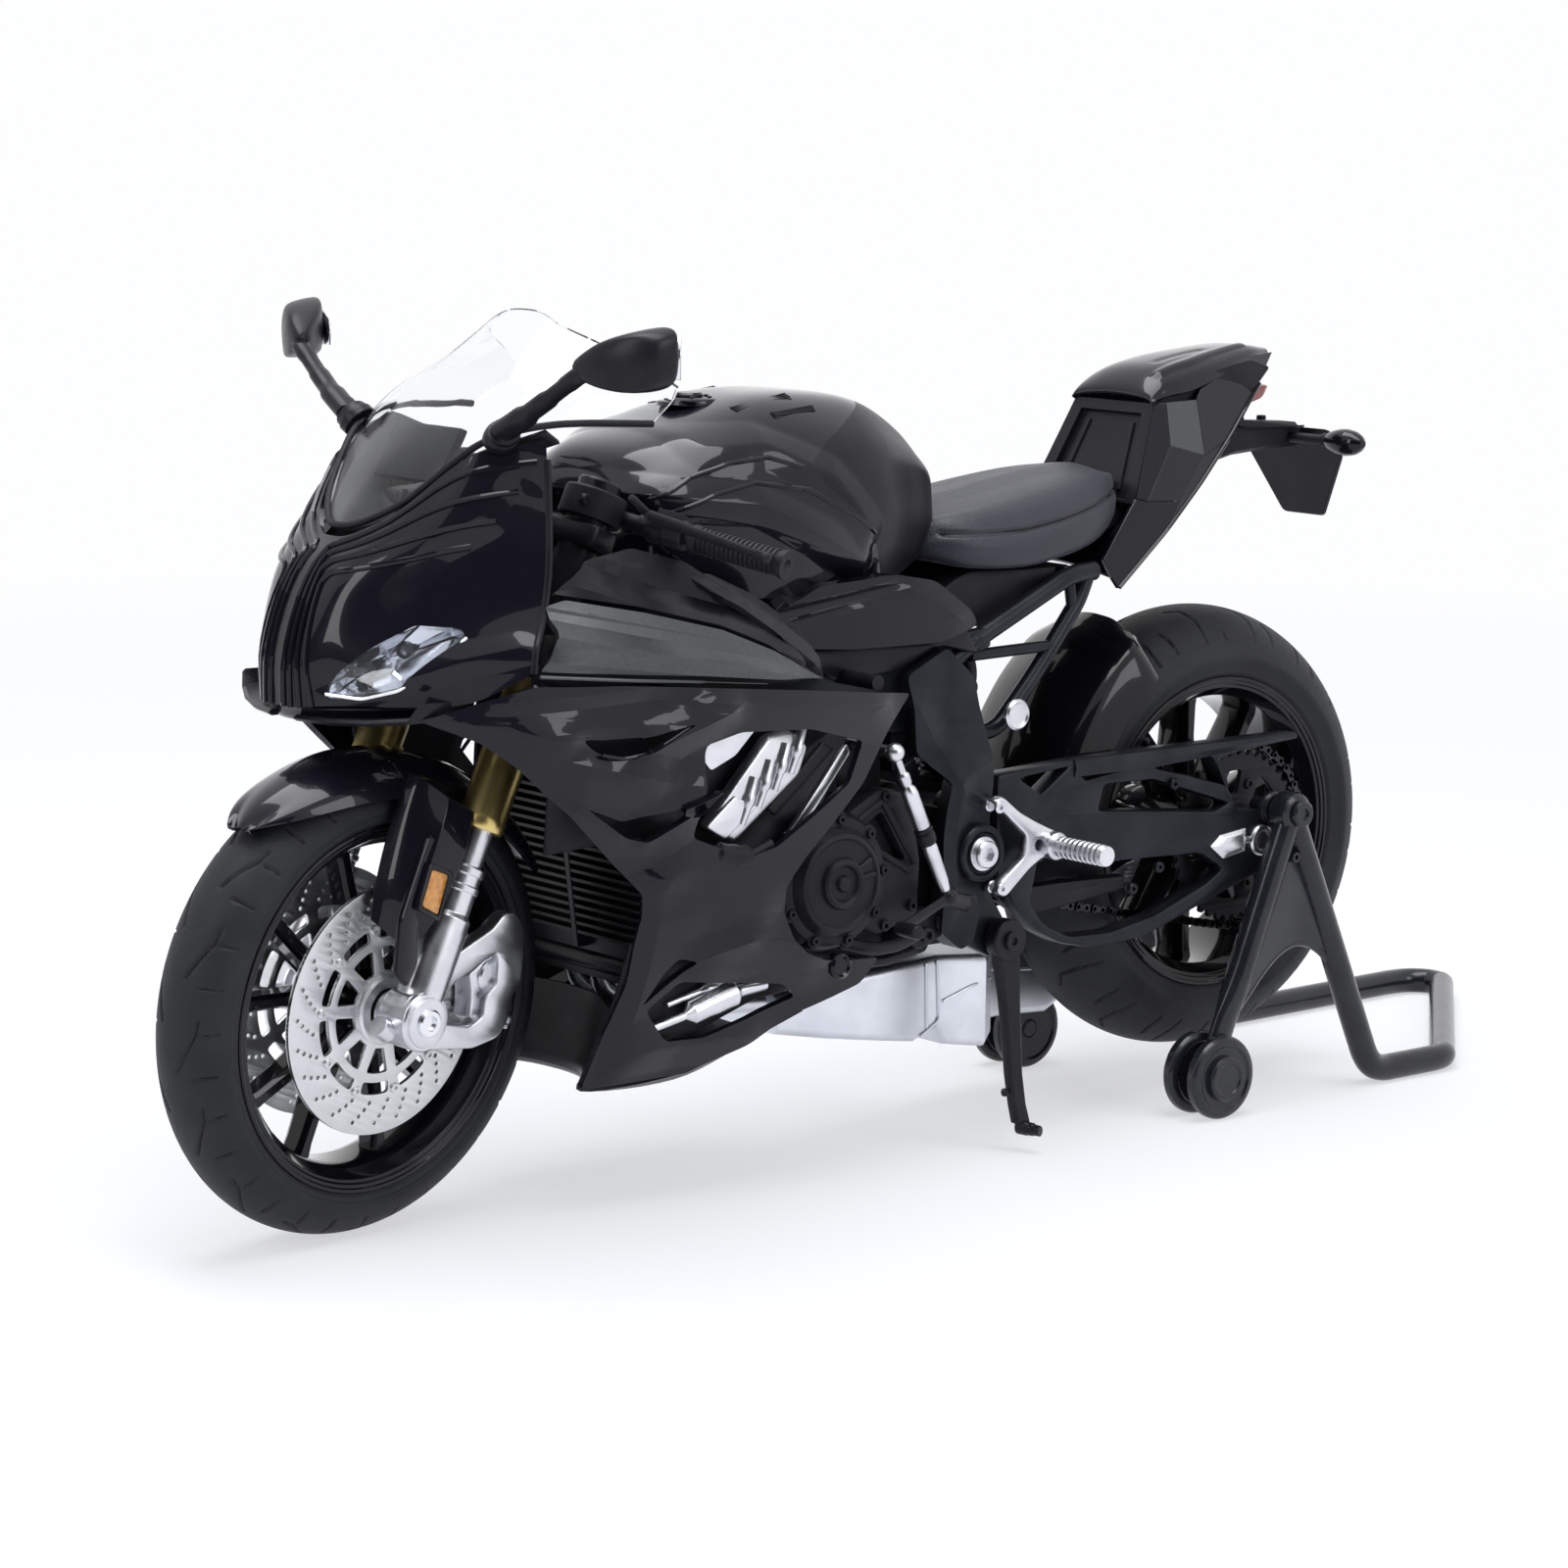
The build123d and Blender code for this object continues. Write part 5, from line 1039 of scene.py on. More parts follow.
def eased(at_value, stations, values):
    """Smooth curve through values at rising stations."""
    k = int(np.clip(np.searchsorted(stations, at_value) - 1, 0, len(stations) - 2))
    a, b = stations[k], stations[k + 1]
    t = (at_value - a) / (b - a)
    before = values[max(k - 1, 0)]
    after = values[min(k + 2, len(values) - 1)]
    slope_a = (values[k + 1] - before) / (b - stations[max(k - 1, 0)])
    slope_b = (after - values[k]) / (stations[min(k + 2, len(stations) - 1)] - a)
    t = min(max(t, -0.3), 1.3)
    return ((2 * t ** 3 - 3 * t ** 2 + 1) * values[k] + (t ** 3 - 2 * t ** 2 + t) * (b - a) * slope_a
            + (3 * t ** 2 - 2 * t ** 3) * values[k + 1] + (t ** 3 - t ** 2) * (b - a) * slope_b)


def body_side(x, z):
    """Distance of the smooth body surface from the middle."""
    across = [eased(-x, [-s for s in side_x], list(row)) for row in side_y]
    return eased(z, side_z, across)


def fold(x, z, line):
    """Height that one fold adds at a point: (start, end, height, reach above, reach below)."""
    (x0, z0), (x1, z1), height, above, below = line
    dx, dz = x1 - x0, z1 - z0
    length = math.hypot(dx, dz)
    t = ((x - x0) * dx + (z - z0) * dz) / length
    off = ((x - x0) * dz - (z - z0) * dx) / length
    reach = above if off > 0 else below
    near = max(0.0, 1 - abs(off) / reach)
    ends = min(1.0, max(0.0, (t + 1.5) / 4)) * min(1.0, max(0.0, (length + 1.5 - t) / 4))
    return height * near * ends


def sheet(outline, surface, folds=(), holes=(), grid=3.0):
    """Thin sheet over a surface y(x, z), sliced along a grid and along its folds."""
    flat, faces = plate(outline, 0, 0.002, holes, 0)
    bm = bmesh.new()
    made = [bm.verts.new((p[0], 0, p[2])) for p in flat]
    for face in faces:
        centre = [sum(flat[k][1] for k in face) / len(face)]
        if len(set(face)) > 2 and centre[0] > 0.0015:
            try:
                bm.faces.new([made[k] for k in face])
            except ValueError:
                pass
    loose = [v for v in bm.verts if not v.link_faces]
    bmesh.ops.delete(bm, geom=loose, context="VERTS")
    bmesh.ops.remove_doubles(bm, verts=bm.verts, dist=0.001)
    xs = [p[0] for p in outline]
    zs = [p[1] for p in outline]

    def slice_at(spot, normal):
        bmesh.ops.bisect_plane(bm, geom=bm.verts[:] + bm.edges[:] + bm.faces[:], dist=0.0005,
            plane_co=spot, plane_no=normal)

    for k in range(int(min(xs) / grid), int(max(xs) / grid) + 1):
        slice_at((k * grid, 0, 0), (1, 0, 0))
    for k in range(int(min(zs) / grid), int(max(zs) / grid) + 1):
        slice_at((0, 0, k * grid), (0, 0, 1))
    for (x0, z0), (x1, z1), height, above, below in folds:
        n = Vector((z1 - z0, 0, -(x1 - x0))).normalized()
        for offset in (0, above, -below):
            slice_at(Vector((x0, 0, z0)) + n * offset, n)
    points = [Vector((v.co.x, surface(v.co.x, v.co.z) + sum(fold(v.co.x, v.co.z, f) for f in folds),
        v.co.z)) for v in bm.verts]
    bm.verts.index_update()
    faces = [tuple(v.index for v in f.verts) for f in bm.faces]
    bm.free()
    return points, faces


def cover(name, outline, surface, finish, folds=(), holes=(), replaces=(), thickness=0.9,
    bevel=0.14, angle=24,
          both=True, grid=3.0, twin_replaces=(), body="chassis"):
    points, faces = sheet(outline, surface, folds, holes, grid)
    build(name, [(points, faces)], finish, body, replaces, None, bevel, 0, (), thickness,
        angle, (20, -60, 60))
    if both:
        twin = [MIRROR @ p for p in points]
        build(name + "_right", [(twin, faces)], finish, body, twin_replaces, None, bevel, 0,
            (), thickness, angle, (20, 60, 60))


def inset(y):
    """The body surface moved inwards."""
    return lambda x, z: body_side(x, z) - y


print("surface check:", round(body_side(36, 58), 2), round(body_side(50, 74), 2))

# %% [markdown]
# Main fairing. One outline with the vent, the intake duct, the lower slot and a small dark
# triangle cut through it. Long folds give the flat facets. Darker liners stand behind the
# openings, so that each hole shows a floor and walls instead of empty air.

# %% Main fairings
fairing_outline = [
    (82.5, 74.9), (75.2, 71.8), (70.4, 68.2), (61.1, 59.8), (50.8, 50.6), (48.8, 48.4), (48.2,
        45.0), (48.8, 40.4),
    (48.9, 35.2), (49.9, 29.6), (52.4, 19.5), (35.2, 19.9), (25.4, 23.3), (18.5, 27.0), (6.9, 30.4),
    (3.8, 33.9), (8.6, 34.2), (14.6, 34.9), (19.0, 36.6), (21.9, 39.0), (23.3, 42.6), (23.4, 46.8), (20.0,
        51.0), (14.0, 56.5),
    (9.4, 60.6), (4.5, 67.7), (-0.6, 72.5), (21.7, 75.2), (38.3, 77.0), (55.3, 78.6), (68.6, 79.3),
]
vent = [(40.8, 69.1), (34.8, 70.5), (21.6, 69.7), (9.9, 66.7), (12.5, 60.8), (25.8, 53.0), (31.2, 51.9),
    (41.3, 55.9)]
lower_slot = [(45.0, 30.9), (40.0, 34.6), (31.0, 33.4), (21.7, 32.2), (18.8, 29.8), (34.1, 25.4),
    (40.6, 25.6)]
duct = [(61.1, 71.5), (57.8, 71.2), (50.5, 71.3), (43.5, 72.6), (50.5, 69.0), (55.2, 68.6), (58.6, 69.4)]
lower_duct = [(59.9, 61.8), (53.6, 59.4), (45.4, 60.3), (38.4, 63.0), (42.6, 59.2), (49.2, 56.0),
    (53.0, 57.0)]
triangle = [(46.0, 31.6), (43.4, 36.4), (41.2, 38.3), (37.8, 37.4), (42.4, 34.4)]
fairing_folds = [
    ((84, 76.0), (62, 71.0), 0.9, 5, 7), ((62, 71.2), (53, 68.4), -1.1, 3, 4), ((53, 68.4), (36, 74.4),
        1.4, 4, 3.4),
    ((62.5, 68.5), (46, 64.2), 1.3, 3.6, 5), ((46, 64.2), (33, 62.4), 1.1, 4, 5), ((64, 62.8), (52, 56.0),
        1.4, 4, 3.4),
    ((52, 55.0), (38, 61.4), 1.3, 5, 4), ((48.3, 51.6), (45.6, 46.8), 1.0, 8, 5), ((45.6, 46.8),
        (47.4, 20.0), 1.2, 9, 3.4),
    ((47.5, 51.5), (26, 42.0), 1.2, 8, 7), ((38.6, 37.6), (27.6, 40.4), 1.4, 3.4, 6), ((27.6, 40.4),
        (14.2, 35.6), 1.3, 4, 7),
    ((46, 24.6), (24, 25.2), 1.0, 5, 4), ((44, 75.6), (4, 71.6), 1.0, 4, 6), ((70, 75.4), (48, 76.2),
        -0.8, 2, 3),
]
cover("fairing", soften(fairing_outline, 0.7, 2), inset(0.9), body_black, fairing_folds,
      [soften(h, 0.8, 2) for h in (vent, lower_slot, duct, lower_duct,
          triangle)], "side_fairing_left", 1.0, 0.16,
      twin_replaces="side_fairing_right")

liner_outline = [(64, 73.4), (40, 74.4), (33.4, 72.6), (39.6, 70.2), (44.0, 62.0), (40, 56.6), (62, 54.6)]
cover("duct_liner", liner_outline, inset(4.6), matt_black, (), (), (), 0.6, 0, grid=6)
cover("triangle_liner", [(48, 29.5), (47, 40.5), (36, 40), (36, 35)], inset(3.6), matt_black,
    (), (), (), 0.6, 0, grid=8)

# Bright lips under the slits and round the vent, as the thick edges of the real moulding.
lips = []
for path, radius in (([(58.4, 69.3), (55.0, 68.5), (50.5, 68.9), (43.8, 72.2)], 0.28),
                     ([(59.4, 61.2), (53.0, 56.9), (49.2, 55.9), (42.8, 59.0), (38.6, 62.6)], 0.3),
                     ([(37.6, 37.6), (27.6, 40.2)], 0.3)):
    line = [(x, body_side(x, z) - 0.55, z) for x, z in path]
    lips.append(tube(line, radius, 1.0, 8))
build("fairing_lips", both_sides(lips), body_black, "chassis")

# The vent shows a bright ribbed block, a sliver above it and a strip behind it.
block = [(36.4, 56.4), (31.2, 53.8), (19.6, 62.4), (18.0, 66.4), (21.2, 68.9), (25.0, 68.4)]
rib_parts = [plate(soften(block, 0.8, 2), 22.2, 24.6, edge=0.5)]
for k in range(4):
    x = 30.4 - k * 2.9
    z = 59.4 + k * 2.15
    rib_parts.append(tube([(x, 24.7, z - 3.0), (x - 1.2, 24.9, z), (x - 2.4, 24.6, z + 3.4)],
        [0.75, 0.95, 0.8], 1.2, 12))
rib_parts.append(plate(soften([(36.8, 56.6), (33.4, 54.4), (27.8, 58.4), (31.6, 60.6)], 0.5, 2), 23.4,
    25.2, edge=0.3))
rib_parts.append(plate(soften([(39.6, 69.0), (35.8, 64.4), (31.4, 66.2), (27.6, 69.8), (34.0, 70.0)], 0.5,
    2), 24.0, 24.8, edge=0.2))
rib_parts.append(plate(soften([(21.6, 53.8), (20.2, 55.2), (11.6, 65.2), (10.6, 66.0), (10.0, 64.6),
    (18.8, 54.2)], 0.3, 2), 23.4, 24.4, edge=0.25))
build("vent_ribs", both_sides(rib_parts), silver, "chassis", "engine_fins", bevel=0.08)
vent_back = plate(soften([(44, 72), (6, 69), (12, 56), (26, 49), (45, 52)], 1, 2), 19.6, 20.4)
vent_roll = [tube([(41.2, 26.8, 55.2), (36.4, 26.6, 53.2), (31.0, 26.4, 51.8), (26.0, 26.2, 53.4)],
    [0.7, 1.5, 1.7, 0.7], 2, 16),
             plate(soften([(23.4, 56.6), (25.0, 58.0), (14.8, 66.6), (12.6, 65.4)], 0.4, 2), 23.0, 24.2,
                 edge=0.3)]
build("vent_inside", both_sides([vent_back] + vent_roll), satin_black, "chassis",
    bevel=0.08)
slot_inside = [plate(soften([(44.6, 30.6), (40.4, 26.2), (34.0, 26.0), (21, 30.2), (24.0, 33.4),
    (40, 35.4)], 0.5, 2), 19.0, 19.8)]
build("slot_back", both_sides(slot_inside), matt_black, "chassis")
flow = [tube([(43.4, 20.6, 27.6), (37.0, 21.6, 29.2), (30.0, 22.0, 31.4), (23.4, 21.8, 32.0)],
    [0.6, 1.7, 1.9, 0.9], 3, 16),
        tube([(40.0, 20.4, 30.8), (33.0, 21.0, 32.4), (27.0, 21.0, 33.0)], [0.5, 1.0, 0.6], 2, 14)]
build("slot_pipe", both_sides(flow), silver, "chassis", bevel=0)
boss = [turned_part([(0, body_side(11.6, 33.6) - 1.6), (1.9, body_side(11.6, 33.6) - 1.6),
    (1.9, body_side(11.6, 33.6) - 0.5),
                     (1.5, body_side(11.6, 33.6) - 0.2), (1.2, body_side(11.6, 33.6) - 0.6), (0,
                         body_side(11.6, 33.6) - 0.6)],
                    28, (11.6, 0, 33.6))]
build("fairing_bosses", both_sides(boss), body_black, "chassis")
print("fairings folded")

# %% [markdown]
# Accent panels. Satin metallic panels that taper from the nose back to a point, with creases
# that run the whole length, and two black blades above them that sweep down to the same point.

# %% Accent panels and blades
accent_outline = [(66.4, 89.9), (65.6, 87.0), (67.2, 82.6), (68.0, 81.3), (43.0, 79.2), (28.1, 77.4),
    (18.2, 76.5), (22.0, 78.2),
                  (27.7, 81.2), (37.0, 84.8), (50.5, 88.1), (63.4, 90.6)]
accent_folds = [((68, 86.4), (24, 77.4), 1.7, 3.2, 4), ((68, 88.6), (27, 79.6), -0.7, 1.6, 1.8),
    ((68, 82.8), (28, 77.0), 0.9, 2.4, 1.6)]
cover("accent", soften(accent_outline, 0.3, 2), inset(1.1), gunmetal, accent_folds, (),
    "accent_panels", 0.9, 0.14)
cover("accent_liner", [(68, 76.5), (66.5, 86), (30, 82), (18, 76.8), (30, 74)], inset(3.6), matt_black,
    (), (), (), 0.6, 0, grid=8)
accent_edge = [(x, body_side(x, z) - 0.5, z) for x, z in [(68.4, 80.7), (55, 79.4), (43, 78.3),
    (30, 76.9)]]
build("accent_edges", both_sides([tube(accent_edge, [0.3, 0.3, 0.25, 0.1], 3, 8)]), gunmetal, "chassis")

blade_one = [(63.6, 91.2), (56.5, 95.4), (49.0, 96.4), (40.0, 94.0), (31.6, 88.8), (24.4, 82.8),
    (16.8, 76.2), (20.6, 77.4), (28.0, 81.9),
             (37.0, 85.4), (50.5, 88.8)]


def blade_surface(x, z):
    return body_side(x, 86) - 1.6 - max(0, z - 84) * 0.42


cover("blade", soften(blade_one, 0.6, 2), blade_surface, satin_black,
      [((60, 92.0), (20, 78.8), 1.5, 3.4, 3), ((56, 94.0), (30, 86.4), -0.8, 2, 2)], (), (), 0.8, 0.12)
blade_two = [(40.6, 92.6), (35.4, 92.0), (28.0, 88.6), (20.4, 83.4), (16.4, 79.0), (15.0, 75.6),
    (16.6, 75.4), (19.6, 77.6), (25.4, 82.8),
             (32.0, 87.4), (37.8, 90.2)]
cover("blade_edge", soften(blade_two, 0.5, 2), lambda x, z: blade_surface(x, z) - 0.4, satin_black,
      [((39.4, 91.6), (17, 77.6), 1.4, 2.2, 2.2)], (), (), 0.8, 0.12)
print("accent panels done")

# %% [markdown]
# Nose, screen and tank are curved in every direction. Each is drawn as a few rows of points and
# a smooth surface is passed through them. Fine ribs, grooves and shut lines are then pressed
# into that surface along its own normals, so they keep an even depth round every corner.

# %% Smooth surfaces with pressed lines
def smooth_rows(rows, steps):
    """Fine grid of points on a smooth surface through coarse rows."""
    grid = np.array(rows, float)
    for axis in (0, 1):
        coarse = np.moveaxis(grid, axis, 0)
        fine = []
        for k in range(len(coarse) - 1):
            a, b = coarse[k], coarse[k + 1]
            before = coarse[k - 1] if k else 2 * a - b
            after = coarse[k + 2] if k + 2 < len(coarse) else 2 * b - a
            for s in range(steps):
                t = s / steps
                fine.append((2 * t ** 3 - 3 * t ** 2 + 1) * a + (t ** 3 - 2 * t ** 2 + t) * (b - before) / 2
                            + (3 * t ** 2 - 2 * t ** 3) * b + (t ** 3 - t ** 2) * (after - a) / 2)
        fine.append(coarse[-1])
        grid = np.moveaxis(np.array(fine), 0, axis)
    return grid


def near_line(grid, path, width, axes=(0, 2)):
    """1 on a line drawn in one view, falling to 0 at its width. Both sides of the model take it."""
    a_axis = np.abs(grid[..., axes[0]]) if axes[0] == 1 else grid[..., axes[0]]
    b_axis = grid[..., axes[1]]
    best = np.full(a_axis.shape, 1e9)
    for (a0, b0), (a1, b1) in zip(path, path[1:]):
        da, db = a1 - a0, b1 - b0
        t = np.clip(((a_axis - a0) * da + (b_axis - b0) * db) / (da * da + db * db), 0, 1)
        best = np.minimum(best, np.hypot(a_axis - a0 - t * da, b_axis - b0 - t * db))
    return np.clip(1 - best / width, 0, 1)


def pressed(grid, inside, lines):
    """Move a grid along its normals: lines are (path, width, height, view axes)."""
    normal = np.cross(np.gradient(grid, axis=0), np.gradient(grid, axis=1))
    normal /= np.maximum(np.linalg.norm(normal, axis=2, keepdims=True), 1e-9)
    outward = np.sum(normal * (grid - np.array(inside)), axis=2, keepdims=True) < 0
    normal = np.where(outward, -normal, normal)
    relief = np.zeros(grid.shape[:2])
    for path, width, height, axes in lines:
        shape = near_line(grid, path, width, axes)
        relief = relief + height * shape * (2 - shape if abs(height) > 0.3 and width < 1.2 else 1)
    return grid + normal * relief[..., None]


def grid_part(grid):
    rows_count, width = grid.shape[:2]
    points = [Vector(p) for p in grid.reshape(-1, 3)]
    return points, grid_faces(rows_count, width)


def inside_outline(a, b, outline):
    hit = False
    for (a0, b0), (a1, b1) in zip(outline, outline[1:] + outline[:1]):
        if (b0 > b) != (b1 > b) and a < (a1 - a0) * (b - b0) / (b1 - b0) + a0:
            hit = not hit
    return hit


def punched(part, outline, axes, keep_if=lambda c: True):
    """Cut a part along an outline drawn in one view; gives what is outside and what is inside."""
    bm = bmesh.new()
    made = [bm.verts.new(p) for p in part[0]]
    for face in part[1]:
        if len(set(face)) > 2:
            try:
                bm.faces.new([made[k] for k in face])
            except ValueError:
                pass
    low = [min(p[k] for p in outline) - 1 for k in (0, 1)]
    high = [max(p[k] for p in outline) + 1 for k in (0, 1)]
    for side in ((1, -1) if axes[0] == 1 else (1,)):
        for (a0, b0), (a1, b1) in zip(outline, outline[1:] + outline[:1]):
            spot, n = [0, 0, 0], [0, 0, 0]
            spot[axes[0]], spot[axes[1]] = a0 * side, b0
            n[axes[0]], n[axes[1]] = (b1 - b0), -(a1 - a0) * side
            near = [f for f in bm.faces if keep_if(f.calc_center_median())
                    and low[0] < f.calc_center_median()[axes[0]] * side < high[0] and low[1] < f.calc_center_median()[axes[1]] < high[1]]
            edges = list({e for f in near for e in f.edges})
            verts = list({v for f in near for v in f.verts})
            bmesh.ops.bisect_plane(bm, geom=verts + edges + near, dist=0.0005, plane_co=spot, plane_no=n)
    bm.verts.index_update()
    points = [v.co.copy() for v in bm.verts]
    outer, inner = [], []
    for face in bm.faces:
        c = face.calc_center_median()
        a = abs(c[axes[0]]) if axes[0] == 1 else c[axes[0]]
        (inner if keep_if(c) and inside_outline(a, c[axes[1]],
            outline) else outer).append(tuple(v.index for v in face.verts))
    bm.free()

    def packed(faces):
        used = sorted({k for f in faces for k in f})
        index = {k: n for n, k in enumerate(used)}
        return [points[k] for k in used], [tuple(index[k] for k in f) for f in faces]

    return packed(outer), packed(inner)


def whole_rows(rows):
    return [[(x, -y, z) for x, y, z in reversed(row[1:])] + row for row in rows]


print("surface maker ready")

# %% [markdown]
# Nose cowl. The flank is a smooth black sheet, with thin upright ribs near the middle, two
# steps under the screen and a hooked crease. The lamps are let in as clear covers over bright
# bowls. The bowl is faceted, as a small moulded reflector is, so it sparkles.

# %% Nose cowl and lamps
nose_rows = [
    [(91.3, 0, 75.5), (90.9, 4, 75.5), (87.5, 9.0, 76.1), (82.5, 16.8, 76.3), (76.0, 23.3, 77.1),
        (69.6, 29.0, 81.2)],
    [(91.2, 0, 82.0), (90.9, 4, 82.0), (88.6, 8.5, 82.0), (84.4, 14.5, 82.0), (78.3, 20.9, 82.5),
        (69.0, 28.6, 84.0)],
    [(89.2, 0, 89.0), (89.0, 4, 89.0), (87.4, 8.5, 89.0), (82.9, 13.5, 89.5), (76.8, 19.4, 89.0),
        (66.0, 26.5, 89.8)],
    [(86.2, 0, 94.5), (86.0, 4, 94.5), (84.4, 9.0, 95.0), (79.8, 14.0, 96.0), (73.8, 18.7, 97.0),
        (64.0, 24.7, 97.5)],
    [(82.4, 0, 98.0), (81.6, 4, 98.6), (77.8, 9.5, 102.0), (71.8, 13.8, 108.0), (67.8, 16.8, 110.3),
        (61.0, 20.0, 111.4)],
]
nose_lines = [
    ([(66.0, 103.6), (68.6, 99.0), (75.6, 95.0), (80.0, 90.6)], 3.4, 0.6, (0, 2)),
    ([(70.0, 84.6), (77.0, 82.6), (83.0, 79.8), (88.0, 76.8)], 2.2, 0.6, (0, 2)),
]
lamp_outline = [(8.0, 76.9), (8.2, 78.8), (9.4, 80.4), (13.0, 84.0), (17.0, 87.3), (21.0, 87.0),
    (21.8, 85.8), (16.8, 78.7), (12.5, 77.3)]
nose_grid = pressed(smooth_rows(whole_rows(nose_rows), 22), (60, 0, 90), nose_lines)
in_front = lambda c: c.x > 68
cowl, lamp_skin = punched(grid_part(nose_grid), soften(lamp_outline, 0.35, 2), (1, 2), in_front)
build("nose_shown", [cowl], body_black, "chassis", "nose_cowl", None, 0.12, thickness=1.0,
    angle=40, inward=(50, 0, 90))
build("lamp_covers", [lamp_skin], lamp_clear, "chassis", "headlights", None, 0.08, thickness=0.7,
    angle=40, inward=(50, 0, 90))


def on_nose(y, z, depth=0.0):
    """Point of the nose surface at a place in the front view, sunk by depth."""
    gap = np.hypot(nose_grid[..., 1] - y, nose_grid[..., 2] - z) + np.where(nose_grid[..., 0] < 66, 50, 0)
    i, j = np.unravel_index(np.argmin(gap), gap.shape)
    x = nose_grid[i, j, 0]
    return Vector((x - depth * 0.8, y - math.copysign(depth * 0.55, y), z + depth * 0.1))


bowl_rim = soften(lamp_outline, 0.35, 2)
bowl = []
for ring_share, depth in ((1.0, 1.0), (0.8, 3.2), (0.45, 2.6), (0.2, 4.4)):
    cy = sum(p[0] for p in bowl_rim) / len(bowl_rim)
    cz = sum(p[1] for p in bowl_rim) / len(bowl_rim)
    bowl.append([on_nose(cy + (y - cy) * ring_share, cz + (z - cz) * ring_share,
        depth + (0.8 if k % 2 and ring_share < 0.9 else 0))
                 for k, (y, z) in enumerate(bowl_rim)])
bowl_part = loft(bowl, cap=False)
bowl_part[0].append(sum(bowl[-1], Vector()) / len(bowl_rim))
last = len(bowl_part[0]) - 1
first = (len(bowl) - 1) * len(bowl_rim)
bowl_faces = list(bowl_part[1]) + [(first + k, first + (k + 1) % len(bowl_rim),
    last) for k in range(len(bowl_rim))]
projectors = []
for y, z, r in ((12.4, 80.4, 1.5), (16.4, 83.6, 1.2)):
    spot = on_nose(y, z, 2.0)
    projectors.append(moved(turned_part([(0, -0.4), (r, -0.4), (r, 0.5), (r * 0.8, 0.7), (r * 0.6, 0.3),
        (0, 0.2)], 24),
                            Matrix.Translation(spot) @ Vector((0, 1,
                                0)).rotation_difference(Vector((0.85, 0.5, 0.1))).to_matrix().to_4x4()))
build("lamp_projectors", both_sides(projectors), chrome_black, "chassis")
build("lamp_bowls", both_sides([(bowl_part[0], bowl_faces)]), polished, "chassis", angle=12)
rim_low = [on_nose(y, z, -0.05) for y, z in [(8.0, 77.6), (12.5, 77.2), (16.9, 78.6), (21.9, 85.8)]]


def on_rows(grid, up_share, out_share):
    """Point of a surface: up its rows and outwards from its middle column, both from 0 to 1."""
    rows_count, width = grid.shape[:2]
    i = min(max(up_share, 0), 1) * (rows_count - 1)
    j = (width - 1) / 2 * (1 + min(max(out_share, 0), 1))
    i0, j0 = min(int(i), rows_count - 2), min(int(j), width - 2)
    a, b = i - i0, j - j0
    p = grid[i0, j0] * (1 - a) * (1 - b) + grid[i0 + 1, j0] * a * (1 - b) + grid[i0,
        j0 + 1] * (1 - a) * b + grid[i0 + 1, j0 + 1] * a * b
    return Vector(p)


# The ribs rise beside the middle, bend under the screen and run on along its edge as steps.
rib_tubes = []
for k in range(4):
    bend, start_out = 0.955 - 0.075 * k, 0.075 + 0.062 * k
    turns = rounded([(0.0, start_out * 1.1, 0), (bend - 0.02, start_out * 0.8 + 0.02, 0),
        (bend, start_out + 0.16, 0), (bend + 0.01 * k, 0.97 - 0.05 * k, 0)], 0.16)
    fine = [a.lerp(b, s / 8) for a, b in zip(turns, turns[1:]) for s in range(8)] + [turns[-1]]
    rib_tubes.append(tube([tuple(on_rows(nose_grid, p.x, p.y) + Vector((0.12, 0, 0))) for p in fine],
        0.42, 0, 8))
build("nose_ribs", both_sides(rib_tubes), body_black, "chassis")
wing_rings = []
for x0, x1, y, z in ((86.6, 91.0, 3.0, 73.6), (82.0, 89.6, 9.0, 73.6), (78.4, 87.2, 15.0, 73.9),
    (75.4, 84.2, 20.4, 74.6), (76.0, 83.4, 21.6, 76.6)):
    wing_rings.append([Vector(p) for p in ((x0, y, z), (x1 - 0.6, y, z - 0.1), (x1, y, z + 0.35),
        (x1 - 0.6, y, z + 0.8), (x0, y, z + 0.7))])
build("chin_wings", both_sides([loft(wing_rings)]), satin_black, "chassis", bevel=0.1)
build("lamp_edges", both_sides([tube([tuple(p) for p in rim_low], 0.28, 0.8, 8)]), polished, "chassis")
chin = [[(90.4, 0, 75.4), (89.4, 6.0, 75.4), (84.0, 14.0, 75.8), (77.4, 21.4, 76.4)],
        [(88.6, 0, 73.2), (87.2, 5.4, 73.2), (81.6, 12.6, 73.6), (75.6, 18.6, 74.2)],
        [(80.0, 0, 75.2), (79.4, 5.0, 75.2), (76.6, 10.0, 75.3), (73.4, 14.6, 75.5)]]
build("nose_chin", [grid_part(smooth_rows(whole_rows(chin), 6))], body_black, "chassis",
    (), None, 0.1,
      thickness=0.8, angle=30, inward=(80, 0, 90))
cowl_edge = [tuple(Vector(p) + Vector((-0.2, -0.2, 0))) for p in nose_grid[::6, -1]]
build("cowl_edges", both_sides([tube(cowl_edge, 0.55, 1.0, 10)]), satin_black, "chassis")

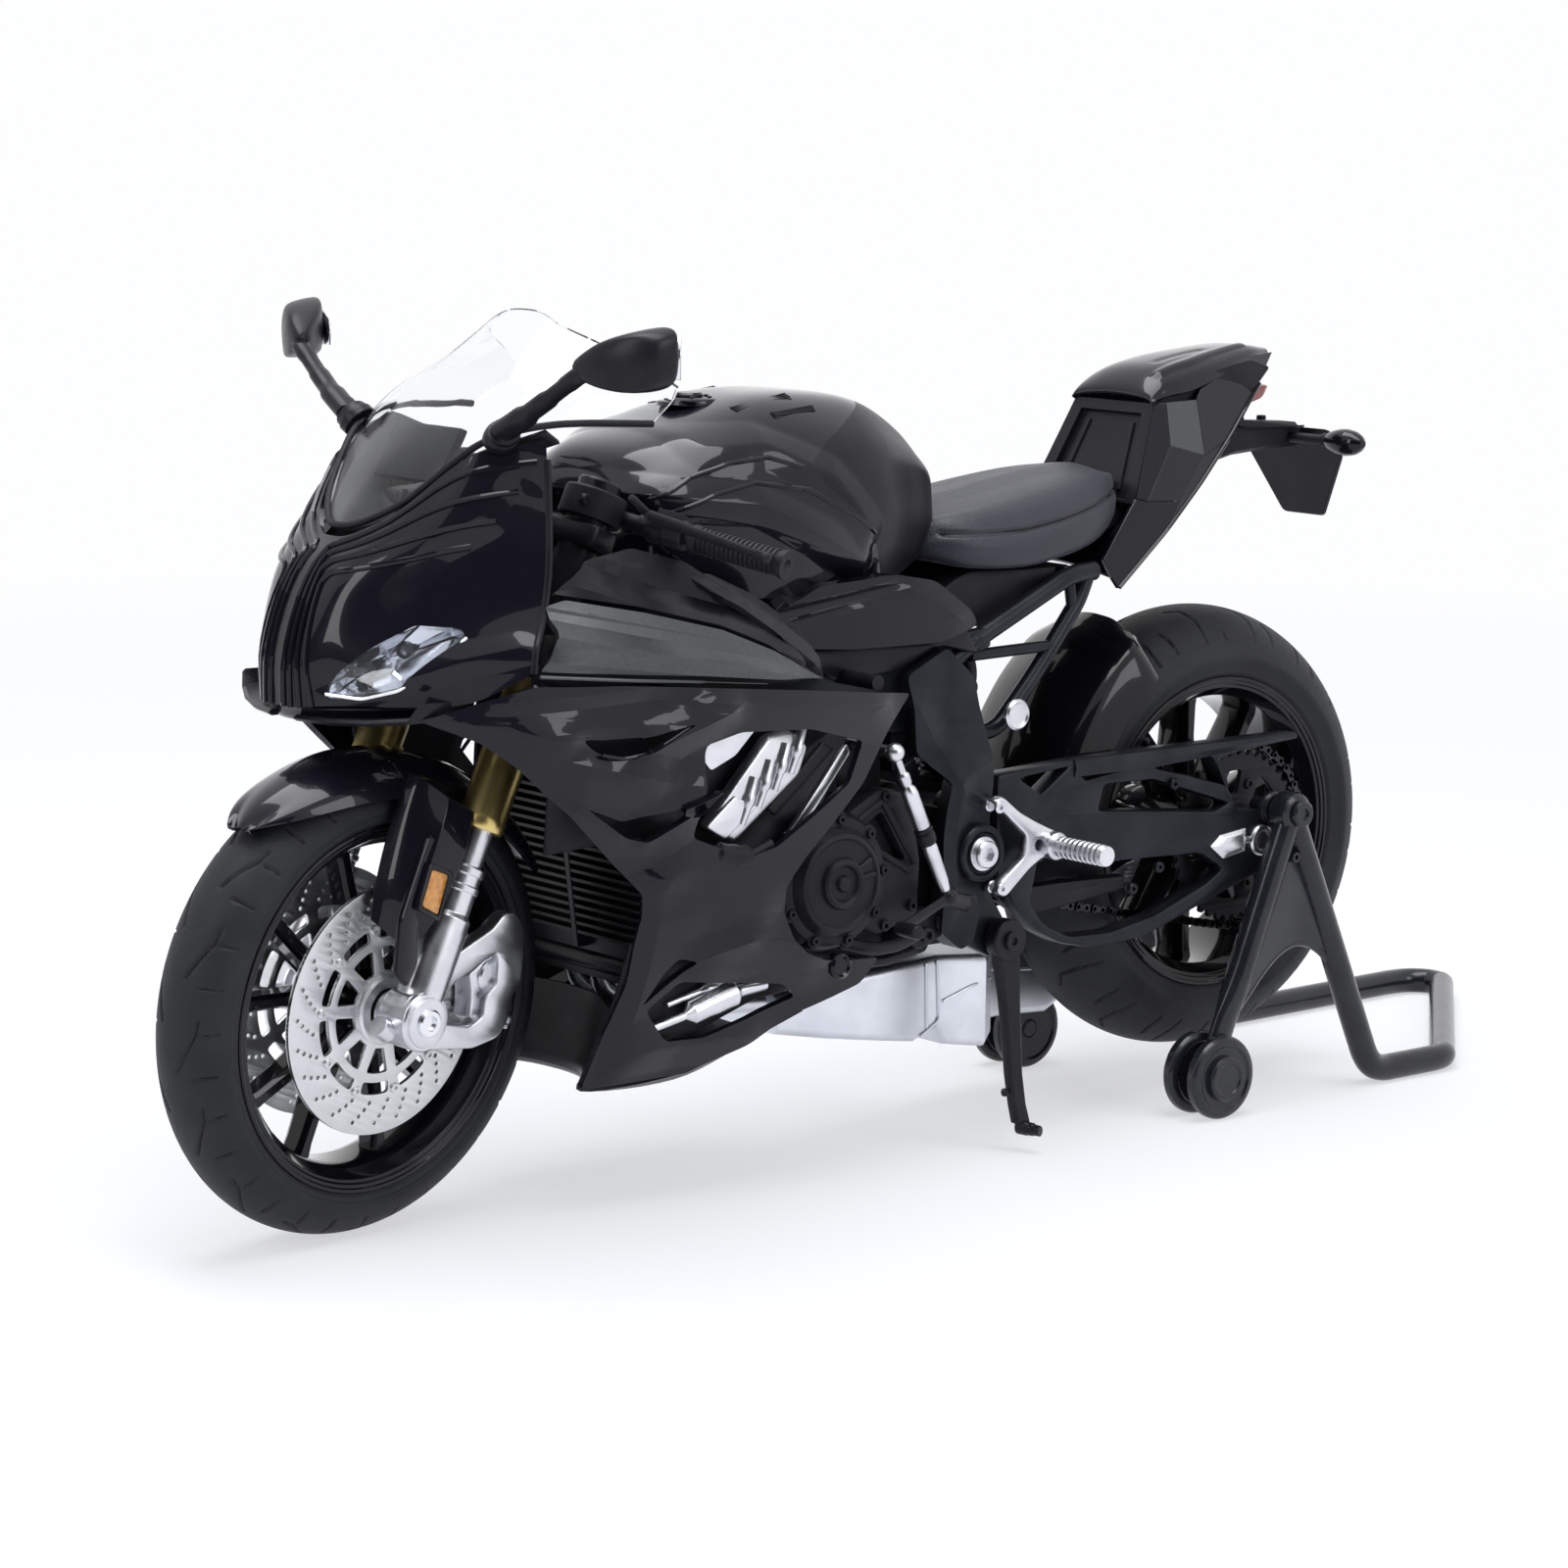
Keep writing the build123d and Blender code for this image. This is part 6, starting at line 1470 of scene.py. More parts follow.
screen_rows = [
    [(81.5, 0, 99.4), (80.4, 4, 100.0), (76.4, 9.5, 103.4), (70.6, 13.8, 109.4), (66.0, 16.5, 112.1),
        (58.0, 19.3, 113.5), (44.0, 21.5, 113.1)],
    [(70.0, 0, 111.9), (69.0, 4.4, 112.5), (66.4, 9.3, 114.1), (62.4, 13.5, 116.3), (58.4, 16.3, 117.5),
        (51.0, 19.1, 118.1), (40.0, 20.7, 115.9)],
    [(50.0, 0, 128.0), (50.0, 4.0, 127.7), (50.0, 8.0, 126.3), (48.0, 12.0, 124.6), (45.5, 14.0, 123.2),
        (42.0, 16.3, 121.4), (37.4, 18.9, 117.8)],
]
screen_grid = pressed(smooth_rows(whole_rows(screen_rows), 12), (40, 0, 100), [])
build("screen_shown", [grid_part(screen_grid)], clear, "chassis", "windscreen", None, 0.08,
    thickness=0.65, angle=40, inward=(40, 0, 90))
hem = [tuple(p) for p in screen_grid[0][::4]]
build("screen_seal", [tube(hem, 0.5, 1.0, 8)], matt_black, "chassis")

nose_box = plate(soften([(85.0, 78.0), (83.0, 90.0), (76.0, 98.0), (66.0, 103.0), (58.0, 103.0),
    (66.0, 84.0), (74.0, 78.0)], 1.5, 3), -11.0, 11.0, edge=1.0)
build("nose_inside", [nose_box], matt_black, "chassis", (), None, 0.1)
dial = [plate(soften([(68.8, 104.4), (70.6, 105.2), (66.4, 112.4), (65.0, 111.9)], 0.3, 2), -7.8, 7.8,
    edge=0.4)]
build("dash_shown", dial, matt_black, "chassis", "dash")
glass_face = [[(64.75, y, 111.4), (68.35, y, 104.7)] for y in (-6.6, 6.6)]
build("dash_glass", [grid_part(np.array(glass_face, float))], chrome_black, "chassis", (),
    None, thickness=0.2, inward=(72, 0, 109))
front_shelf = [[(80.6, 0, 99.0), (79.4, 5, 99.8), (75.4, 9.2, 103.0), (69.6, 13.4, 109.0),
    (60.0, 18.4, 112.8)],
               [(70.0, 0, 101.0), (69.6, 4.5, 101.4), (68.0, 8.4, 103.2), (64.0, 12.0, 108.0),
                   (56.0, 16.0, 111.0)]]
build("dash_shelf", [grid_part(smooth_rows(whole_rows(front_shelf), 8))], matt_black, "chassis",
    (), None, thickness=0.6, inward=(66, 0, 90))
print("nose, lamps and screen done")

# %% [markdown]
# Mirrors. Angular matt housings that grow from thin stalks. Each is a loft through four-cornered
# sections with soft corners, and the glass is a separate bright plate let into the back.

# %% Mirrors
def mirror_ring(y, x0, x1, z0, z1):
    bevel = (z1 - z0) * 0.2
    mid = (z0 + z1) / 2
    return [Vector((x, y, z)) for x, z in ((x0, z0 + bevel), (x0 + 0.4, z0 + 0.1), (x1 - 0.4, z0),
        (x1, z0 + 0.3), (x1 + 0.4, mid),
                                           (x1, z1 - bevel), (x1 - 0.8, z1 - bevel * 0.4), (x0 + 0.4,
                                               z1), (x0, z1 - 0.2), (x0 - 0.3, mid))]


mirror_stations = [(32.6, 64.8, 66.4, 121.2, 123.4), (34.4, 62.6, 66.2, 120.4, 124.8),
    (37.0, 59.2, 65.7, 119.5, 126.8),
                   (41.4, 56.8, 63.5, 118.9, 128.2), (43.6, 57.0, 61.8, 119.8, 127.6), (44.6, 57.6, 60.4,
                       121.0, 126.6)]
head = loft([mirror_ring(*s) for s in mirror_stations])
stalk = tube([(67.2, 18.5, 112.8), (66.8, 23.6, 115.4), (66.0, 29.4, 118.8), (65.4, 33.6, 121.4),
    (64.6, 37.0, 122.8)], [2.1, 1.7, 1.45, 1.6, 1.2], 3, 20, 0.7)
foot = tube([(66.4, 16.8, 111.6), (66.8, 18.2, 112.6), (67.0, 20.4, 113.8)], [2.8, 2.5, 1.8], 1, 20, 0.8)
build("mirrors_shown", both_sides([stalk, foot]), satin_black, "chassis", "mirrors", None,
    0.2, angle=40)
build("mirror_heads", both_sides([head]), satin_black, "chassis", (), None, 0, 2, angle=50)
glass = [[(59.0, 36.0, 121.2), (56.3, 43.2, 120.8)], [(58.8, 36.2, 125.0), (56.4, 43.4, 126.6)]]
build("mirror_glass", both_sides([grid_part(np.array(glass, float))]), polished, "chassis", (),
    None, thickness=0.25,
      inward=(62, 0, 123))
print("mirrors done")

# %% [markdown]
# Tank. A broad smooth shell over a dark rear cover that the rider's knees hold. Two shut lines
# run along the top, a crease runs down the flank, and two dark grilles sit near the crown.

# %% Tank and rear cover
tank_stations = [
    # x, top z, shoulder (y, z), widest (y, z), bottom (y, z)
    (39.4, 107.3, 10.8, 104.8, 15.8, 98.9, 13.4, 92.5), (30.0, 111.2, 14.2, 108.6, 19.1, 101.0, 15.9,
        88.7),
    (15.0, 115.1, 14.8, 111.3, 20.2, 99.5, 16.9, 86.3), (0.0, 114.8, 13.0, 110.8, 18.1, 99.5, 15.1, 86.3),
    (-10.0, 111.8, 9.6, 108.3, 13.9, 98.5, 11.9, 88.3), (-18.3, 105.8, 5.7, 103.8, 8.9, 98.0, 7.9, 92.1),
]
tank_rows = []
for x, top, sy, sz, wy, wz, by, bz in tank_stations:
    tank_rows.append([(x, 0, top), (x, sy * 0.6, top - 0.6), (x, sy, sz),
        (x, (sy + wy) / 2 + 1.0, (sz + wz) / 2 + 0.8), (x, wy, wz),
                      (x, (wy + by) / 2 + 0.6, (wz + bz) / 2), (x, by, bz)])
for end, shift in ((0, 0.1), (-1, -0.1)):
    cap_row = [(x + shift, y * 0.2, 97 + (z - 97) * 0.25) for x, y, z in tank_rows[end]]
    tank_rows = [cap_row] + tank_rows if end == 0 else tank_rows + [cap_row]
tank_lines = [
    ([(40.0, 102.4), (23.6, 100.6), (3.1, 91.4)], 3.2, 1.1, (0, 2)), ([(38.0, 98.0), (22.6, 95.2),
        (4.0, 88.4)], 2.4, -0.7, (0, 2)),
    ([(30.0, 108.2), (21.0, 108.6), (10.0, 104.0), (2.0, 96.0)], 3.4, 0.8, (0, 2)),
]
tank_grid = pressed(smooth_rows(whole_rows(tank_rows), 22), (8, 0, 97), tank_lines)
rear_outline = [(-30, 80), (-30, 125), (-7, 125), (-4.6, 113.4), (2.0, 111.4), (8.6, 108.8),
    (13.2, 106.2), (12.0, 103.4), (7.0, 99.8),
                (2.1, 96.4), (-0.6, 93.2), (-3, 89), (-5, 80)]
tank_front, tank_rear = punched(grid_part(tank_grid), rear_outline, (0, 2))
build("tank_shown", [tank_front], body_black, "chassis", "tank", None, 0.16, thickness=0.9,
    angle=40, inward=(8, 0, 97))
build("tank_rear_shown", [tank_rear], satin_black, "chassis", "tank_rear_cover", None, 0.16,
    thickness=0.9, angle=40, inward=(0, 0, 97))


def on_tank(x, y):
    """Height of the tank at a place in the top view."""
    gap = np.hypot(tank_grid[..., 0] - x, tank_grid[..., 1] - y) + np.where(tank_grid[..., 2] < 98, 50, 0)
    i, j = np.unravel_index(np.argmin(gap), gap.shape)
    return float(tank_grid[i, j, 2])


def on_tank_side(x, z):
    """Point of the tank's left flank at a place in the side view."""
    gap = np.hypot(tank_grid[..., 0] - x, tank_grid[..., 2] - z) + np.where(tank_grid[..., 1] < 2, 50, 0)
    order = np.argsort(gap, axis=None)[:6]
    near = tank_grid.reshape(-1, 3)[order]
    weight = 1 / (gap.reshape(-1)[order] + 0.05)
    return (x, float(np.sum(near[:, 1] * weight) / np.sum(weight)), z)


# Shut lines: the upper plates lap over the flank, so each joint is a rounded black edge.
joints = []
for path in ([(40.8, 101.6), (34.0, 104.8), (27.6, 106.6), (21.0, 107.2), (15.4, 105.6)],
    [(39.4, 99.6), (31.0, 102.6), (24.0, 103.8), (14.6, 102.4), (6.0, 98.4), (1.0, 95.4)]):
    fine = [Vector((a[0], 0, a[1])).lerp(Vector((b[0], 0, b[1])), s / 6) for a,
        b in zip(path, path[1:]) for s in range(6)] + [Vector((path[-1][0], 0, path[-1][1]))]
    joints.append(tube([on_tank_side(p.x, p.z) for p in fine], 0.38, 0, 8))
build("tank_joints", both_sides(joints), body_black, "chassis")
grilles = []
for corners in (((20.4, 8.6), (9.6, 7.6), (9.8, 10.0), (20.4, 10.8)),
    ((16.0, 12.6), (7.4, 11.4), (7.6, 12.8), (15.8, 13.8))):
    top_ring = [Vector((x, y, on_tank(x, y) + 0.12)) for x, y in corners]
    grilles.append(loft([[p - Vector((0, 0, 0.8)) for p in top_ring], top_ring]))
    a, b, c, d = top_ring
    for k in range(1, 4):
        t = k / 4
        grilles.append(rod(tuple(a.lerp(d, t) + Vector((0, 0, 0.1))),
            tuple(b.lerp(c, t) + Vector((0, 0, 0.1))), 0.16, 8, 0))
build("tank_grilles", both_sides(grilles), matt_black, "chassis", (), None, 0.1)
filler_z = on_tank(21, 0)
filler = [upright([(0, 0.2), (4.0, 0.2), (4.4, 0.0), (4.6, -0.4), (4.6, -0.8), (0, -0.8)], 40,
    (21.0, 0, filler_z + 0.35)),
          upright([(0, 0.9), (1.9, 0.9), (2.2, 0.6), (2.2, 0), (0, 0)], 28, (21.0, 0, filler_z + 0.35))]
for k in range(6):
    a = math.pi * k / 3
    filler.append(upright([(0, 0.35), (0.35, 0.3), (0.35, 0), (0, 0)], 10,
        (21.0 + 3.3 * math.cos(a), 3.3 * math.sin(a), filler_z + 0.5)))
build("tank_filler", filler, chrome_black, "chassis")
print("tank done")

# %% [markdown]
# Seat. The rider's pad is foam under leathercloth: it crowns along the middle, rolls over its
# edges and is sewn along each side, where the top meets the skirt. The surface goes through
# sections across the seat, and the seam is pressed in and then followed by a thin piping.

# %% Seat
seat_stations = [
    # x, middle z, top (y, z), seam (y, z), skirt (y, z), hem (y, z)
    (-14.4, 93.9, 4.6, 93.7, 8.2, 92.4, 8.8, 91.4, 8.4, 90.2), (-17.6, 95.7, 7.4, 95.4, 12.4, 93.6, 13.2,
        91.9, 12.4, 89.3),
    (-23.0, 97.1, 9.0, 96.7, 15.0, 93.5, 15.7, 91.0, 14.6, 88.3), (-32.0, 98.5, 9.4, 98.1, 15.4, 93.6,
        15.9, 90.6, 14.8, 88.0),
    (-40.0, 99.8, 8.8, 99.4, 14.8, 94.6, 15.2, 91.5, 13.8, 88.8), (-48.0, 100.9, 7.6, 100.5, 13.1, 96.0,
        13.5, 93.1, 12.2, 90.3),
    (-54.0, 101.2, 5.9, 100.8, 10.4, 97.3, 10.8, 95.0, 9.6, 92.9), (-57.8, 100.2, 3.6, 100.0, 6.6, 98.2,
        6.8, 96.8, 6.0, 95.8),
]
seat_rows = []
for x, mz, ty, tz, sy, sz, ky, kz, hy, hz in seat_stations:
    seat_rows.append([(x, 0, mz), (x, ty, tz), (x, (ty + sy) / 2 + 0.7, (tz + sz) / 2 + 0.9), (x, sy, sz),
        (x, ky, kz), (x, hy, hz), (x, hy * 0.5, hz)])
for end, shift in ((0, 0.5), (-1, -0.9)):
    cap_row = [(x + shift, y * 0.25, 93.5 + (z - 93.5) * 0.4 + (3 if end else 0)) for x, y,
        z in seat_rows[end]]
    seat_rows = [cap_row] + seat_rows if end == 0 else seat_rows + [cap_row]
seam_path = [(-17.6, 93.6), (-23.0, 93.5), (-32.0, 93.6), (-40.0, 94.6), (-48.0, 96.0), (-54.0, 97.3),
    (-57.8, 98.2)]
seat_lines = [(seam_path, 0.55, -0.4, (0, 2)), (seam_path, 3.0, -0.25, (0, 2)),
              ([(-16, 0), (-30, 0), (-44, 0), (-56, 0)], 5.0, 0.35, (0, 1))]
seat_grid = pressed(smooth_rows(whole_rows(seat_rows), 12), (-36, 0, 93), seat_lines)
pad = build("seat_pad", [grid_part(seat_grid)], seat_cloth, "chassis", "seat", None, 0,
    angle=60)


def on_flank(grid, x, z, lift=0.0):
    """Point on the left flank of a surface at a place in the side view."""
    gap = np.hypot(grid[..., 0] - x, grid[..., 2] - z) + np.where(grid[..., 1] < 2, 50, 0)
    i, j = np.unravel_index(np.argmin(gap), gap.shape)
    return (float(grid[i, j, 0]), float(grid[i, j, 1]) + lift, float(grid[i, j, 2]))


piping = [on_flank(seat_grid, x, z, -0.05) for x, z in seam_path[:-1]]
build("seat_piping", both_sides([tube(piping, 0.26, 2.5, 8)]), grip_rubber, "chassis")
base_rows = [[(-15.0, 0, 90.6), (-15.6, 8.0, 90.6)], [(-22.0, 0, 88.6), (-22.0, 13.8, 88.6)],
    [(-33.0, 0, 88.0), (-33.0, 14.2, 88.1)],
             [(-44.0, 0, 89.4), (-44.0, 12.4, 89.6)], [(-53.0, 0, 92.6), (-52.6, 9.0, 92.6)]]
build("seat_base", [grid_part(smooth_rows(whole_rows(base_rows), 4))], matt_black, "chassis",
    (), None, thickness=0.9,
      inward=(-34, 0, 99))
print("seat sewn")

# %% [markdown]
# Tail. A cluster of flat facets under a smooth cover: a framed back panel that faces the rider,
# a bright chamfer beside it, black sides that fold towards a thin lower edge, and a pair of
# wings that run back to the point. The facets are listed corner by corner and share edges.

# %% Tail cowl
cover_stations = [
    # x, middle z, (y, z) three times outwards; the first two rows are the front lip
    (-64.6, 111.0, 4.0, 110.9, 7.6, 110.6, 8.8, 110.0), (-63.2, 112.8, 4.2, 112.6, 7.8, 112.0, 9.1,
        111.0),
    (-66.6, 115.8, 4.8, 115.4, 8.2, 114.1, 9.4, 112.0), (-72.0, 117.3, 4.9, 116.9, 8.0, 115.3, 9.3,
        112.7),
    (-80.0, 118.4, 4.4, 118.0, 6.8, 116.8, 8.0, 114.8), (-88.4, 118.9, 3.1, 118.8, 4.7, 118.2, 5.5,
        117.1), (-94.6, 118.3, 1.6, 118.2, 2.6, 117.9, 3.0, 117.3)]
cover_rows = [[(x, 0, z), (x, a, b), (x, c, d), (x, e, f)] for x, z, a, b, c, d, e, f in cover_stations]
cover_lines = [([(-67, 6.4), (-74, 6.0), (-88, 3.2)], 1.0, 0.4, (0, 1)),
    ([(-70, 2.8), (-80, 2.4)], 0.9, -0.3, (0, 1))]
cover_grid = pressed(smooth_rows(whole_rows(cover_rows), 10), (-66, 0, 108), cover_lines)
build("tail_cover", [grid_part(cover_grid)], body_black, "chassis", "tail_cowl", None,
    0.12, thickness=0.9, angle=40,
      inward=(-66, 0, 105))
corners = {
    "a": (-63.8, 8.8, 110.8), "b": (-57.6, 11.8, 96.6), "c": (-65.6, 9.9, 111.0), "d": (-64.3, 12.4,
        104.5), "e": (-72.3, 9.7, 111.2),
    "f": (-72.4, 11.7, 102.6), "g": (-58.6, 13.4, 96.2), "h": (-65.8, 13.4, 96.0), "i": (-50.2, 14.9,
        85.0), "j": (-51.6, 14.8, 83.4),
    "k": (-62.3, 14.0, 91.6), "l": (-71.0, 12.4, 98.4), "m": (-78.6, 10.8, 105.0), "n": (-88.4, 7.4,
        113.2), "o": (-94.8, 3.8, 117.6),
    "p": (-86.9, 5.6, 117.2), "q": (-73.6, 9.3, 112.8), "r": (-49.0, 14.0, 88.0),
}
facets = {"chamfer": ["acdgb"], "light": ["cefd"], "dark": ["dfhg"], "lower": ["bghkjir"],
    "wing": ["fmlkh"], "rear": ["eqpnmf", "ponp"]}
for name, loops in facets.items():
    points = [Vector(corners[k]) for k in "".join(loops)]
    faces, start = [], 0
    for loop in loops:
        faces.append(tuple(range(start, start + len(loop))))
        start += len(loop)
    finish = gunmetal if name == "light" else body_black
    slot_name = "accent_grey" if name == "light" else "gloss_black"
    pair = [(points, faces), ([MIRROR @ p for p in points], faces)]
    for side, part in zip(("left", "right"), pair):
        build(f"tail_{name}_{side}", [part], finish, "chassis",
            "tail_side_pads" if name == "dark" and side == "left" else (), None,
              0.14, thickness=0.8, angle=10, inward=(-62, 0, 103))
edge_line = [tuple(Vector(corners[k]) + Vector((0, 0.1, 0.1))) for k in "jklm"] + [(-88.2, 7.6, 113.0)]
build("tail_edges", both_sides([tube(edge_line, 0.3, 2, 8)]), rim_black, "chassis")

frame_face = [(-8.8, 110.8), (8.8, 110.8), (11.8, 95.8), (-11.8, 95.8)]
panel_face = [(-6.8, 109.2), (6.8, 109.2), (9.4, 96.2), (-9.4, 96.2)]


def on_back(y, z, sink=0.0):
    """Point of the leaning back panel."""
    return Vector((-57.6 - (z - 96.6) * 0.437 - sink, y, z))


ring_points = [on_back(y, z) for y, z in frame_face] + [on_back(y, z) for y,
    z in panel_face] + [on_back(y * 0.97, z, 1.0) for y, z in panel_face]
ring_faces = [(k, (k + 1) % 4, (k + 1) % 4 + 4, k + 4) for k in range(4)] + [(k + 4, (k + 1) % 4 + 4,
    (k + 1) % 4 + 8, k + 8) for k in range(4)]
ring_faces.append((8, 9, 10, 11))
slab_lines = [rod(tuple(on_back(y * 0.74, 107.6, 0.95)), tuple(on_back(y, 97.4, 0.95)), 0.4, 10,
    0.1) for y in (-6.6, 6.6)]
build("tail_back_panel", [(ring_points, ring_faces)] + slab_lines, satin_black, "chassis",
    (), None, 0.3, angle=20)
core = plate(soften([(-65.4, 110.4), (-66.4, 112.4), (-72.0, 114.6), (-86.0, 117.0), (-90.4, 115.6),
    (-80.0, 105.0), (-71.0, 100.4), (-60.0, 93.0),
                     (-53.0, 90.0), (-59.4, 96.8)], 0.8, 2), -8.0, 8.0, edge=0.5)
build("tail_core", [core], matt_black, "chassis")
tray = [[(-49.6, 0, 86.6), (-50.6, 7, 86.0), (-51.6, 14.0, 84.6)],
    [(-61.0, 0, 95.2), (-61.4, 6.5, 94.6), (-62.0, 13.0, 94.0)],
        [(-71.0, 0, 100.0), (-71.0, 6, 99.6), (-71.2, 11.6, 99.0)], [(-79.0, 0, 105.4), (-79.0, 5, 105.0),
            (-78.8, 10.0, 104.4)],
        [(-83.0, 0, 108.0), (-83.0, 5, 107.8), (-83.4, 9.0, 108.4)]]
build("tail_tray", [grid_part(smooth_rows(whole_rows(tray), 4))], body_black, "chassis",
    (), None, thickness=0.8, inward=(-60, 0, 110))
lens_shape = [plate(soften([(-94.0, 112.4), (-92.6, 110.2), (-88.2, 109.0), (-83.4, 109.0),
    (-86.6, 112.8)], 0.8, 3), -4.3, 4.3, edge=0.7)]
for k in range(-3, 4):
    lens_shape.append(rod((-92.6, k * 1.1, 110.6), (-88.6, k * 1.1, 109.3), 0.3, 8, 0.05))
build("tail_light_shown", lens_shape, lamp_red, "chassis", "tail_light", None, 0.1)
print("tail folded")

# %% [markdown]
# Rear bracket. A matt arm carries a bare plate with five corners and the two indicators, which
# are oval pods with a lens seam.

# %% Licence bracket, plate and indicators
arm_rings = []
for x, low, high, half in ((-80.4, 99.6, 106.4, 3.3), (-88.0, 101.2, 106.6, 3.0),
    (-96.0, 101.8, 106.3, 2.9), (-102.6, 102.0, 105.9, 2.8)):
    arm_rings.append([Vector((x, y * half, z)) for y, z in ((-1, low + 0.7), (-0.6, low), (0.6, low),
        (1, low + 0.7), (1, high - 0.9), (0.6, high), (-0.6, high), (-1, high - 0.9))])
arm_parts = [loft(arm_rings), rod((-100.4, -11.2, 103.6), (-100.4, 11.2, 103.6), 0.85),
    plate(soften([(-102.4, 105.4), (-96, 106.2), (-88, 107.0), (-84, 106.6), (-90, 105.6)], 0.4, 2), -4.4,
    4.4, edge=0.2)]
for x in (-86.5, -91.5, -96.5):
    arm_parts.append(upright([(0, 0.5), (0.7, 0.5), (0.8, 0.3), (0.8, -0.2), (0, -0.2)], 12,
        (x, 0, 106.6)))
for y in (11.0, -11.0):
    arm_parts.append(turned_part([(0, -0.6), (1.2, -0.6), (1.2, 0.6), (0, 0.6)], 16, (-100.4, y, 103.6)))
build("licence_arm", arm_parts, matt_black, "chassis", "licence_bracket", None, 0.15,
    angle=25)
plate_outline = [(-8.4, 105.1), (-10.6, 101.2), (-4.4, 90.7), (4.4, 90.7), (10.6, 101.2), (8.4, 105.1)]
for shape_name, share, back_off, depth, finish in (("plate_shown", 1.0, 0.0, 0.75, satin_black),
    ("plate_face", 0.9, 0.72, 0.14, matt_black)):
    middle_z = 98.4
    face = [Vector((-103.1 - (105.2 - z) * 0.25 - back_off, y * share,
        middle_z + (z - middle_z) * share)) for y, z in soften(plate_outline, 0.8, 3)]
    back_face = [p + Vector((-depth, 0, -depth * 0.2)) for p in face]
    build(shape_name, [loft([face, back_face])], finish, "chassis",
        "number_plate" if shape_name == "plate_shown" else (), None, 0.12, angle=30)
pod = []
for y, r in ((11.3, 0.7), (11.6, 1.35), (12.6, 1.9), (14.2, 2.25), (15.6, 2.3), (17.2, 1.95), (18.3, 1.3),
    (18.9, 0.6)):
    pod.append([Vector((-100.4 + r * math.cos(2 * math.pi * k / 28), y,
        103.6 + r * 0.95 * math.sin(2 * math.pi * k / 28))) for k in range(28)])
build("indicator_pods", both_sides([loft(pod)]), rim_black, "chassis", "indicators", None,
    0)
amber_rings = [[Vector((-100.9 - d + 0.6 * (1 - d), y0 + (y - y0) * s, 103.6 + z * s)) for y, z in
                [(15.2 + 2.7 * math.cos(2 * math.pi * k / 24),
                    1.75 * math.sin(2 * math.pi * k / 24)) for k in range(24)]]
               for y0, s, d in ((15.2, 0.8, 1.2), (15.2, 0.75, 1.55), (15.2, 0.5, 1.8))]
build("indicator_lenses", both_sides([loft(amber_rings)]), amber, "chassis", (), None, 0)
print("tail end done")

# %% [markdown]
# Engine. Castings with soft edges: a block, a leaning head, a gearbox, and a round cover on each
# side with a ring of bolts and a raised inner ring. Ribs with a triangular pocket stiffen the
# case behind the cover. Everything is matt black, so the edges have to carry the shape.

# %% Engine
case = plate(soften([(-2.4, 33.0), (4.0, 30.2), (26.0, 28.2), (32.8, 33.0), (32.8, 50.0), (28.0, 54.8),
    (-2.4, 54.8)], 1.4, 3), -17.8, 17.8, edge=0.9)
head = plate(soften([(2.2, 54.6), (28.0, 54.6), (33.8, 66.0), (30.0, 71.8), (12.0, 71.8), (4.2, 64.0)],
    1.2, 3), -13.5, 13.5, edge=0.8)
gearbox = plate(soften([(-14.2, 39.2), (-2.6, 36.2), (-2.6, 55.0), (-10.8, 56.8), (-14.2, 53.0)], 1.2, 3),
    -10.7, 10.7, edge=0.7)
link = plate(soften([(-7.8, 54.0), (-2.6, 54.0), (3.8, 60.0), (-2.6, 69.2), (-5.8, 67.8), (-7.8, 64.0)],
    1.0, 3), -10.7, 10.7, edge=0.6)
block = [case, head, gearbox, link, rod((-4.0, -13.9, 67.6), (-4.0, 13.9, 67.6), 1.4)]
for k in range(9):
    block.append(plate(soften([(3.4 + k * 0.9, 57.0 + k * 1.5), (28.6 + k * 0.6, 57.0 + k * 1.5),
        (28.6 + k * 0.6, 57.45 + k * 1.5), (3.4 + k * 0.9,
        57.45 + k * 1.5)], 0.15, 1), -14.2, 14.2, edge=0.12))
block.append(turned_part([(0, 10.8), (1.4, 10.8), (1.4, 12.0), (3.9, 12.1), (4.0, 12.6), (3.9, 13.1),
    (0, 13.1)], 30, (-9.0, 0, 46.4)))
build("engine_shown", block, engine_black, "chassis", "engine_block", None, 0.1, angle=28)


def engine_cover(sign, cx, cz):
    def y(value):
        return value * sign

    disc = turned_part([(0, y(17.8)), (10.4, y(17.8)), (10.6, y(20.6)), (10.2, y(21.6)), (9.9, y(22.6)),
        (9.4, y(23.2)), (8.2, y(23.5)),
                        (7.6, y(24.3)), (7.2, y(24.9)), (6.6, y(25.1)), (6.2, y(24.7)), (3.9,
                            y(24.8)), (3.6, y(25.5)), (3.1, y(25.8)),
                        (2.7, y(25.6)), (2.4, y(25.0)), (1.3, y(25.0)), (1.0, y(25.6)), (0,
                            y(25.7))], 72, (cx, 0, cz))
    parts = [disc]
    for k in range(9):
        turn = math.radians(40 * k + 15)
        bx, bz = cx + 9.1 * math.cos(turn), cz + 9.1 * math.sin(turn)
        parts.append(turned_part([(0, y(21.5)), (1.35, y(21.5)), (1.3, y(23.2)), (1.1, y(23.4)),
            (0, y(23.4))], 18, (bx, 0, bz)))
        parts.append(bolt(bx, 23.2 * sign, bz, 0.75, 0.7, sign, 0.4))
    for turn, reach in ((150, 6.2), (172, 6.2)):
        a = math.radians(turn)
        parts.append(rod((cx + 3.4 * math.cos(a), y(24.9), cz + 3.4 * math.sin(a)),
            (cx + reach * math.cos(a), y(24.9), cz + reach * math.sin(a)), 0.4, 10, 0.1))
    return parts


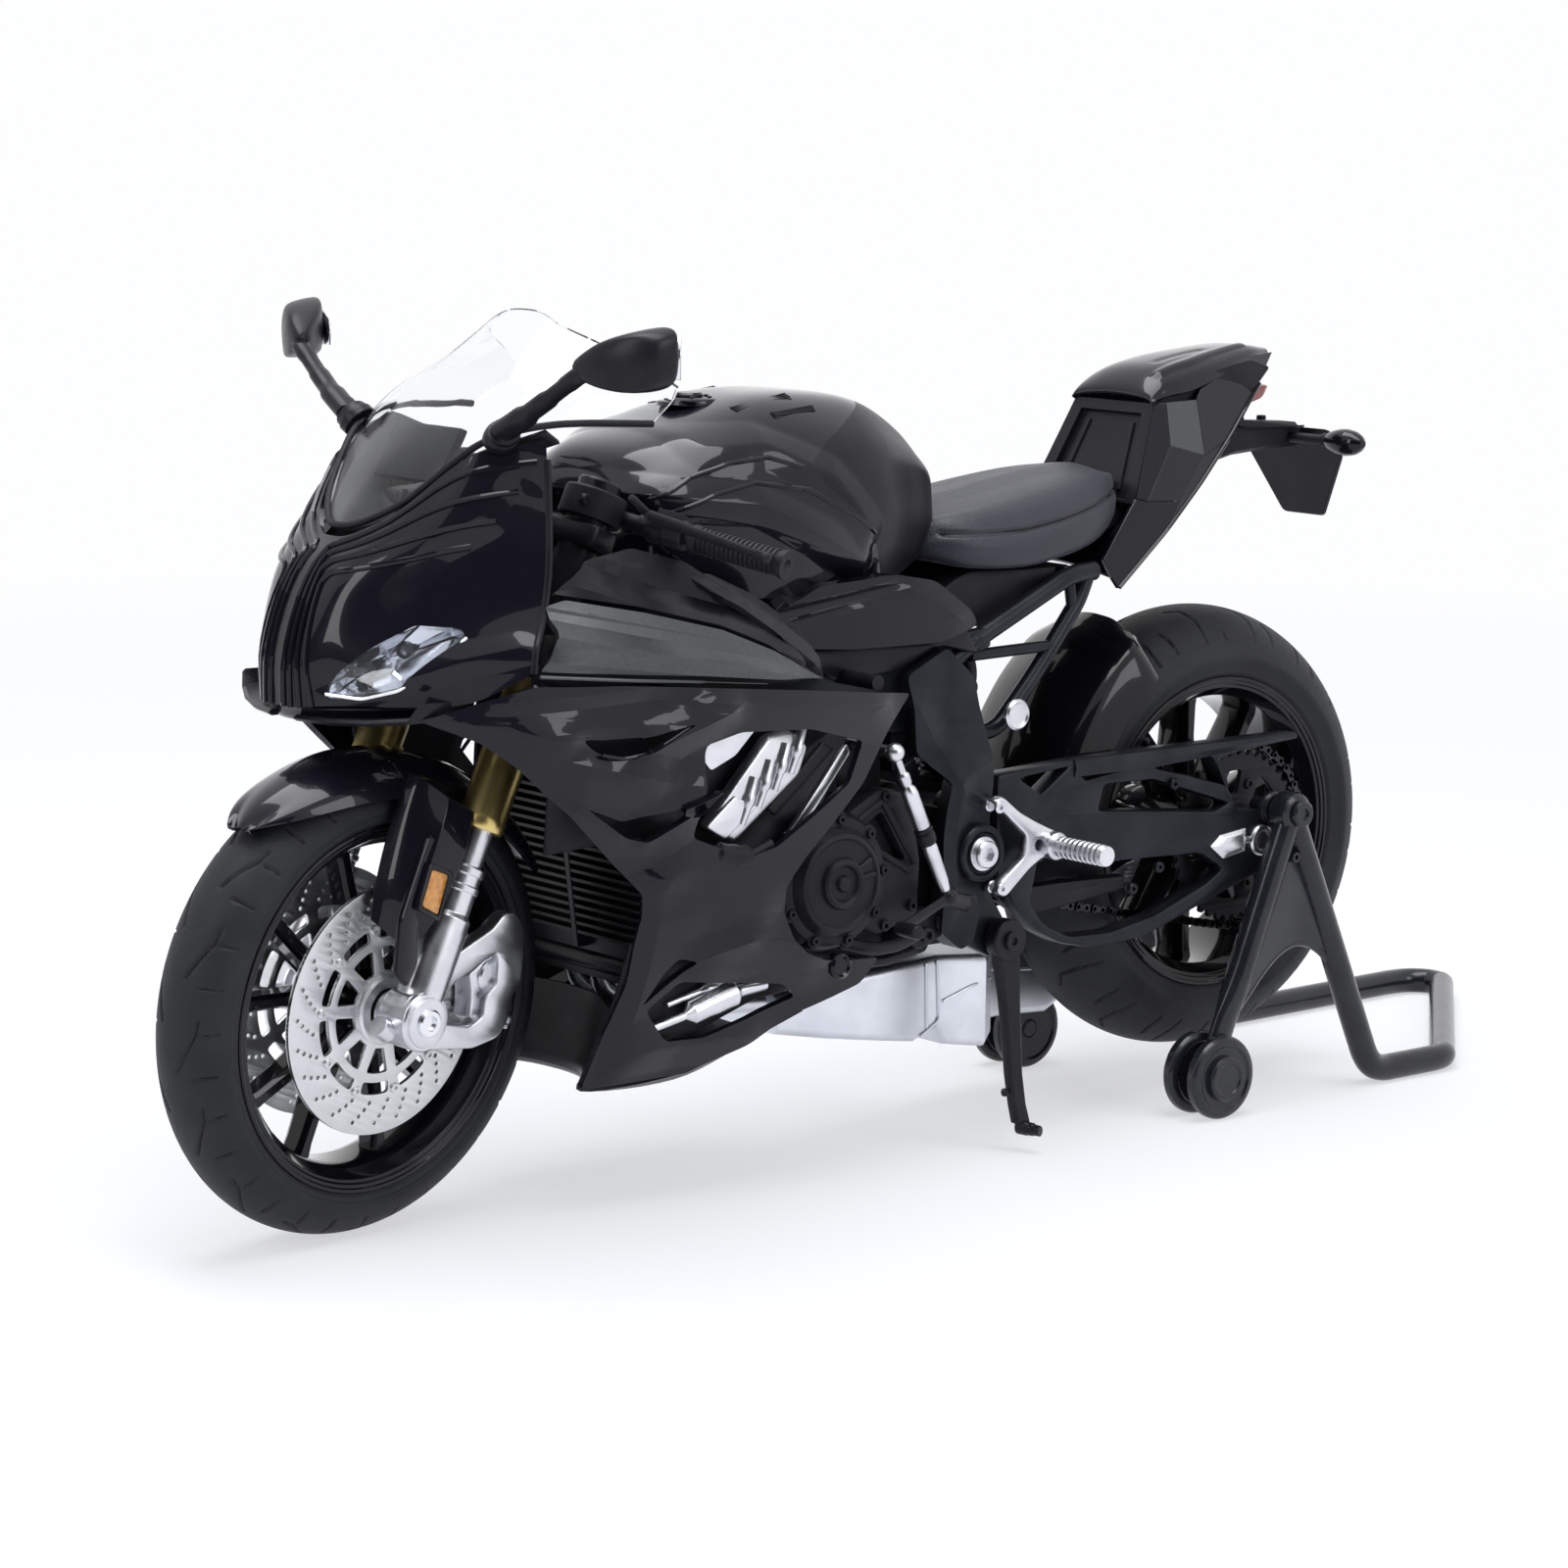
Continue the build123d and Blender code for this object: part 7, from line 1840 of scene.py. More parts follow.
cover_parts = engine_cover(1, 11.6, 45.8) + engine_cover(-1, 10.0, 44.0)
case_ribs = [
    plate(soften([(9.0, 54.4), (1.4, 58.2), (-4.4, 57.0), (-6.6, 47.0), (-6.2, 38.6), (1.0, 36.4),
        (6.4, 38.6)], 1.0, 3), 17.6, 21.2,
          [soften([(5.4, 52.4), (1.0, 54.6), (-3.6, 47.2), (1.2, 48.2)], 0.6, 2)], 0.6),
    plate(soften([(5.4, 52.4), (1.0, 54.6), (-3.6, 47.2), (1.2, 48.2)], 0.6, 2), 17.6, 19.2, edge=0.2),
    rod((6.8, 21.2, 53.2), (1.2, 21.2, 56.4), 0.55, 12, 0.2), rod((1.2, 21.2, 56.4), (-5.4, 21.2, 46.4),
        0.5, 12, 0.2),
    rod((4.6, 21.2, 50.6), (-4.8, 21.2, 45.2), 0.5, 12, 0.2),
]
for x, z in ((5.4, 39.6), (0.4, 37.8), (-4.8, 40.2), (-5.2, 54.6), (0.6, 57.0)):
    case_ribs.append(bolt(x, 21.0, z, 0.85, 0.8, 1, 0.45))
small_pipes = [tube([(8.6, 21.0, 36.2), (3.0, 21.6, 34.6), (-2.4, 21.0, 34.4), (-8.0, 19.6, 35.6)], 1.0,
    2, 14),
               tube([(8.8, 19.4, 33.6), (0.0, 19.8, 32.0), (-7.4, 18.8, 32.6)], 0.8, 2, 12),
               plate(soften([(-4.6, 37.6), (-4.6, 33.2), (-9.6, 32.6), (-14.6, 34.6), (-14.2, 38.0),
                   (-9.0, 38.8)], 0.8, 2), 15.2, 18.6, edge=0.5)]
for x, z in ((-6.4, 35.0), (-10.0, 34.8), (-12.8, 36.4)):
    small_pipes.append(bolt(x, 18.6, z, 1.2, 0.9, 1, 0.5))
build("engine_side_covers", cover_parts + case_ribs + small_pipes, engine_black, "chassis",
    "engine_covers", None, 0.1, angle=28)
print("engine cast")

# %% [markdown]
# Frame. A spar on each side runs from the steering head to a broad plate round the swingarm
# pivot. The plate has a crease that splits it into a light and a dark facet. Covers in the same
# black as the body fill the corner under the tank, with a double groove along them.

# %% Frame plates, covers and pivots
plate_outline_side = soften([(-4.6, 74.1), (-12.3, 77.7), (-17.6, 73.0), (-20.9, 60.4), (-21.3, 49.4),
    (-20.9, 42.0), (-18.4, 33.0), (-16.0, 31.9),
                             (-11.9, 35.0), (-11.7, 48.8), (-12.5, 57.6), (-6.6, 62.4)], 0.8, 2)
plate_folds = [((-11.6, 57.0), (-22.0, 61.2), 1.5, 8, 9), ((-4.8, 71.4), (-13.6, 57.6), 0.9, 4, 3),
    ((-14.2, 57.6), (-13.6, 36.0), 0.9, 3, 5)]
cover("frame_plate", plate_outline_side, lambda x, z: 19.9, frame_black, plate_folds, (),
    "main_frame", 3.6, 0.35, grid=3.0)
spars = [plate(soften([(-12.0, 64.2), (-12.3, 77.3), (0.0, 83.4), (15.0, 85.6), (30.0, 87.7),
    (38.8, 89.4), (38.8, 79.2), (20.0, 73.2), (2.0, 66.2)], 1.2, 3),
               14.1, 17.1, edge=0.7)]
spar_rings = [[Vector(p) for p in ((38.6, 14.2, 79.4), (38.6, 17.0, 79.4), (38.6, 17.0, 89.2),
    (38.6, 14.2, 89.2))],
              [Vector(p) for p in ((51.3, 1.0, 83.7), (51.3, 3.6, 83.7), (47.7, 3.6, 92.8),
                  (47.7, 1.0, 92.8))]]
spars.append(loft(spar_rings))
lug = plate(soften([(-16.6, 33.2), (-18.4, 40.8), (-22.8, 40.3), (-27.2, 33.6), (-26.6, 30.4),
    (-24.0, 29.4)], 1.0, 3), 16.1, 18.3, edge=0.4)
pivot_ring = turned_part([(2.6, 19.8), (4.4, 19.8), (4.4, 20.9), (4.0, 21.3), (3.4, 21.3), (3.1, 20.8),
    (2.4, 20.6)], 48, (-19.0, 0, 46.4))
build("frame_sides", both_sides(spars + [lug, pivot_ring]), frame_black, "chassis", (),
    None, 0.2)
lean = math.radians(24)
axis_foot = Vector((80.05, 0, 33.3)) + Vector((math.cos(lean), 0, math.sin(lean))) * -3.6
axis_way = Vector((-math.sin(lean), 0, math.cos(lean)))
head_tube = rod(tuple(axis_foot + axis_way * 54.1), tuple(axis_foot + axis_way * 68.3), 4.1, 40, 0.5)
build("frame_head", [head_tube, rod((-8.0, -16.0, 70.0), (-8.0, 16.0, 70.0), 1.8),
    rod((-15.0, -16.2, 73.0), (-15.0, 16.2, 73.0), 1.8)],
      frame_black, "chassis")
pins = [bolt(-24.6, 21.6, 32.6, 1.4, 0.6, 1, 0.5), rod((-24.6, 18.5, 32.6), (-24.6, 21.7, 32.6), 0.85)]
build("kickstand_pin", pins, satin_black, "chassis", (), None, 0.06)
hexes = [bolt(-19.0, 21.2, 46.4, 2.1, 1.2, 1, 0.55), turned_part([(0, 20.8), (2.6, 20.8), (2.6, 21.3),
    (0, 21.4)], 30, (-19.0, 0, 46.4)),
         bolt(-19.0, -21.2, 46.4, 2.1, 1.2, -1, 0.55), rod((-19.0, -21.4, 46.4), (-19.0, 21.4, 46.4),
             1.35),
         turned_part([(0, 17.6), (2.3, 17.6), (2.4, 18.2), (2.0, 18.6), (1.6, 18.3), (0, 18.3)], 32,
             (-28.0, 0, 66.2)),
         turned_part([(0, -17.6), (2.3, -17.6), (2.4, -18.2), (2.0, -18.6), (1.6, -18.3), (0, -18.3)], 32,
             (-28.0, 0, 66.2))]
build("pivot_hardware", hexes, silver, "chassis", "pivot_bolts", None, 0.08)
cover_outline = soften([(21.3, 83.9), (12.0, 88.4), (-2.0, 89.2), (-9.6, 87.8), (-17.2, 82.8),
    (-18.6, 80.6), (-11.0, 78.6), (5.9, 78.8), (14.0, 79.4)], 1.2, 3)
cover_folds = [((22.0, 84.4), (-3.0, 87.8), -0.6, 0.8, 0.8), ((20.0, 82.8), (4.0, 85.6), -0.45, 0.7, 0.7),
    ((-3.0, 87.6), (-16.0, 81.0), 0.7, 3, 4)]
cover("frame_corner", cover_outline, lambda x, z: 20.2 - (x + 2) ** 2 * 0.0025, body_black,
    cover_folds, (), "frame_covers", 2.6, 0.3, grid=2.5)
filler_plate = plate(soften([(15.8, 79.0), (2.0, 78.6), (-10.4, 78.2), (-17.8, 80.0), (-20.2, 76.0),
    (-12.8, 77.8), (-4.4, 74.6), (8.0, 74.2)], 0.8, 2), 16.2, 18.0, edge=0.4)
build("frame_corner_lower", both_sides([filler_plate]), satin_black, "chassis", (), None,
    0.2)
print("frame done")

# %% [markdown]
# Swingarm. The real arm is a truss cut from a thick plate: a long upper bar, a falling diagonal,
# a deep middle spar with a ridge, and a lower hoop. Windows give it depth. The chain is drawn
# link by link around both sprockets, because a smooth band would read as a belt.

# %% Swingarm, chain and hugger
truss = soften([
    (-24.4, 57.4), (-40.7, 58.2), (-60.0, 58.3), (-88.6, 58.3), (-88.6, 57.2), (-76.0, 56.4), (-71.0,
        55.4), (-73.6, 50.2), (-75.6, 47.2),
    (-82.4, 46.4), (-88.4, 46.6), (-90.4, 43.6), (-89.5, 39.2), (-80.8, 36.4), (-71.5, 33.8), (-62.0,
        30.8), (-55.4, 28.9), (-49.0, 28.7),
    (-43.7, 28.7), (-38.0, 30.0), (-33.4, 32.2), (-28.6, 36.6), (-24.4, 43.0)], 0.9, 2)
truss_windows = [
    soften([(-57.4, 55.4), (-69.6, 56.0), (-72.6, 51.4)], 0.5,
        2), soften([(-46.6, 53.8), (-45.4, 49.9), (-70.4, 47.4), (-73.4, 48.4), (-57.0, 53.6)], 0.6, 2),
    soften([(-33.2, 44.0), (-48.5, 41.6), (-67.6, 40.9), (-72.4, 38.0), (-69.0, 36.0), (-58.1, 32.2),
        (-48.4, 30.6), (-40.0, 30.9), (-34.6, 33.4), (-31.6, 37.0)], 0.9, 3),
    soften([(-33.4, 53.6), (-38.8, 57.2), (-29.0, 56.4)], 0.5,
        2), soften([(-40.8, 56.4), (-51.4, 55.9), (-42.6, 54.9)], 0.3, 2)]
arm = [plate(truss, 14.3, 18.1, truss_windows, 0.6)]
spar_sections = []
for x, low, ridge_z, high, out in ((-33.0, 44.6, 47.0, 49.8, 18.0), (-38.0, 43.6, 47.0, 49.8, 18.6),
    (-50.0, 42.4, 46.6, 49.0, 19.0), (-60.0, 41.8, 45.0, 47.8, 18.9),
                                   (-72.0, 41.2, 43.6, 46.4, 18.7), (-84.0, 40.0, 42.8, 45.6, 18.5)):
    spar_sections.append([Vector(p) for p in ((x, 17.6, low), (x, 18.2, low), (x, out, ridge_z),
        (x, 18.2, high), (x, 17.6, high))])
arm.append(loft(spar_sections))
bar_sections = []
for x, low, high, out in ((-40.0, 55.6, 58.1, 18.6), (-52.0, 55.6, 58.2, 19.0), (-70.0, 56.4, 58.2, 18.6),
    (-88.0, 57.4, 58.2, 18.3)):
    bar_sections.append([Vector(p) for p in ((x, 17.6, low), (x, 18.2, low), (x, out, (low + high) / 2),
        (x, 18.2, high), (x, 17.6, high))])
arm.append(loft(bar_sections))
for x, z in ((-58.2, 39.8), (-52.6, 37.0), (-61.0, 52.6)):
    arm.append(bolt(x, 18.0, z, 0.9, 0.7, 1, 0.4))
cross = [plate(soften([(-22.8, 43.0), (-22.8, 49.5), (-37.8, 49.7), (-39.4, 46.0), (-37.8, 42.0)], 1.4,
    3), -14.3, 14.3, edge=0.4),
         turned_part([(1.5, -15.3), (3.0, -15.3), (3.0, 15.3), (1.5, 15.3), (1.5, -15.3)], 32,
             (-19.0, 0, 46.4)),
         plate(soften([(-19.5, 43.8), (-19.5, 49.1), (-23.2, 49.3), (-23.2, 43.3)], 0.4, 2), -12.9, 12.9,
             edge=0.3)]
shock_stub = rod((-30.6, 0, 53.6), (-27.6, 0, 61.0), 1.15, 18)
build("swingarm_shown", both_sides(arm) + cross + [shock_stub,
    rod((-31.0, -2.0, 49.8), (-31.0, 2.0, 49.8), 2.0, 24, 0.2)], frame_black, "swingarm",
      "swingarm", None, 0.22, angle=26)

REAR_AXLE = Vector((-80.05, 0, 41.93))
guard = plate(soften([(-27.0, 38.4), (-34.0, 33.8), (-40.0, 34.4), (-54.6, 36.0), (-55.6, 38.2),
    (-40.0, 38.6)], 0.8, 2), 11.4, 14.1, edge=0.4)
build("chain_slider", [guard], satin_black, "swingarm", (), None, 0.15)


def chain_links(pitch, front, rear, r_front, r_rear, y0, y1):
    """Links laid end to end round two sprockets."""
    run = (rear - front).length
    way = (rear - front).normalized()
    base = math.atan2(way.z, way.x)
    spread = math.acos((r_front - r_rear) / run)
    path = []
    for centre, radius, start, end in ((front, r_front, base + spread, base + 2 * math.pi - spread),
        (rear, r_rear, base - spread, base + spread)):
        steps = int(abs(end - start) * radius / 0.3)
        path += [centre + radius * Vector((math.cos(start + (end - start) * k / steps), 0,
            math.sin(start + (end - start) * k / steps))) for k in range(steps + 1)]
    path.append(path[0])
    lengths = [0.0]
    for a, b in zip(path, path[1:]):
        lengths.append(lengths[-1] + (b - a).length)
    count = int(lengths[-1] / pitch / 2) * 2
    spots, k = [], 0
    for n in range(count + 1):
        want = lengths[-1] * n / count
        while k < len(lengths) - 2 and lengths[k + 1] < want:
            k += 1
        t = (want - lengths[k]) / max(lengths[k + 1] - lengths[k], 1e-9)
        spots.append(path[k].lerp(path[k + 1], min(max(t, 0), 1)))
    parts = []
    for n, (a, b) in enumerate(zip(spots, spots[1:])):
        along = (b - a).normalized()
        side = Vector((-along.z, 0, along.x))
        outer = n % 2
        low, high = (y0, y0 + 0.3) if outer else (y0 + 0.3, y0 + 0.55)
        for s0, s1 in ((low, high), (y1 - high + y0, y1 - low + y0)):
            ring_shape = []
            for u, w in ((-0.5, 0.0), (-0.3, 0.62), (0.0, 0.68), (0.35, 0.46), (0.65, 0.46), (1.0, 0.68),
                (1.3, 0.62), (1.5, 0.0), (1.3, -0.62),
                         (1.0, -0.68), (0.65, -0.46), (0.35, -0.46), (0.0, -0.68), (-0.3, -0.62)):
                ring_shape.append(a + along * (u if u < 0 else (u - 1 + pitch if u > 1 else u * pitch)) + side * w)
            parts.append(loft([[p + Vector((0, s0, 0)) for p in ring_shape],
                [p + Vector((0, s1, 0)) for p in ring_shape]]))
        parts.append(rod(tuple(a + Vector((0, y0, 0))), tuple(a + Vector((0, y1, 0))), 0.42, 8, 0.05))
    return parts


links = chain_links(1.75, Vector((-9.0, 0, 46.4)), REAR_AXLE, 4.5, 14.6, 11.75, 13.45)
build("chain_shown", links, chrome_black, "swingarm", "drive_chain")

hugger_rows = []
for turn, reach in ((15.2, 0.86), (20, 0.96), (28, 1.0), (40, 1.0), (52, 1.0), (57, 0.94), (60.6, 0.72)):
    half = []
    for y, r in ((0, 40.2), (3.0, 40.0), (6.0, 39.4), (9.4, 38.4), (11.2, 37.4), (12.4, 34.6),
        (13.0, 31.8)):
        a = math.radians(turn - (0 if y < 9 else (1.2 if turn > 50 else 0)))
        half.append((r * math.cos(a), y * reach, r * math.sin(a)))
    hugger_rows.append([(x, -y, z) for x, y, z in reversed(half[1:])] + half)
hugger_grid = pressed(smooth_rows(hugger_rows, 8), (0, 0, 0), [])
build("hugger_shown", [grid_part(hugger_grid)], rim_black, "swingarm", "rear_hugger", REAR,
    0.15, thickness=0.8, angle=35, inward=(20, 0, 20))
brace = [plate(soften([(-38.4, 49.6), (-41.6, 52.4), (-41.2, 54.6), (-37.2, 51.6)], 0.4, 2), -6.0, 6.0,
    edge=0.3), rod((-44.6, -11.0, 57.2), (-44.6, -14.3, 57.2), 0.9)]
build("hugger_brace", brace, satin_black, "swingarm")

axle_parts = []
for sign in (-1, 1):
    axle_parts.append(turned_part([(0, sign * 18.2), (2.5, sign * 18.2), (2.5, sign * 19.0),
        (2.2, sign * 19.3), (1.6, sign * 19.4), (1.5, sign * 18.9), (0,
        sign * 18.9)], 32, tuple(REAR_AXLE)))
    axle_parts.append(turned_part([(0, sign * 13.6), (2.4, sign * 13.6), (2.4, sign * 14.2),
        (0, sign * 14.2)], 28, tuple(REAR_AXLE)))
axle_parts.append(rod((-80.05, -18.4, 41.93), (-80.05, 18.4, 41.93), 1.45))
adjuster = [loft([[Vector((x, y, z)) for x, z in ((-76.4, 40.6), (-76.4, 44.2), (-70.8, 43.6),
    (-68.8, 42.0), (-71.6, 39.8))] for y in (18.2, 18.9)]),
            loft([[Vector((x, 18.9, z)) for x, z in ((-76.4, 40.6), (-76.4, 44.2), (-70.8, 43.6),
                (-68.8, 42.0), (-71.6, 39.8))],
                  [Vector((x, 19.4, z)) for x, z in ((-75.4, 41.2), (-75.4, 43.4), (-71.6, 43.0),
                      (-70.4, 42.0), (-72.2, 40.8))]]),
            rod((-76.0, 18.6, 42.4), (-79.0, 18.6, 42.0), 0.6, 12)]
build("axle_shown", axle_parts + both_sides(adjuster), silver, "swingarm", "rear_axle", None,
    0.1)
spool_parts = []
for sign in (-1, 1):
    profile = [(0, 15.0), (1.5, 15.0), (1.5, 18.2), (2.7, 18.2), (2.7, 19.0), (2.3, 19.2), (2.3, 19.6),
        (2.6, 19.9), (1.5, 19.9), (1.5, 25.0),
               (2.1, 25.0), (2.1, 25.6), (1.8, 25.9), (0.9, 25.9), (0.8, 25.5), (0, 25.5)]
    spool_parts.append(turned_part([(r, y * sign) for r, y in profile], 32, (-82.5, 0, 46.7)))
build("spools_shown", spool_parts, stand_black, "swingarm", "stand_spools", None, 0.06)
rear_brake = [plate(soften([(-73.4, 44.6), (-67.6, 43.6), (-66.2, 48.2), (-70.0, 50.8)], 1.0, 3), -14.0,
    -12.4, edge=0.4),
              plate(soften([(-73.2, 44.8), (-67.8, 43.8), (-66.4, 48.0), (-70.0, 50.6)], 1.0, 3), -11.2,
                  -10.7, edge=0.2),
              bolt(-69.8, -14.0, 47.6, 1.3, 0.5, -1, 0.5), bolt(-70.8, -14.0, 45.6, 0.8, 0.5, -1, 0.5)]
hanger = [plate(soften([(-58.4, 38.6), (-63.0, 39.4), (-66.0, 38.6), (-64.6, 33.6), (-61.8, 33.0),
    (-60.8, 36.0)], 0.7, 2), -14.2, -12.8, edge=0.3)]
build("rear_brake_shown", rear_brake + hanger, silver, "swingarm", "rear_caliper", None, 0.1)
print("swingarm and chain done")

# %% [markdown]
# Shock and subframe. The spring is a real coil round a damper body. The subframe is bent tube
# with small welded plates where runs meet.

# %% Shock and subframe
top, foot_point = Vector((-23.0, 0, 72.0)), Vector((-30.4, 0, 54.0))
down = (foot_point - top)
spring_x = down.cross(Vector((0, 1, 0))).normalized()
coil = []
for k in range(7 * 20 + 1):
    t = k / 140
    a = 2 * math.pi * k / 20
    coil.append(tuple(top + down * (0.18 + 0.72 * t) + (spring_x * math.cos(a) + Vector((0, math.sin(a),
        0))) * 3.4))
shock_parts = [rod(tuple(top + down * 0.04), tuple(top + down * 0.9), 2.5, 28),
    rod(tuple(top + down * 0.1), tuple(top + down * 0.17), 4.0, 32, 0.3),
               rod(tuple(top + down * 0.9), tuple(top + down * 0.95), 3.9, 32,
                   0.3), rod((-23.0, -3.0, 73.0), (-23.0, 3.0, 73.0), 2.1, 24, 0.3),
               rod((-23.0, 0, 73.0), (-16.0, 0, 73.0), 1.3)]
build("shock_shown", shock_parts, satin_black, "chassis", "shock_body", None, 0.08)
build("shock_spring", [tube(coil, 0.7, 0, 10)], chrome_black, "chassis")
rails = [tube([(-12.0, 16.4, 72.5), (-20.5, 15.6, 77.3), (-41.5, 14.4, 86.1), (-47.2, 13.6, 86.3)], 1.5,
    4, 20),
         tube([(-13.0, 13.8, 64.5), (-26.5, 14.6, 63.2), (-34.5, 14.6, 71.5), (-44.0, 13.8, 82.0),
             (-46.0, 13.6, 86.1)], 1.3, 3, 18),
         tube([(-20.6, 15.4, 75.4), (-37.4, 14.6, 75.6)], 0.9, 0,
             14), tube([(-41.4, 14.4, 85.8), (-42.6, 14.0, 80.8)], 0.9, 0, 14),
         plate(soften([(-19.0, 79.2), (-23.6, 79.6), (-24.0, 76.6), (-19.6, 75.6)], 0.6, 2), 14.6, 16.6,
             edge=0.4), bolt(-21.2, 16.4, 77.4, 1.0, 0.6, 1, 0.4)]
build("subframe_shown", both_sides(rails) + [rod((-41.5, -14.4, 86.1), (-41.5, 14.4, 86.1), 1.4)],
    frame_black, "chassis", "subframe", None, 0)
filler_box = plate(soften([(-8.0, 79.0), (-14.0, 84.0), (-21.4, 82.6), (-21.6, 66.0), (-16.4, 61.0),
    (-9.0, 58.0)], 1.0, 3), -11.6, 11.6, edge=0.6)
lower_box = plate(soften([(-2.0, 56.6), (-17.0, 52.6), (-17.6, 40.6), (-13.6, 31.0), (-2.4, 30.4)], 1.0,
    3), -15.0, 15.0, edge=0.6)
hoses = [tube([(-21.4, 12.4, 78.0), (-23.4, 13.0, 72.0), (-20.0, 13.6, 66.0), (-21.6, 13.4, 61.4)], 1.1,
    2.5, 14), bolt(-21.8, 13.0, 70.4, 1.5, 1.6, 1, 0.5), bolt(-22.0, 13.2, 64.2, 1.3, 1.6, 1, 0.5)]
cradle = [plate(soften([(-14.0, 31.0), (-25.0, 31.0), (-29.4, 33.6), (-29.0, 40.4), (-14.0, 40.6)], 1.0,
    3), 4.0, 11.0, edge=0.5)]
build("frame_fillers", [filler_box, lower_box] + both_sides(cradle) + hoses, engine_black, "chassis",
    (), None, 0.1)
inner_box = plate(soften([(-19.6, 86.6), (-14.8, 83.4), (-22.0, 79.4), (-30.0, 78.6), (-39.0, 83.4),
    (-44.0, 87.4), (-34.0, 87.4), (-23.0, 87.8)], 1.2, 3), -12.6, 12.6, edge=0.8)
build("tray_under_seat", [inner_box], matt_black, "chassis", (), None, 0.1)
print("shock and subframe done")

# %% [markdown]
# Footrests and levers. Bright forked brackets carry knurled pegs. The gear rod is a chain of
# turned pieces: a ball end, two bright tapers and a black collar between them.

# %% Rearsets and levers
bracket = [plate(soften([(-19.0, 54.6), (-21.0, 55.2), (-24.6, 52.4), (-28.0, 50.6), (-32.2, 48.7),
    (-32.6, 47.0), (-32.2, 45.2), (-29.4, 45.0),
                         (-26.8, 43.6), (-22.0, 39.7), (-20.0, 40.4), (-20.8, 42.2), (-25.6,
                             45.6), (-26.0, 48.6), (-23.6, 50.6)], 0.8, 3), 21.2, 23.1,
                 [circle(-28.6, 47.0, 0.8, 14)], 0.5)]
for x, z in ((-20.2, 53.6), (-20.9, 41.2)):
    bracket += [rod((x, 20.2, z), (x, 21.4, z), 1.0, 18), bolt(x, 23.0, z, 0.95, 0.5, 1, 0.5)]
bracket += [turned_part([(0, 22.0), (2.1, 22.0), (2.1, 24.6), (1.8, 25.0), (1.5, 25.0), (0, 25.0)], 28,
    (-30.9, 0, 46.8))]
peg_profile = [(0, 24.8), (1.5, 24.8)]
for k in range(9):
    y = 25.4 + k * 1.05
    peg_profile += [(1.62, y), (1.62, y + 0.6), (1.38, y + 0.7), (1.38, y + 0.95)]
peg_profile += [(1.62, 34.8), (1.5, 35.3), (0, 35.4)]
bracket.append(turned_part(peg_profile, 28, (-30.9, 0, 46.8)))
build("rearsets_shown", both_sides(bracket), silver, "chassis", "rearsets", None, 0.12,
    angle=30)


def along_rod(start, end, profile, count=20):
    """Turned part along any line: profile of (radius, distance)."""
    a, b = Vector(start), Vector(end)
    points, faces = turned_part(profile, count)
    spin = Vector((0, 1, 0)).rotation_difference((b - a).normalized()).to_matrix().to_4x4()
    return moved((points, faces), Matrix.Translation(a) @ spin)


def ball(x, y, z, r, count=20):
    return turned_part([(r * math.cos(a), r * math.sin(a)) for a in (math.radians(-90 + 15 * k) for k in range(13))], count, (x, y, z))


a, b = (1.6, 24.4, 63.9), (-9.2, 24.4, 41.5)
gear_bright = [ball(1.6, 24.4, 63.9, 1.45), rod((1.6, 13.8, 63.9), (1.6, 24.0, 63.9), 0.9, 16),
               along_rod(a, b, [(0, 1.2), (0.6, 1.2), (0.6, 3.4), (0.95, 3.8), (0.95, 5.2), (0.7, 5.6),
                   (1.1, 6.2), (1.25, 7.0), (1.25, 12.6), (1.0, 13.0), (0, 13.0)]),
               along_rod(a, b, [(0, 15.6), (1.0, 15.6), (1.15, 16.2), (0.95, 22.0), (0.6, 24.4),
                   (0, 24.8)])]
build("gear_rod_bright", gear_bright, silver, "chassis", (), None, 0)
gear_dark = [along_rod(a, b, [(0, 12.9), (1.35, 12.9), (1.45, 13.3), (1.2, 13.6), (1.45, 13.9),
    (1.45, 15.0), (1.2, 15.6), (0, 15.7)]), ball(-9.2, 24.4, 41.5, 1.4),
             tube([(-15.0, 22.4, 39.6), (-9.2, 24.4, 41.3), (2.0, 27.0, 38.4)], [1.2, 1.0, 0.8], 1.5, 14,
                 0.7), rod((-15.0, 20.4, 39.6), (-15.0, 23.4, 39.6), 1.3, 20),
             along_rod((2.0, 26.4, 38.4), (2.0, 31.0, 38.4), [(0, 0), (1.0, 0), (1.1, 0.4), (1.1, 4.0),
                 (0.9, 4.4), (0, 4.5)])]
brake_dark = [tube([(-15.0, -22.4, 39.6), (-8.0, -24.8, 38.2), (0.5, -26.6, 36.0)], [1.2, 1.0, 0.8], 1.5,
    14, 0.7), rod((-15.0, -20.4, 39.6), (-15.0, -23.4, 39.6), 1.3, 20),
              along_rod((0.5, -26.2, 36.0), (0.5, -30.8, 36.0),
                  [(0, 0), (1.0, 0), (1.1, 0.4), (1.1, 4.0), (0.9, 4.4), (0, 4.5)])]
build("levers_shown", gear_dark + brake_dark, satin_black, "chassis", "foot_levers", None,
    0.05)
print("controls done")

# %% [markdown]
# Handlebars. Clip-on clamps grip the fork tubes, with a bar, a switch box, a ribbed rubber grip
# and a thin bent lever on each side. They turn with the fork, so they are drawn in its frame.

# %% Bars, switches, grips, levers and yokes
start, end = Vector((-3.0, 14.6, 75.0)), Vector((-9.6, 41.0, 74.6))
bar_length = (end - start).length


def on_bar(t, shift=(0, 0, 0)):
    return tuple(start + (end - start) * t + Vector(shift))


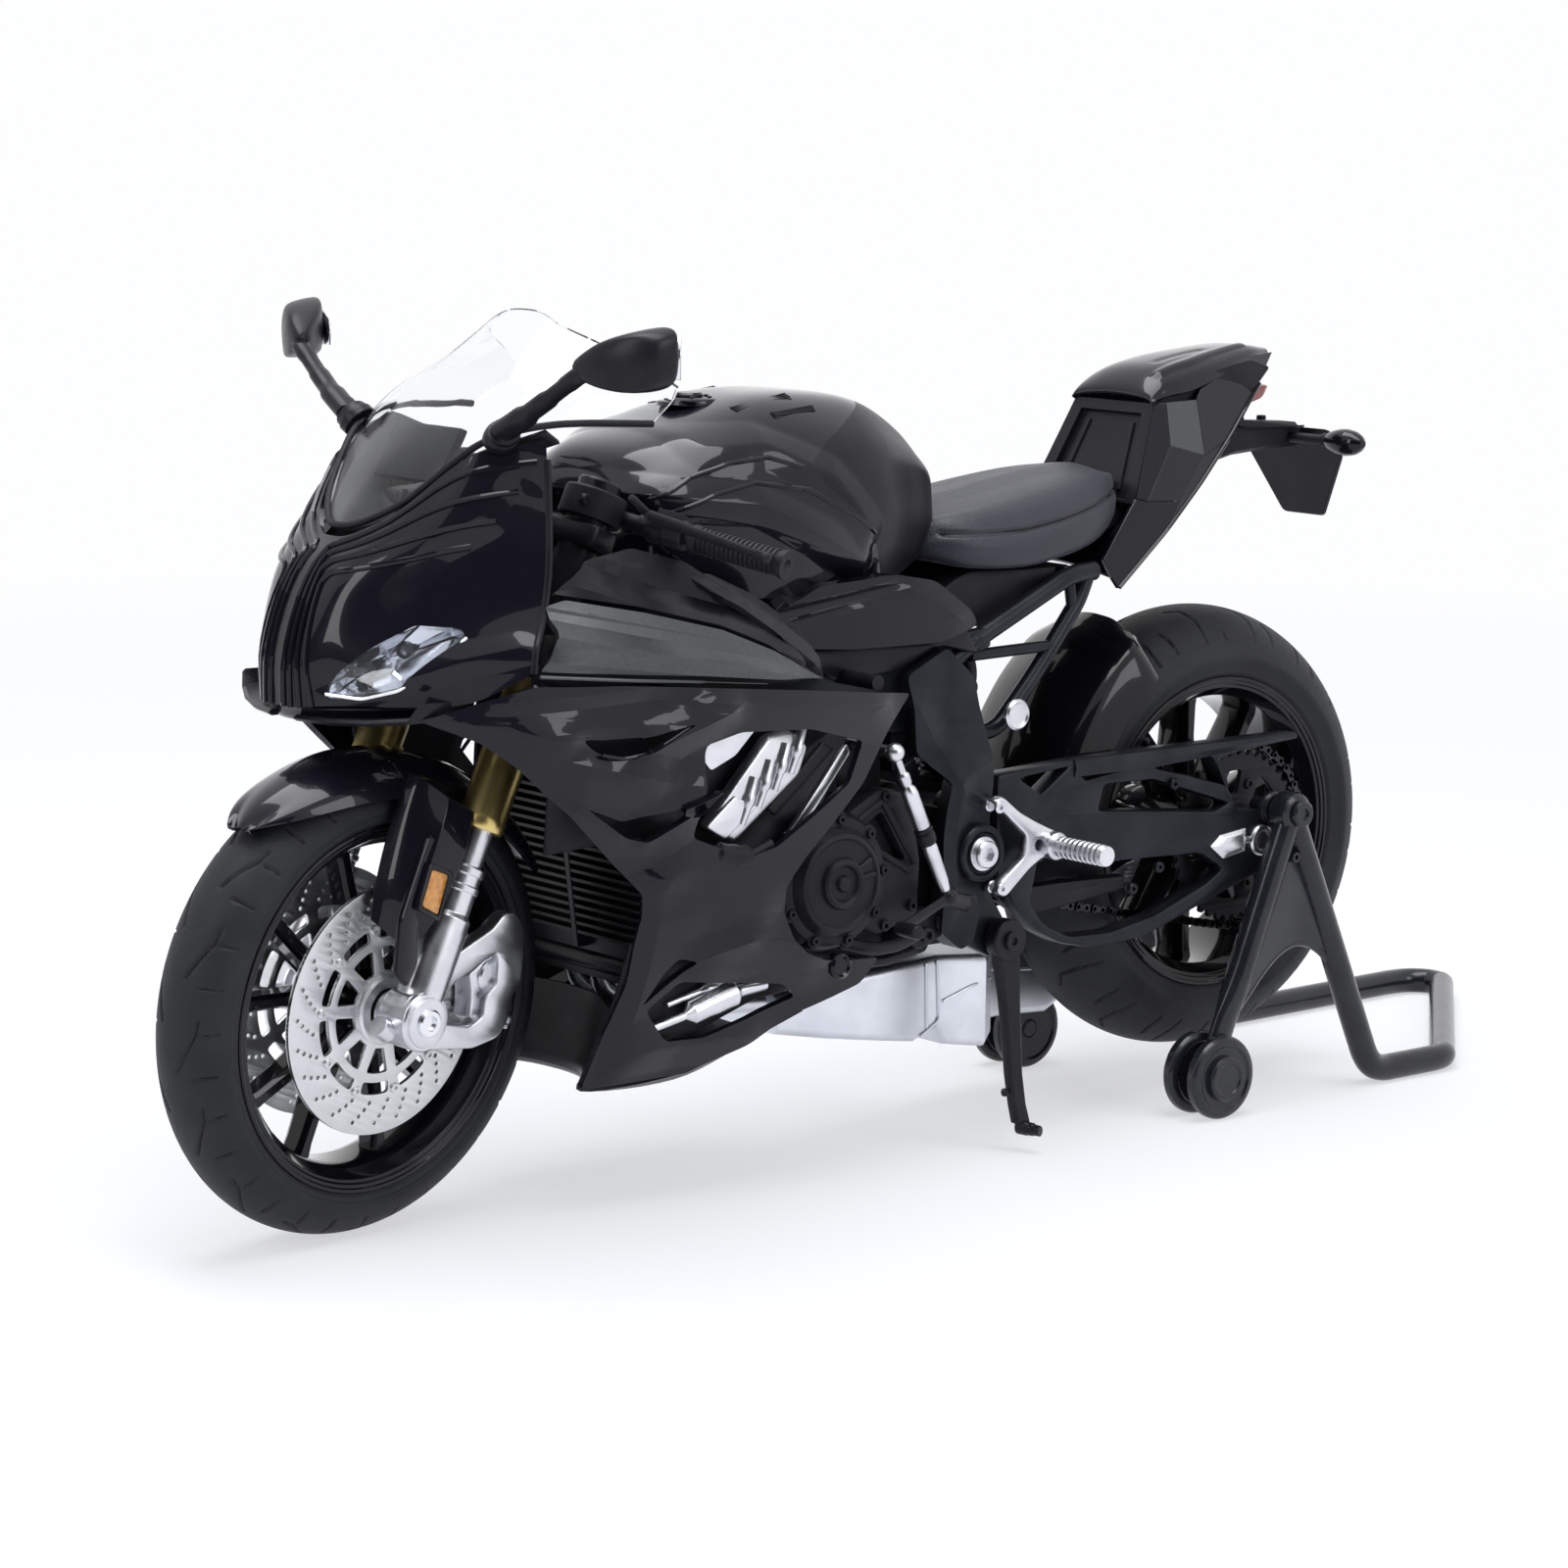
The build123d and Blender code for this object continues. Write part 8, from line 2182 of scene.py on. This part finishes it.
clamp = [upright([(3.1, 73.1), (4.4, 73.1), (4.5, 73.4), (4.5, 77.0), (4.3, 77.3), (3.1, 77.3),
    (3.1, 73.1)], 36, (0, 12.0, 0)), rod(on_bar(0), on_bar(1), 1.1, 20),
         bolt(4.0, 13.6, 75.2, 0.8, 0.8, 1, 0.4)]
switch = [along_rod(on_bar(0.19), on_bar(1), [(1.0, 0), (2.1, 0), (2.2, 0.3), (2.2, 2.4), (1.9, 2.5),
    (1.9, 2.8), (2.2, 2.9), (2.2, 5.6), (2.0, 5.9), (1.0, 5.9)], 10),
          loft([[Vector(on_bar(t, (dx, 0, dz))) for dx, dz in ((-1.6, 1.2), (1.4, 1.2), (1.4, 2.7),
              (-1.6, 2.7))] for t in (0.24, 0.38)]),
          along_rod(on_bar(0.30, (-1.8, 0, 1.4)), on_bar(1, (-1.8, 0, 1.4)),
              [(0, 0), (0.6, 0), (0.6, 1.4), (0, 1.4)], 12),
          along_rod(on_bar(0.13), on_bar(1), [(1.0, 0), (1.5, 0.1), (1.6, 1.4), (1.0, 1.5)], 18)]
reservoir = [upright([(0, 76.6), (1.7, 76.6), (1.8, 77.0), (1.8, 79.4), (2.0, 79.5), (2.0, 80.2),
    (1.8, 80.4), (0, 80.4)], 28, (2.6, 20.6, 0)), rod((2.6, 20.6, 77.0), on_bar(0.24, (0.4, 0, 0.6)), 0.6,
    12)]
build("bars_shown", both_sides(clamp + switch) + both_sides(reservoir)[1:2], matt_black, "steering",
    "clip_ons", FRONT, 0.12, angle=28)
grip_profile = [(1.1, 0), (2.1, 0), (2.1, 0.5)]
for k in range(17):
    y = 0.8 + k * 0.76
    grip_profile += [(1.92, y), (1.92, y + 0.42), (1.7, y + 0.46), (1.7, y + 0.7)]
grip_profile += [(1.92, 13.9), (1.92, bar_length * 0.55 - 0.6), (2.1, bar_length * 0.55 - 0.5),
    (2.1, bar_length * 0.55), (1.5, bar_length * 0.55), (1.1, bar_length * 0.55)]
build("grips_shown", both_sides([along_rod(on_bar(0.45), on_bar(1), grip_profile, 26)]), grip_rubber,
    "steering", "grips", FRONT)
lever = [tube([on_bar(0.28, (1.6, 0, 0.5)), on_bar(0.30, (4.6, 0, 0.6))], [1.1, 1.0], 0, 14),
    tube([on_bar(0.30, (4.6, 0, 0.6)), on_bar(0.55, (5.2, 0, 0.2)), on_bar(0.9, (4.3, 0, -0.3)),
    on_bar(0.98, (4.0, 0, -0.4))],
                                                                                          [0.95, 0.8, 0.6,
                                                                                              0.75], 3, 14, 0.65), ball(*on_bar(0.98, (4.0, 0, -0.4)), 0.85, 16)]
build("levers_hand", both_sides(lever), matt_black, "steering", "control_levers", FRONT)
yokes = []
for low, reach in ((50.0, 5.0), (69.0, 4.0)):
    half = [(-8.2, 5.0), (-3.4, 12.0), (-2.6, 16.4), (2.6, 16.4), (reach, 8.0)]
    outline = soften(half + [(x, -y) for x, y in reversed(half)], 1.0, 3)
    flat, flat_faces = plate(outline, low, low + 3.4, [circle(-3.6, 0, 1.9, 20)], 0.5)
    turn_flat = Matrix(((1, 0, 0, 0), (0, 0, 1, 0), (0, 1, 0, 0), (0, 0, 0, 1)))
    yokes.append(([turn_flat @ p for p in flat], [tuple(reversed(f)) for f in flat_faces]))
yokes += [upright([(0, 49.8), (2.0, 49.8), (2.0, 73.8), (0, 73.8)], 28, (-3.6, 0, 0)),
    upright([(0, 72.3), (2.6, 72.3), (2.7, 72.7), (2.7, 73.3), (2.3, 73.9), (1.2, 73.9), (1.1, 73.5),
    (0, 73.5)], 6, (-3.6, 0, 0))]
build("yokes_shown", yokes, satin_black, "steering", "triple_clamps", FRONT, 0.1)
caps = [upright([(0, 78.9), (2.7, 78.9), (2.7, 78.4), (0, 78.4)], 32, (0, 12, 0)),
    upright([(0, 78.95), (1.2, 78.95), (1.2, 78.6), (0, 78.6)], 6, (0, 12, 0))]
build("fork_caps", both_sides(caps), chrome_black, "steering", (), FRONT, 0.05)
print("bars done")

# %% [markdown]
# Radiator and belly. The radiator is a stack of thin slats in two columns. The belly pan is a
# smooth chin under it. Header pipes run down between them.

# %% Radiator, belly and stays
core_y = 17.8
slats = []
for k in range(18):
    z = 38.0 + k * 1.3
    x = 39.35 + (z - 36.0) * 0.137
    for side in (-1, 1):
        slats.append(loft([[Vector((x + dx, y * side, z + dz)) for dx,
            dz in ((0, -0.2), (1.35, 0.1), (1.45, 0.6), (0, 0.35))] for y in (0.7, core_y)]))
frame_bars = [loft([[Vector((x + dx, y + dy, z)) for dx, dy in ((-1.2, -0.5), (1.5, -0.5), (1.5, 0.5),
    (-1.2, 0.5))] for x, z in ((39.3, 36.0), (42.7, 61.3))]) for y in (-core_y - 0.1, 0, core_y + 0.1)]
back_plate = [loft([[Vector((x + dx, y, z)) for dx, y in ((-2.2, -18.3), (-0.2, -18.3), (-0.2, 18.3),
    (-2.2, 18.3))] for x, z in ((39.2, 31.6), (39.2, 36.0), (42.6, 61.4))])]
lower_core = [rod((38.2, -18.2, 34.0), (38.2, 18.2, 34.0), 1.6, 18)]
hoses = [rod((33.0, s * 12.0, 42.0), (38.0, s * 12.0, 42.0), 1.5) for s in (-1,
    1)] + [tube([(39.2, s * 10.0, 54.0), (36.2, s * 10.0, 54.6), (32.6, s * 10.0, 60.0)], 1.3, 2,
    16) for s in (-1, 1)]
build("radiator_shown", slats + frame_bars + back_plate + lower_core + hoses, satin_black, "chassis",
    "radiator", None, 0)
belly_rows = [
    [(42.0, 0, 30.5), (43.0, 8, 30.5), (46.4, 14.8, 30.5), (48.0, 18.4, 30.5)], [(43.0, 0, 24.0),
        (44.2, 8, 24.0), (48.0, 14.0, 24.0), (50.0, 17.1, 24.0)],
    [(44.0, 0, 18.4), (45.2, 8, 18.4), (49.2, 13.0, 18.5), (51.4, 15.4, 18.9)], [(33.0, 0, 17.3),
        (33.0, 8, 17.3), (34.0, 14.0, 17.9), (35.0, 17.1, 19.5)],
    [(20.0, 0, 19.7), (20.0, 8, 19.9), (22.0, 15.0, 21.6), (24.0, 19.1, 23.3)], [(14.0, 0, 21.1),
        (14.0, 8, 21.3), (14.4, 15.4, 24.5), (15.0, 20.4, 26.7)],
]
build("belly_shown", [grid_part(smooth_rows(whole_rows(belly_rows), 6))], satin_black, "chassis",
    "belly_pan", None, 0.15, thickness=0.9, inward=(26, 0, 40))
headers = [tube([(34.6, y, 57.0), (34.8, y, 27.8), (24.0, y * 0.4 - 3.0, 24.6),
    (6.6, y * 0.4 - 3.0, 23.4)], 1.2, 5, 18) for y in (-9.6, -3.2, 3.2, 9.6)]
build("headers_shown", headers, exhaust_silver, "chassis", "exhaust_headers")
print("radiator and belly done")

# %% [markdown]
# Exhaust. A pale folded box with seams: it narrows towards the front, has a vertical joint with
# a small pressed fold, and a lid line along the upper rear.

# %% Exhaust
exhaust_stations = [
    # x, low z, high z, left y, right y
    (5.8, 18.8, 24.8, 3.4, -11.4), (-2.0, 17.6, 26.4, 6.0, -12.6), (-12.0, 16.2, 27.6, 7.6,
        -14.0), (-17.8, 15.4, 28.0, 7.9, -14.6), (-20.0, 16.2, 28.2, 7.9, -14.8),
    (-22.2, 17.0, 28.3, 7.9, -15.0), (-24.0, 14.2, 28.2, 7.9, -15.2), (-32.0, 12.8, 27.4, 7.9,
        -16.0), (-38.0, 12.7, 26.6, 2.4, -16.8), (-43.0, 12.4, 25.8, -7.0, -17.3),
    (-52.0, 11.6, 24.4, -11.0, -17.5), (-63.0, 10.9, 22.8, -11.6, -17.4), (-67.0, 12.9, 21.6, -11.7,
        -17.3), (-68.4, 14.6, 20.8, -12.0, -17.1)]
rings = []
for x, low, high, left, right in exhaust_stations:
    r = 1.3
    ring_shape = []
    for cy, cz, a0 in ((left - r, high - r, 0), (right + r, high - r, 90), (right + r, low + r, 180),
        (left - r, low + r, 270)):
        ring_shape += [Vector((x, cy + r * math.cos(math.radians(a0 + d)),
            cz + r * math.sin(math.radians(a0 + d)))) for d in (0, 22, 45, 68, 90)]
    rings.append(ring_shape)
box_part = loft(rings)
lid = []
lid_path = [(-23.0, 8.0, 21.2), (-30.0, 8.05, 23.2), (-37.0, 3.6, 22.6), (-43.2, -6.9, 21.4),
    (-52.0, -10.95, 19.4), (-62.0, -11.55, 18.4), (-67.4, -11.6, 17.6)]
lid.append(tube(lid_path, 0.3, 2, 8))
lid.append(tube([(-19.6, 8.0, 27.6), (-19.9, 8.0, 17.4)], 0.25, 0, 8))
lid.append(tube([(-21.8, 8.0, 27.8), (-22.3, 8.0, 18.4), (-18.6, 8.0, 16.2)], 0.25, 1, 8))
outlet = [along_rod((-66.0, -14.5, 16.6), (-72.0, -15.4, 17.4),
    [(2.0, 0), (2.6, 0), (2.6, 5.4), (2.75, 5.5), (2.75, 6.0), (2.1, 6.05), (2.0, 5.0), (1.9, 2.0),
    (0, 2.0)], 36)]
build("exhaust_shown", [box_part] + lid + outlet, exhaust_silver, "chassis", "exhaust", None,
    0.25, angle=35)
print("exhaust done")

# %% [markdown]
# Kickstand and paddock stand. The kickstand is a flat forged leg with a broad boss. The stand is
# bent tube: two A-frames with a welded web whose foot is an arch, double rollers with raised
# caps in front and a long loop on the floor behind.

# %% Kickstand
KICK_PIN = (-24.6, 0, 32.6)
kick = [turned_part([(0.95, 18.8), (3.0, 18.8), (3.2, 19.2), (3.2, 21.2), (3.0, 21.5), (0.95, 21.5),
    (0.95, 18.8)], 40, KICK_PIN)]
leg_rings = []
for x, y, z, w, d in ((-24.7, 20.1, 31.0, 2.6, 1.1), (-24.9, 20.3, 28.0, 2.3, 1.05),
    (-25.1, 20.6, 24.0, 1.9, 1.0), (-25.4, 21.0, 18.0, 1.6, 0.95), (-25.6, 21.4, 12.0, 1.45, 0.95),
                      (-26.0, 21.9, 7.4, 1.4, 0.95), (-26.4, 22.4, 4.6, 1.5, 0.95)):
    leg_rings.append([Vector((x + w * c, y + d * s, z)) for c,
        s in ((-1, -0.5), (-0.7, -1), (0.7, -1), (1, -0.5), (1, 0.5), (0.7, 1), (-0.7, 1), (-1, 0.5))])
kick.append(loft(leg_rings))
kick.append(tube([(-26.2, 22.0, 3.9), (-27.0, 24.0, 3.75), (-27.6, 25.6, 3.6)], [1.35, 1.2, 1.0], 1, 16,
    0.8))
kick.append(rod((-23.9, 21.3, 9.6), (-23.1, 22.4, 9.4), 0.55, 12))
build("kickstand_shown", kick, satin_black, "kickstand", "kickstand", None, 0.15, angle=30)

# %% Paddock stand and rollers
STAND_HALF = 22.5           # middle of each side
STAND_TUBE = 2.15           # tube radius
FLOOR_TUBE_Z = 2.16         # middle of the tube that lies on the floor
ROLLER = (-66.0, 0, 6.6)
stand_parts = []
for sign in (1, -1):
    y = STAND_HALF * sign
    left = sign > 0
    leg_way = Vector((-66.0 + 82.5, 0, 6.6 - 46.7)).normalized()
    across_leg = Vector((leg_way.z, 0, -leg_way.x))
    leg_sections = []
    for reach, wide, thick in ((0, 2.15, 2.15), (26.0, 2.15, 2.15), (30.0, 2.2, 2.0), (34.4, 2.3, 1.15),
        (41.0, 2.4, 1.1), (44.4, 2.3, 1.1), (46.0, 1.4, 0.9)):
        here = Vector((-82.5, y, 46.7)) + leg_way * reach
        leg_sections.append([here + across_leg * math.cos(2 * math.pi * j / 26) * wide + Vector((0,
            math.sin(2 * math.pi * j / 26) * thick, 0)) for j in range(26)])
    stand_parts.append(loft(leg_sections))
    floor_run = [(-118.0, y, FLOOR_TUBE_Z), (-121.0, y - 0.6 * sign, FLOOR_TUBE_Z),
        (-123.0, y - 2.6 * sign, FLOOR_TUBE_Z)] if left else \
        [(-157.5, y - 1.5, FLOOR_TUBE_Z), (-161.5, y - 0.8, FLOOR_TUBE_Z),
            (-164.0, y + 2.2, FLOOR_TUBE_Z), (-163.6, y + 5.2, FLOOR_TUBE_Z)]
    stand_parts.append(tube([(-82.5, y, 46.7), (-101.5, y, 5.0), (-103.2, y, 3.0),
        (-105.8, y, FLOOR_TUBE_Z)] + floor_run, STAND_TUBE, 4.5, 26))
    stand_parts.append(turned_part([(1.6, y - 2.1), (2.3, y - 2.1), (3.1, y - 1.5), (3.3, y),
        (3.1, y + 1.5), (2.3, y + 2.1), (1.6, y + 2.1), (1.6, y - 2.1)], 40, (-82.5, 0, 46.7)))
    stand_parts.append(bolt(-82.7, y + sign * 1.0, 39.6, 0.9, 0.7, sign, 0.5))
    web = [(-82.5, 44.0), (-81.0, 42.0)]
    for k in range(17):
        t = k / 16
        web.append((-71.6 - 26.4 * t, 15.6 + 10.0 * math.sin(math.pi * t)))
    web.append((-84.0, 42.0))
    stand_parts.append(plate(web, y - 0.65, y + 0.65, edge=0.2))
    stand_parts.append(tube([(-71.8, y, 16.2)] + [(-71.6 - 26.4 * k / 10, y,
        15.6 + 10.0 * math.sin(math.pi * k / 10)) for k in range(1,
        10)] + [(-98.0, y, 15.6)], 0.7, 1.5, 10))
cross_bar = tube([(-123.0, 19.9, FLOOR_TUBE_Z), (-163.6, -17.3, FLOOR_TUBE_Z)], STAND_TUBE, 0, 26)
stand_parts.append(cross_bar)
build("stand_shown", stand_parts, stand_black, "paddock_stand", "paddock_stand", None, 0,
    angle=40)
for name, sign in (("left", 1), ("right", -1)):
    y = STAND_HALF * sign
    roller = []
    for inner, outer in ((1.3, 3.9), (-3.9, -1.3)):
        low, high = min(inner, outer), max(inner, outer)
        roller.append(turned_part([(1.5, y + low), (5.6, y + low), (6.3, y + low + 0.3),
            (6.6, y + low + 0.8), (6.6, y + high - 0.8), (6.3, y + high - 0.3), (5.6, y + high), (5.2,
            y + high),
                                   (4.9, y + high - 0.3), (1.5, y + high - 0.3), (1.5,
                                       y + low)], 56, ROLLER))
    face = y + sign * 3.9
    roller.append(turned_part([(0, face - sign * 0.4), (3.6, face - sign * 0.4), (3.6, face + sign * 0.5),
        (3.3, face + sign * 0.8), (2.6, face + sign * 0.8), (2.4, face + sign * 0.55), (0,
        face + sign * 0.55)],
                              36, ROLLER))
    roller.append(rod((-66.0, y - 3.8, 6.6), (-66.0, y + 3.8, 6.6), 1.4, 20))
    build(f"roller_{name}_shown", roller, stand_black, f"stand_roller_{name}",
        f"stand_roller_{name}", None, 0.1, angle=30)
print("stand done")
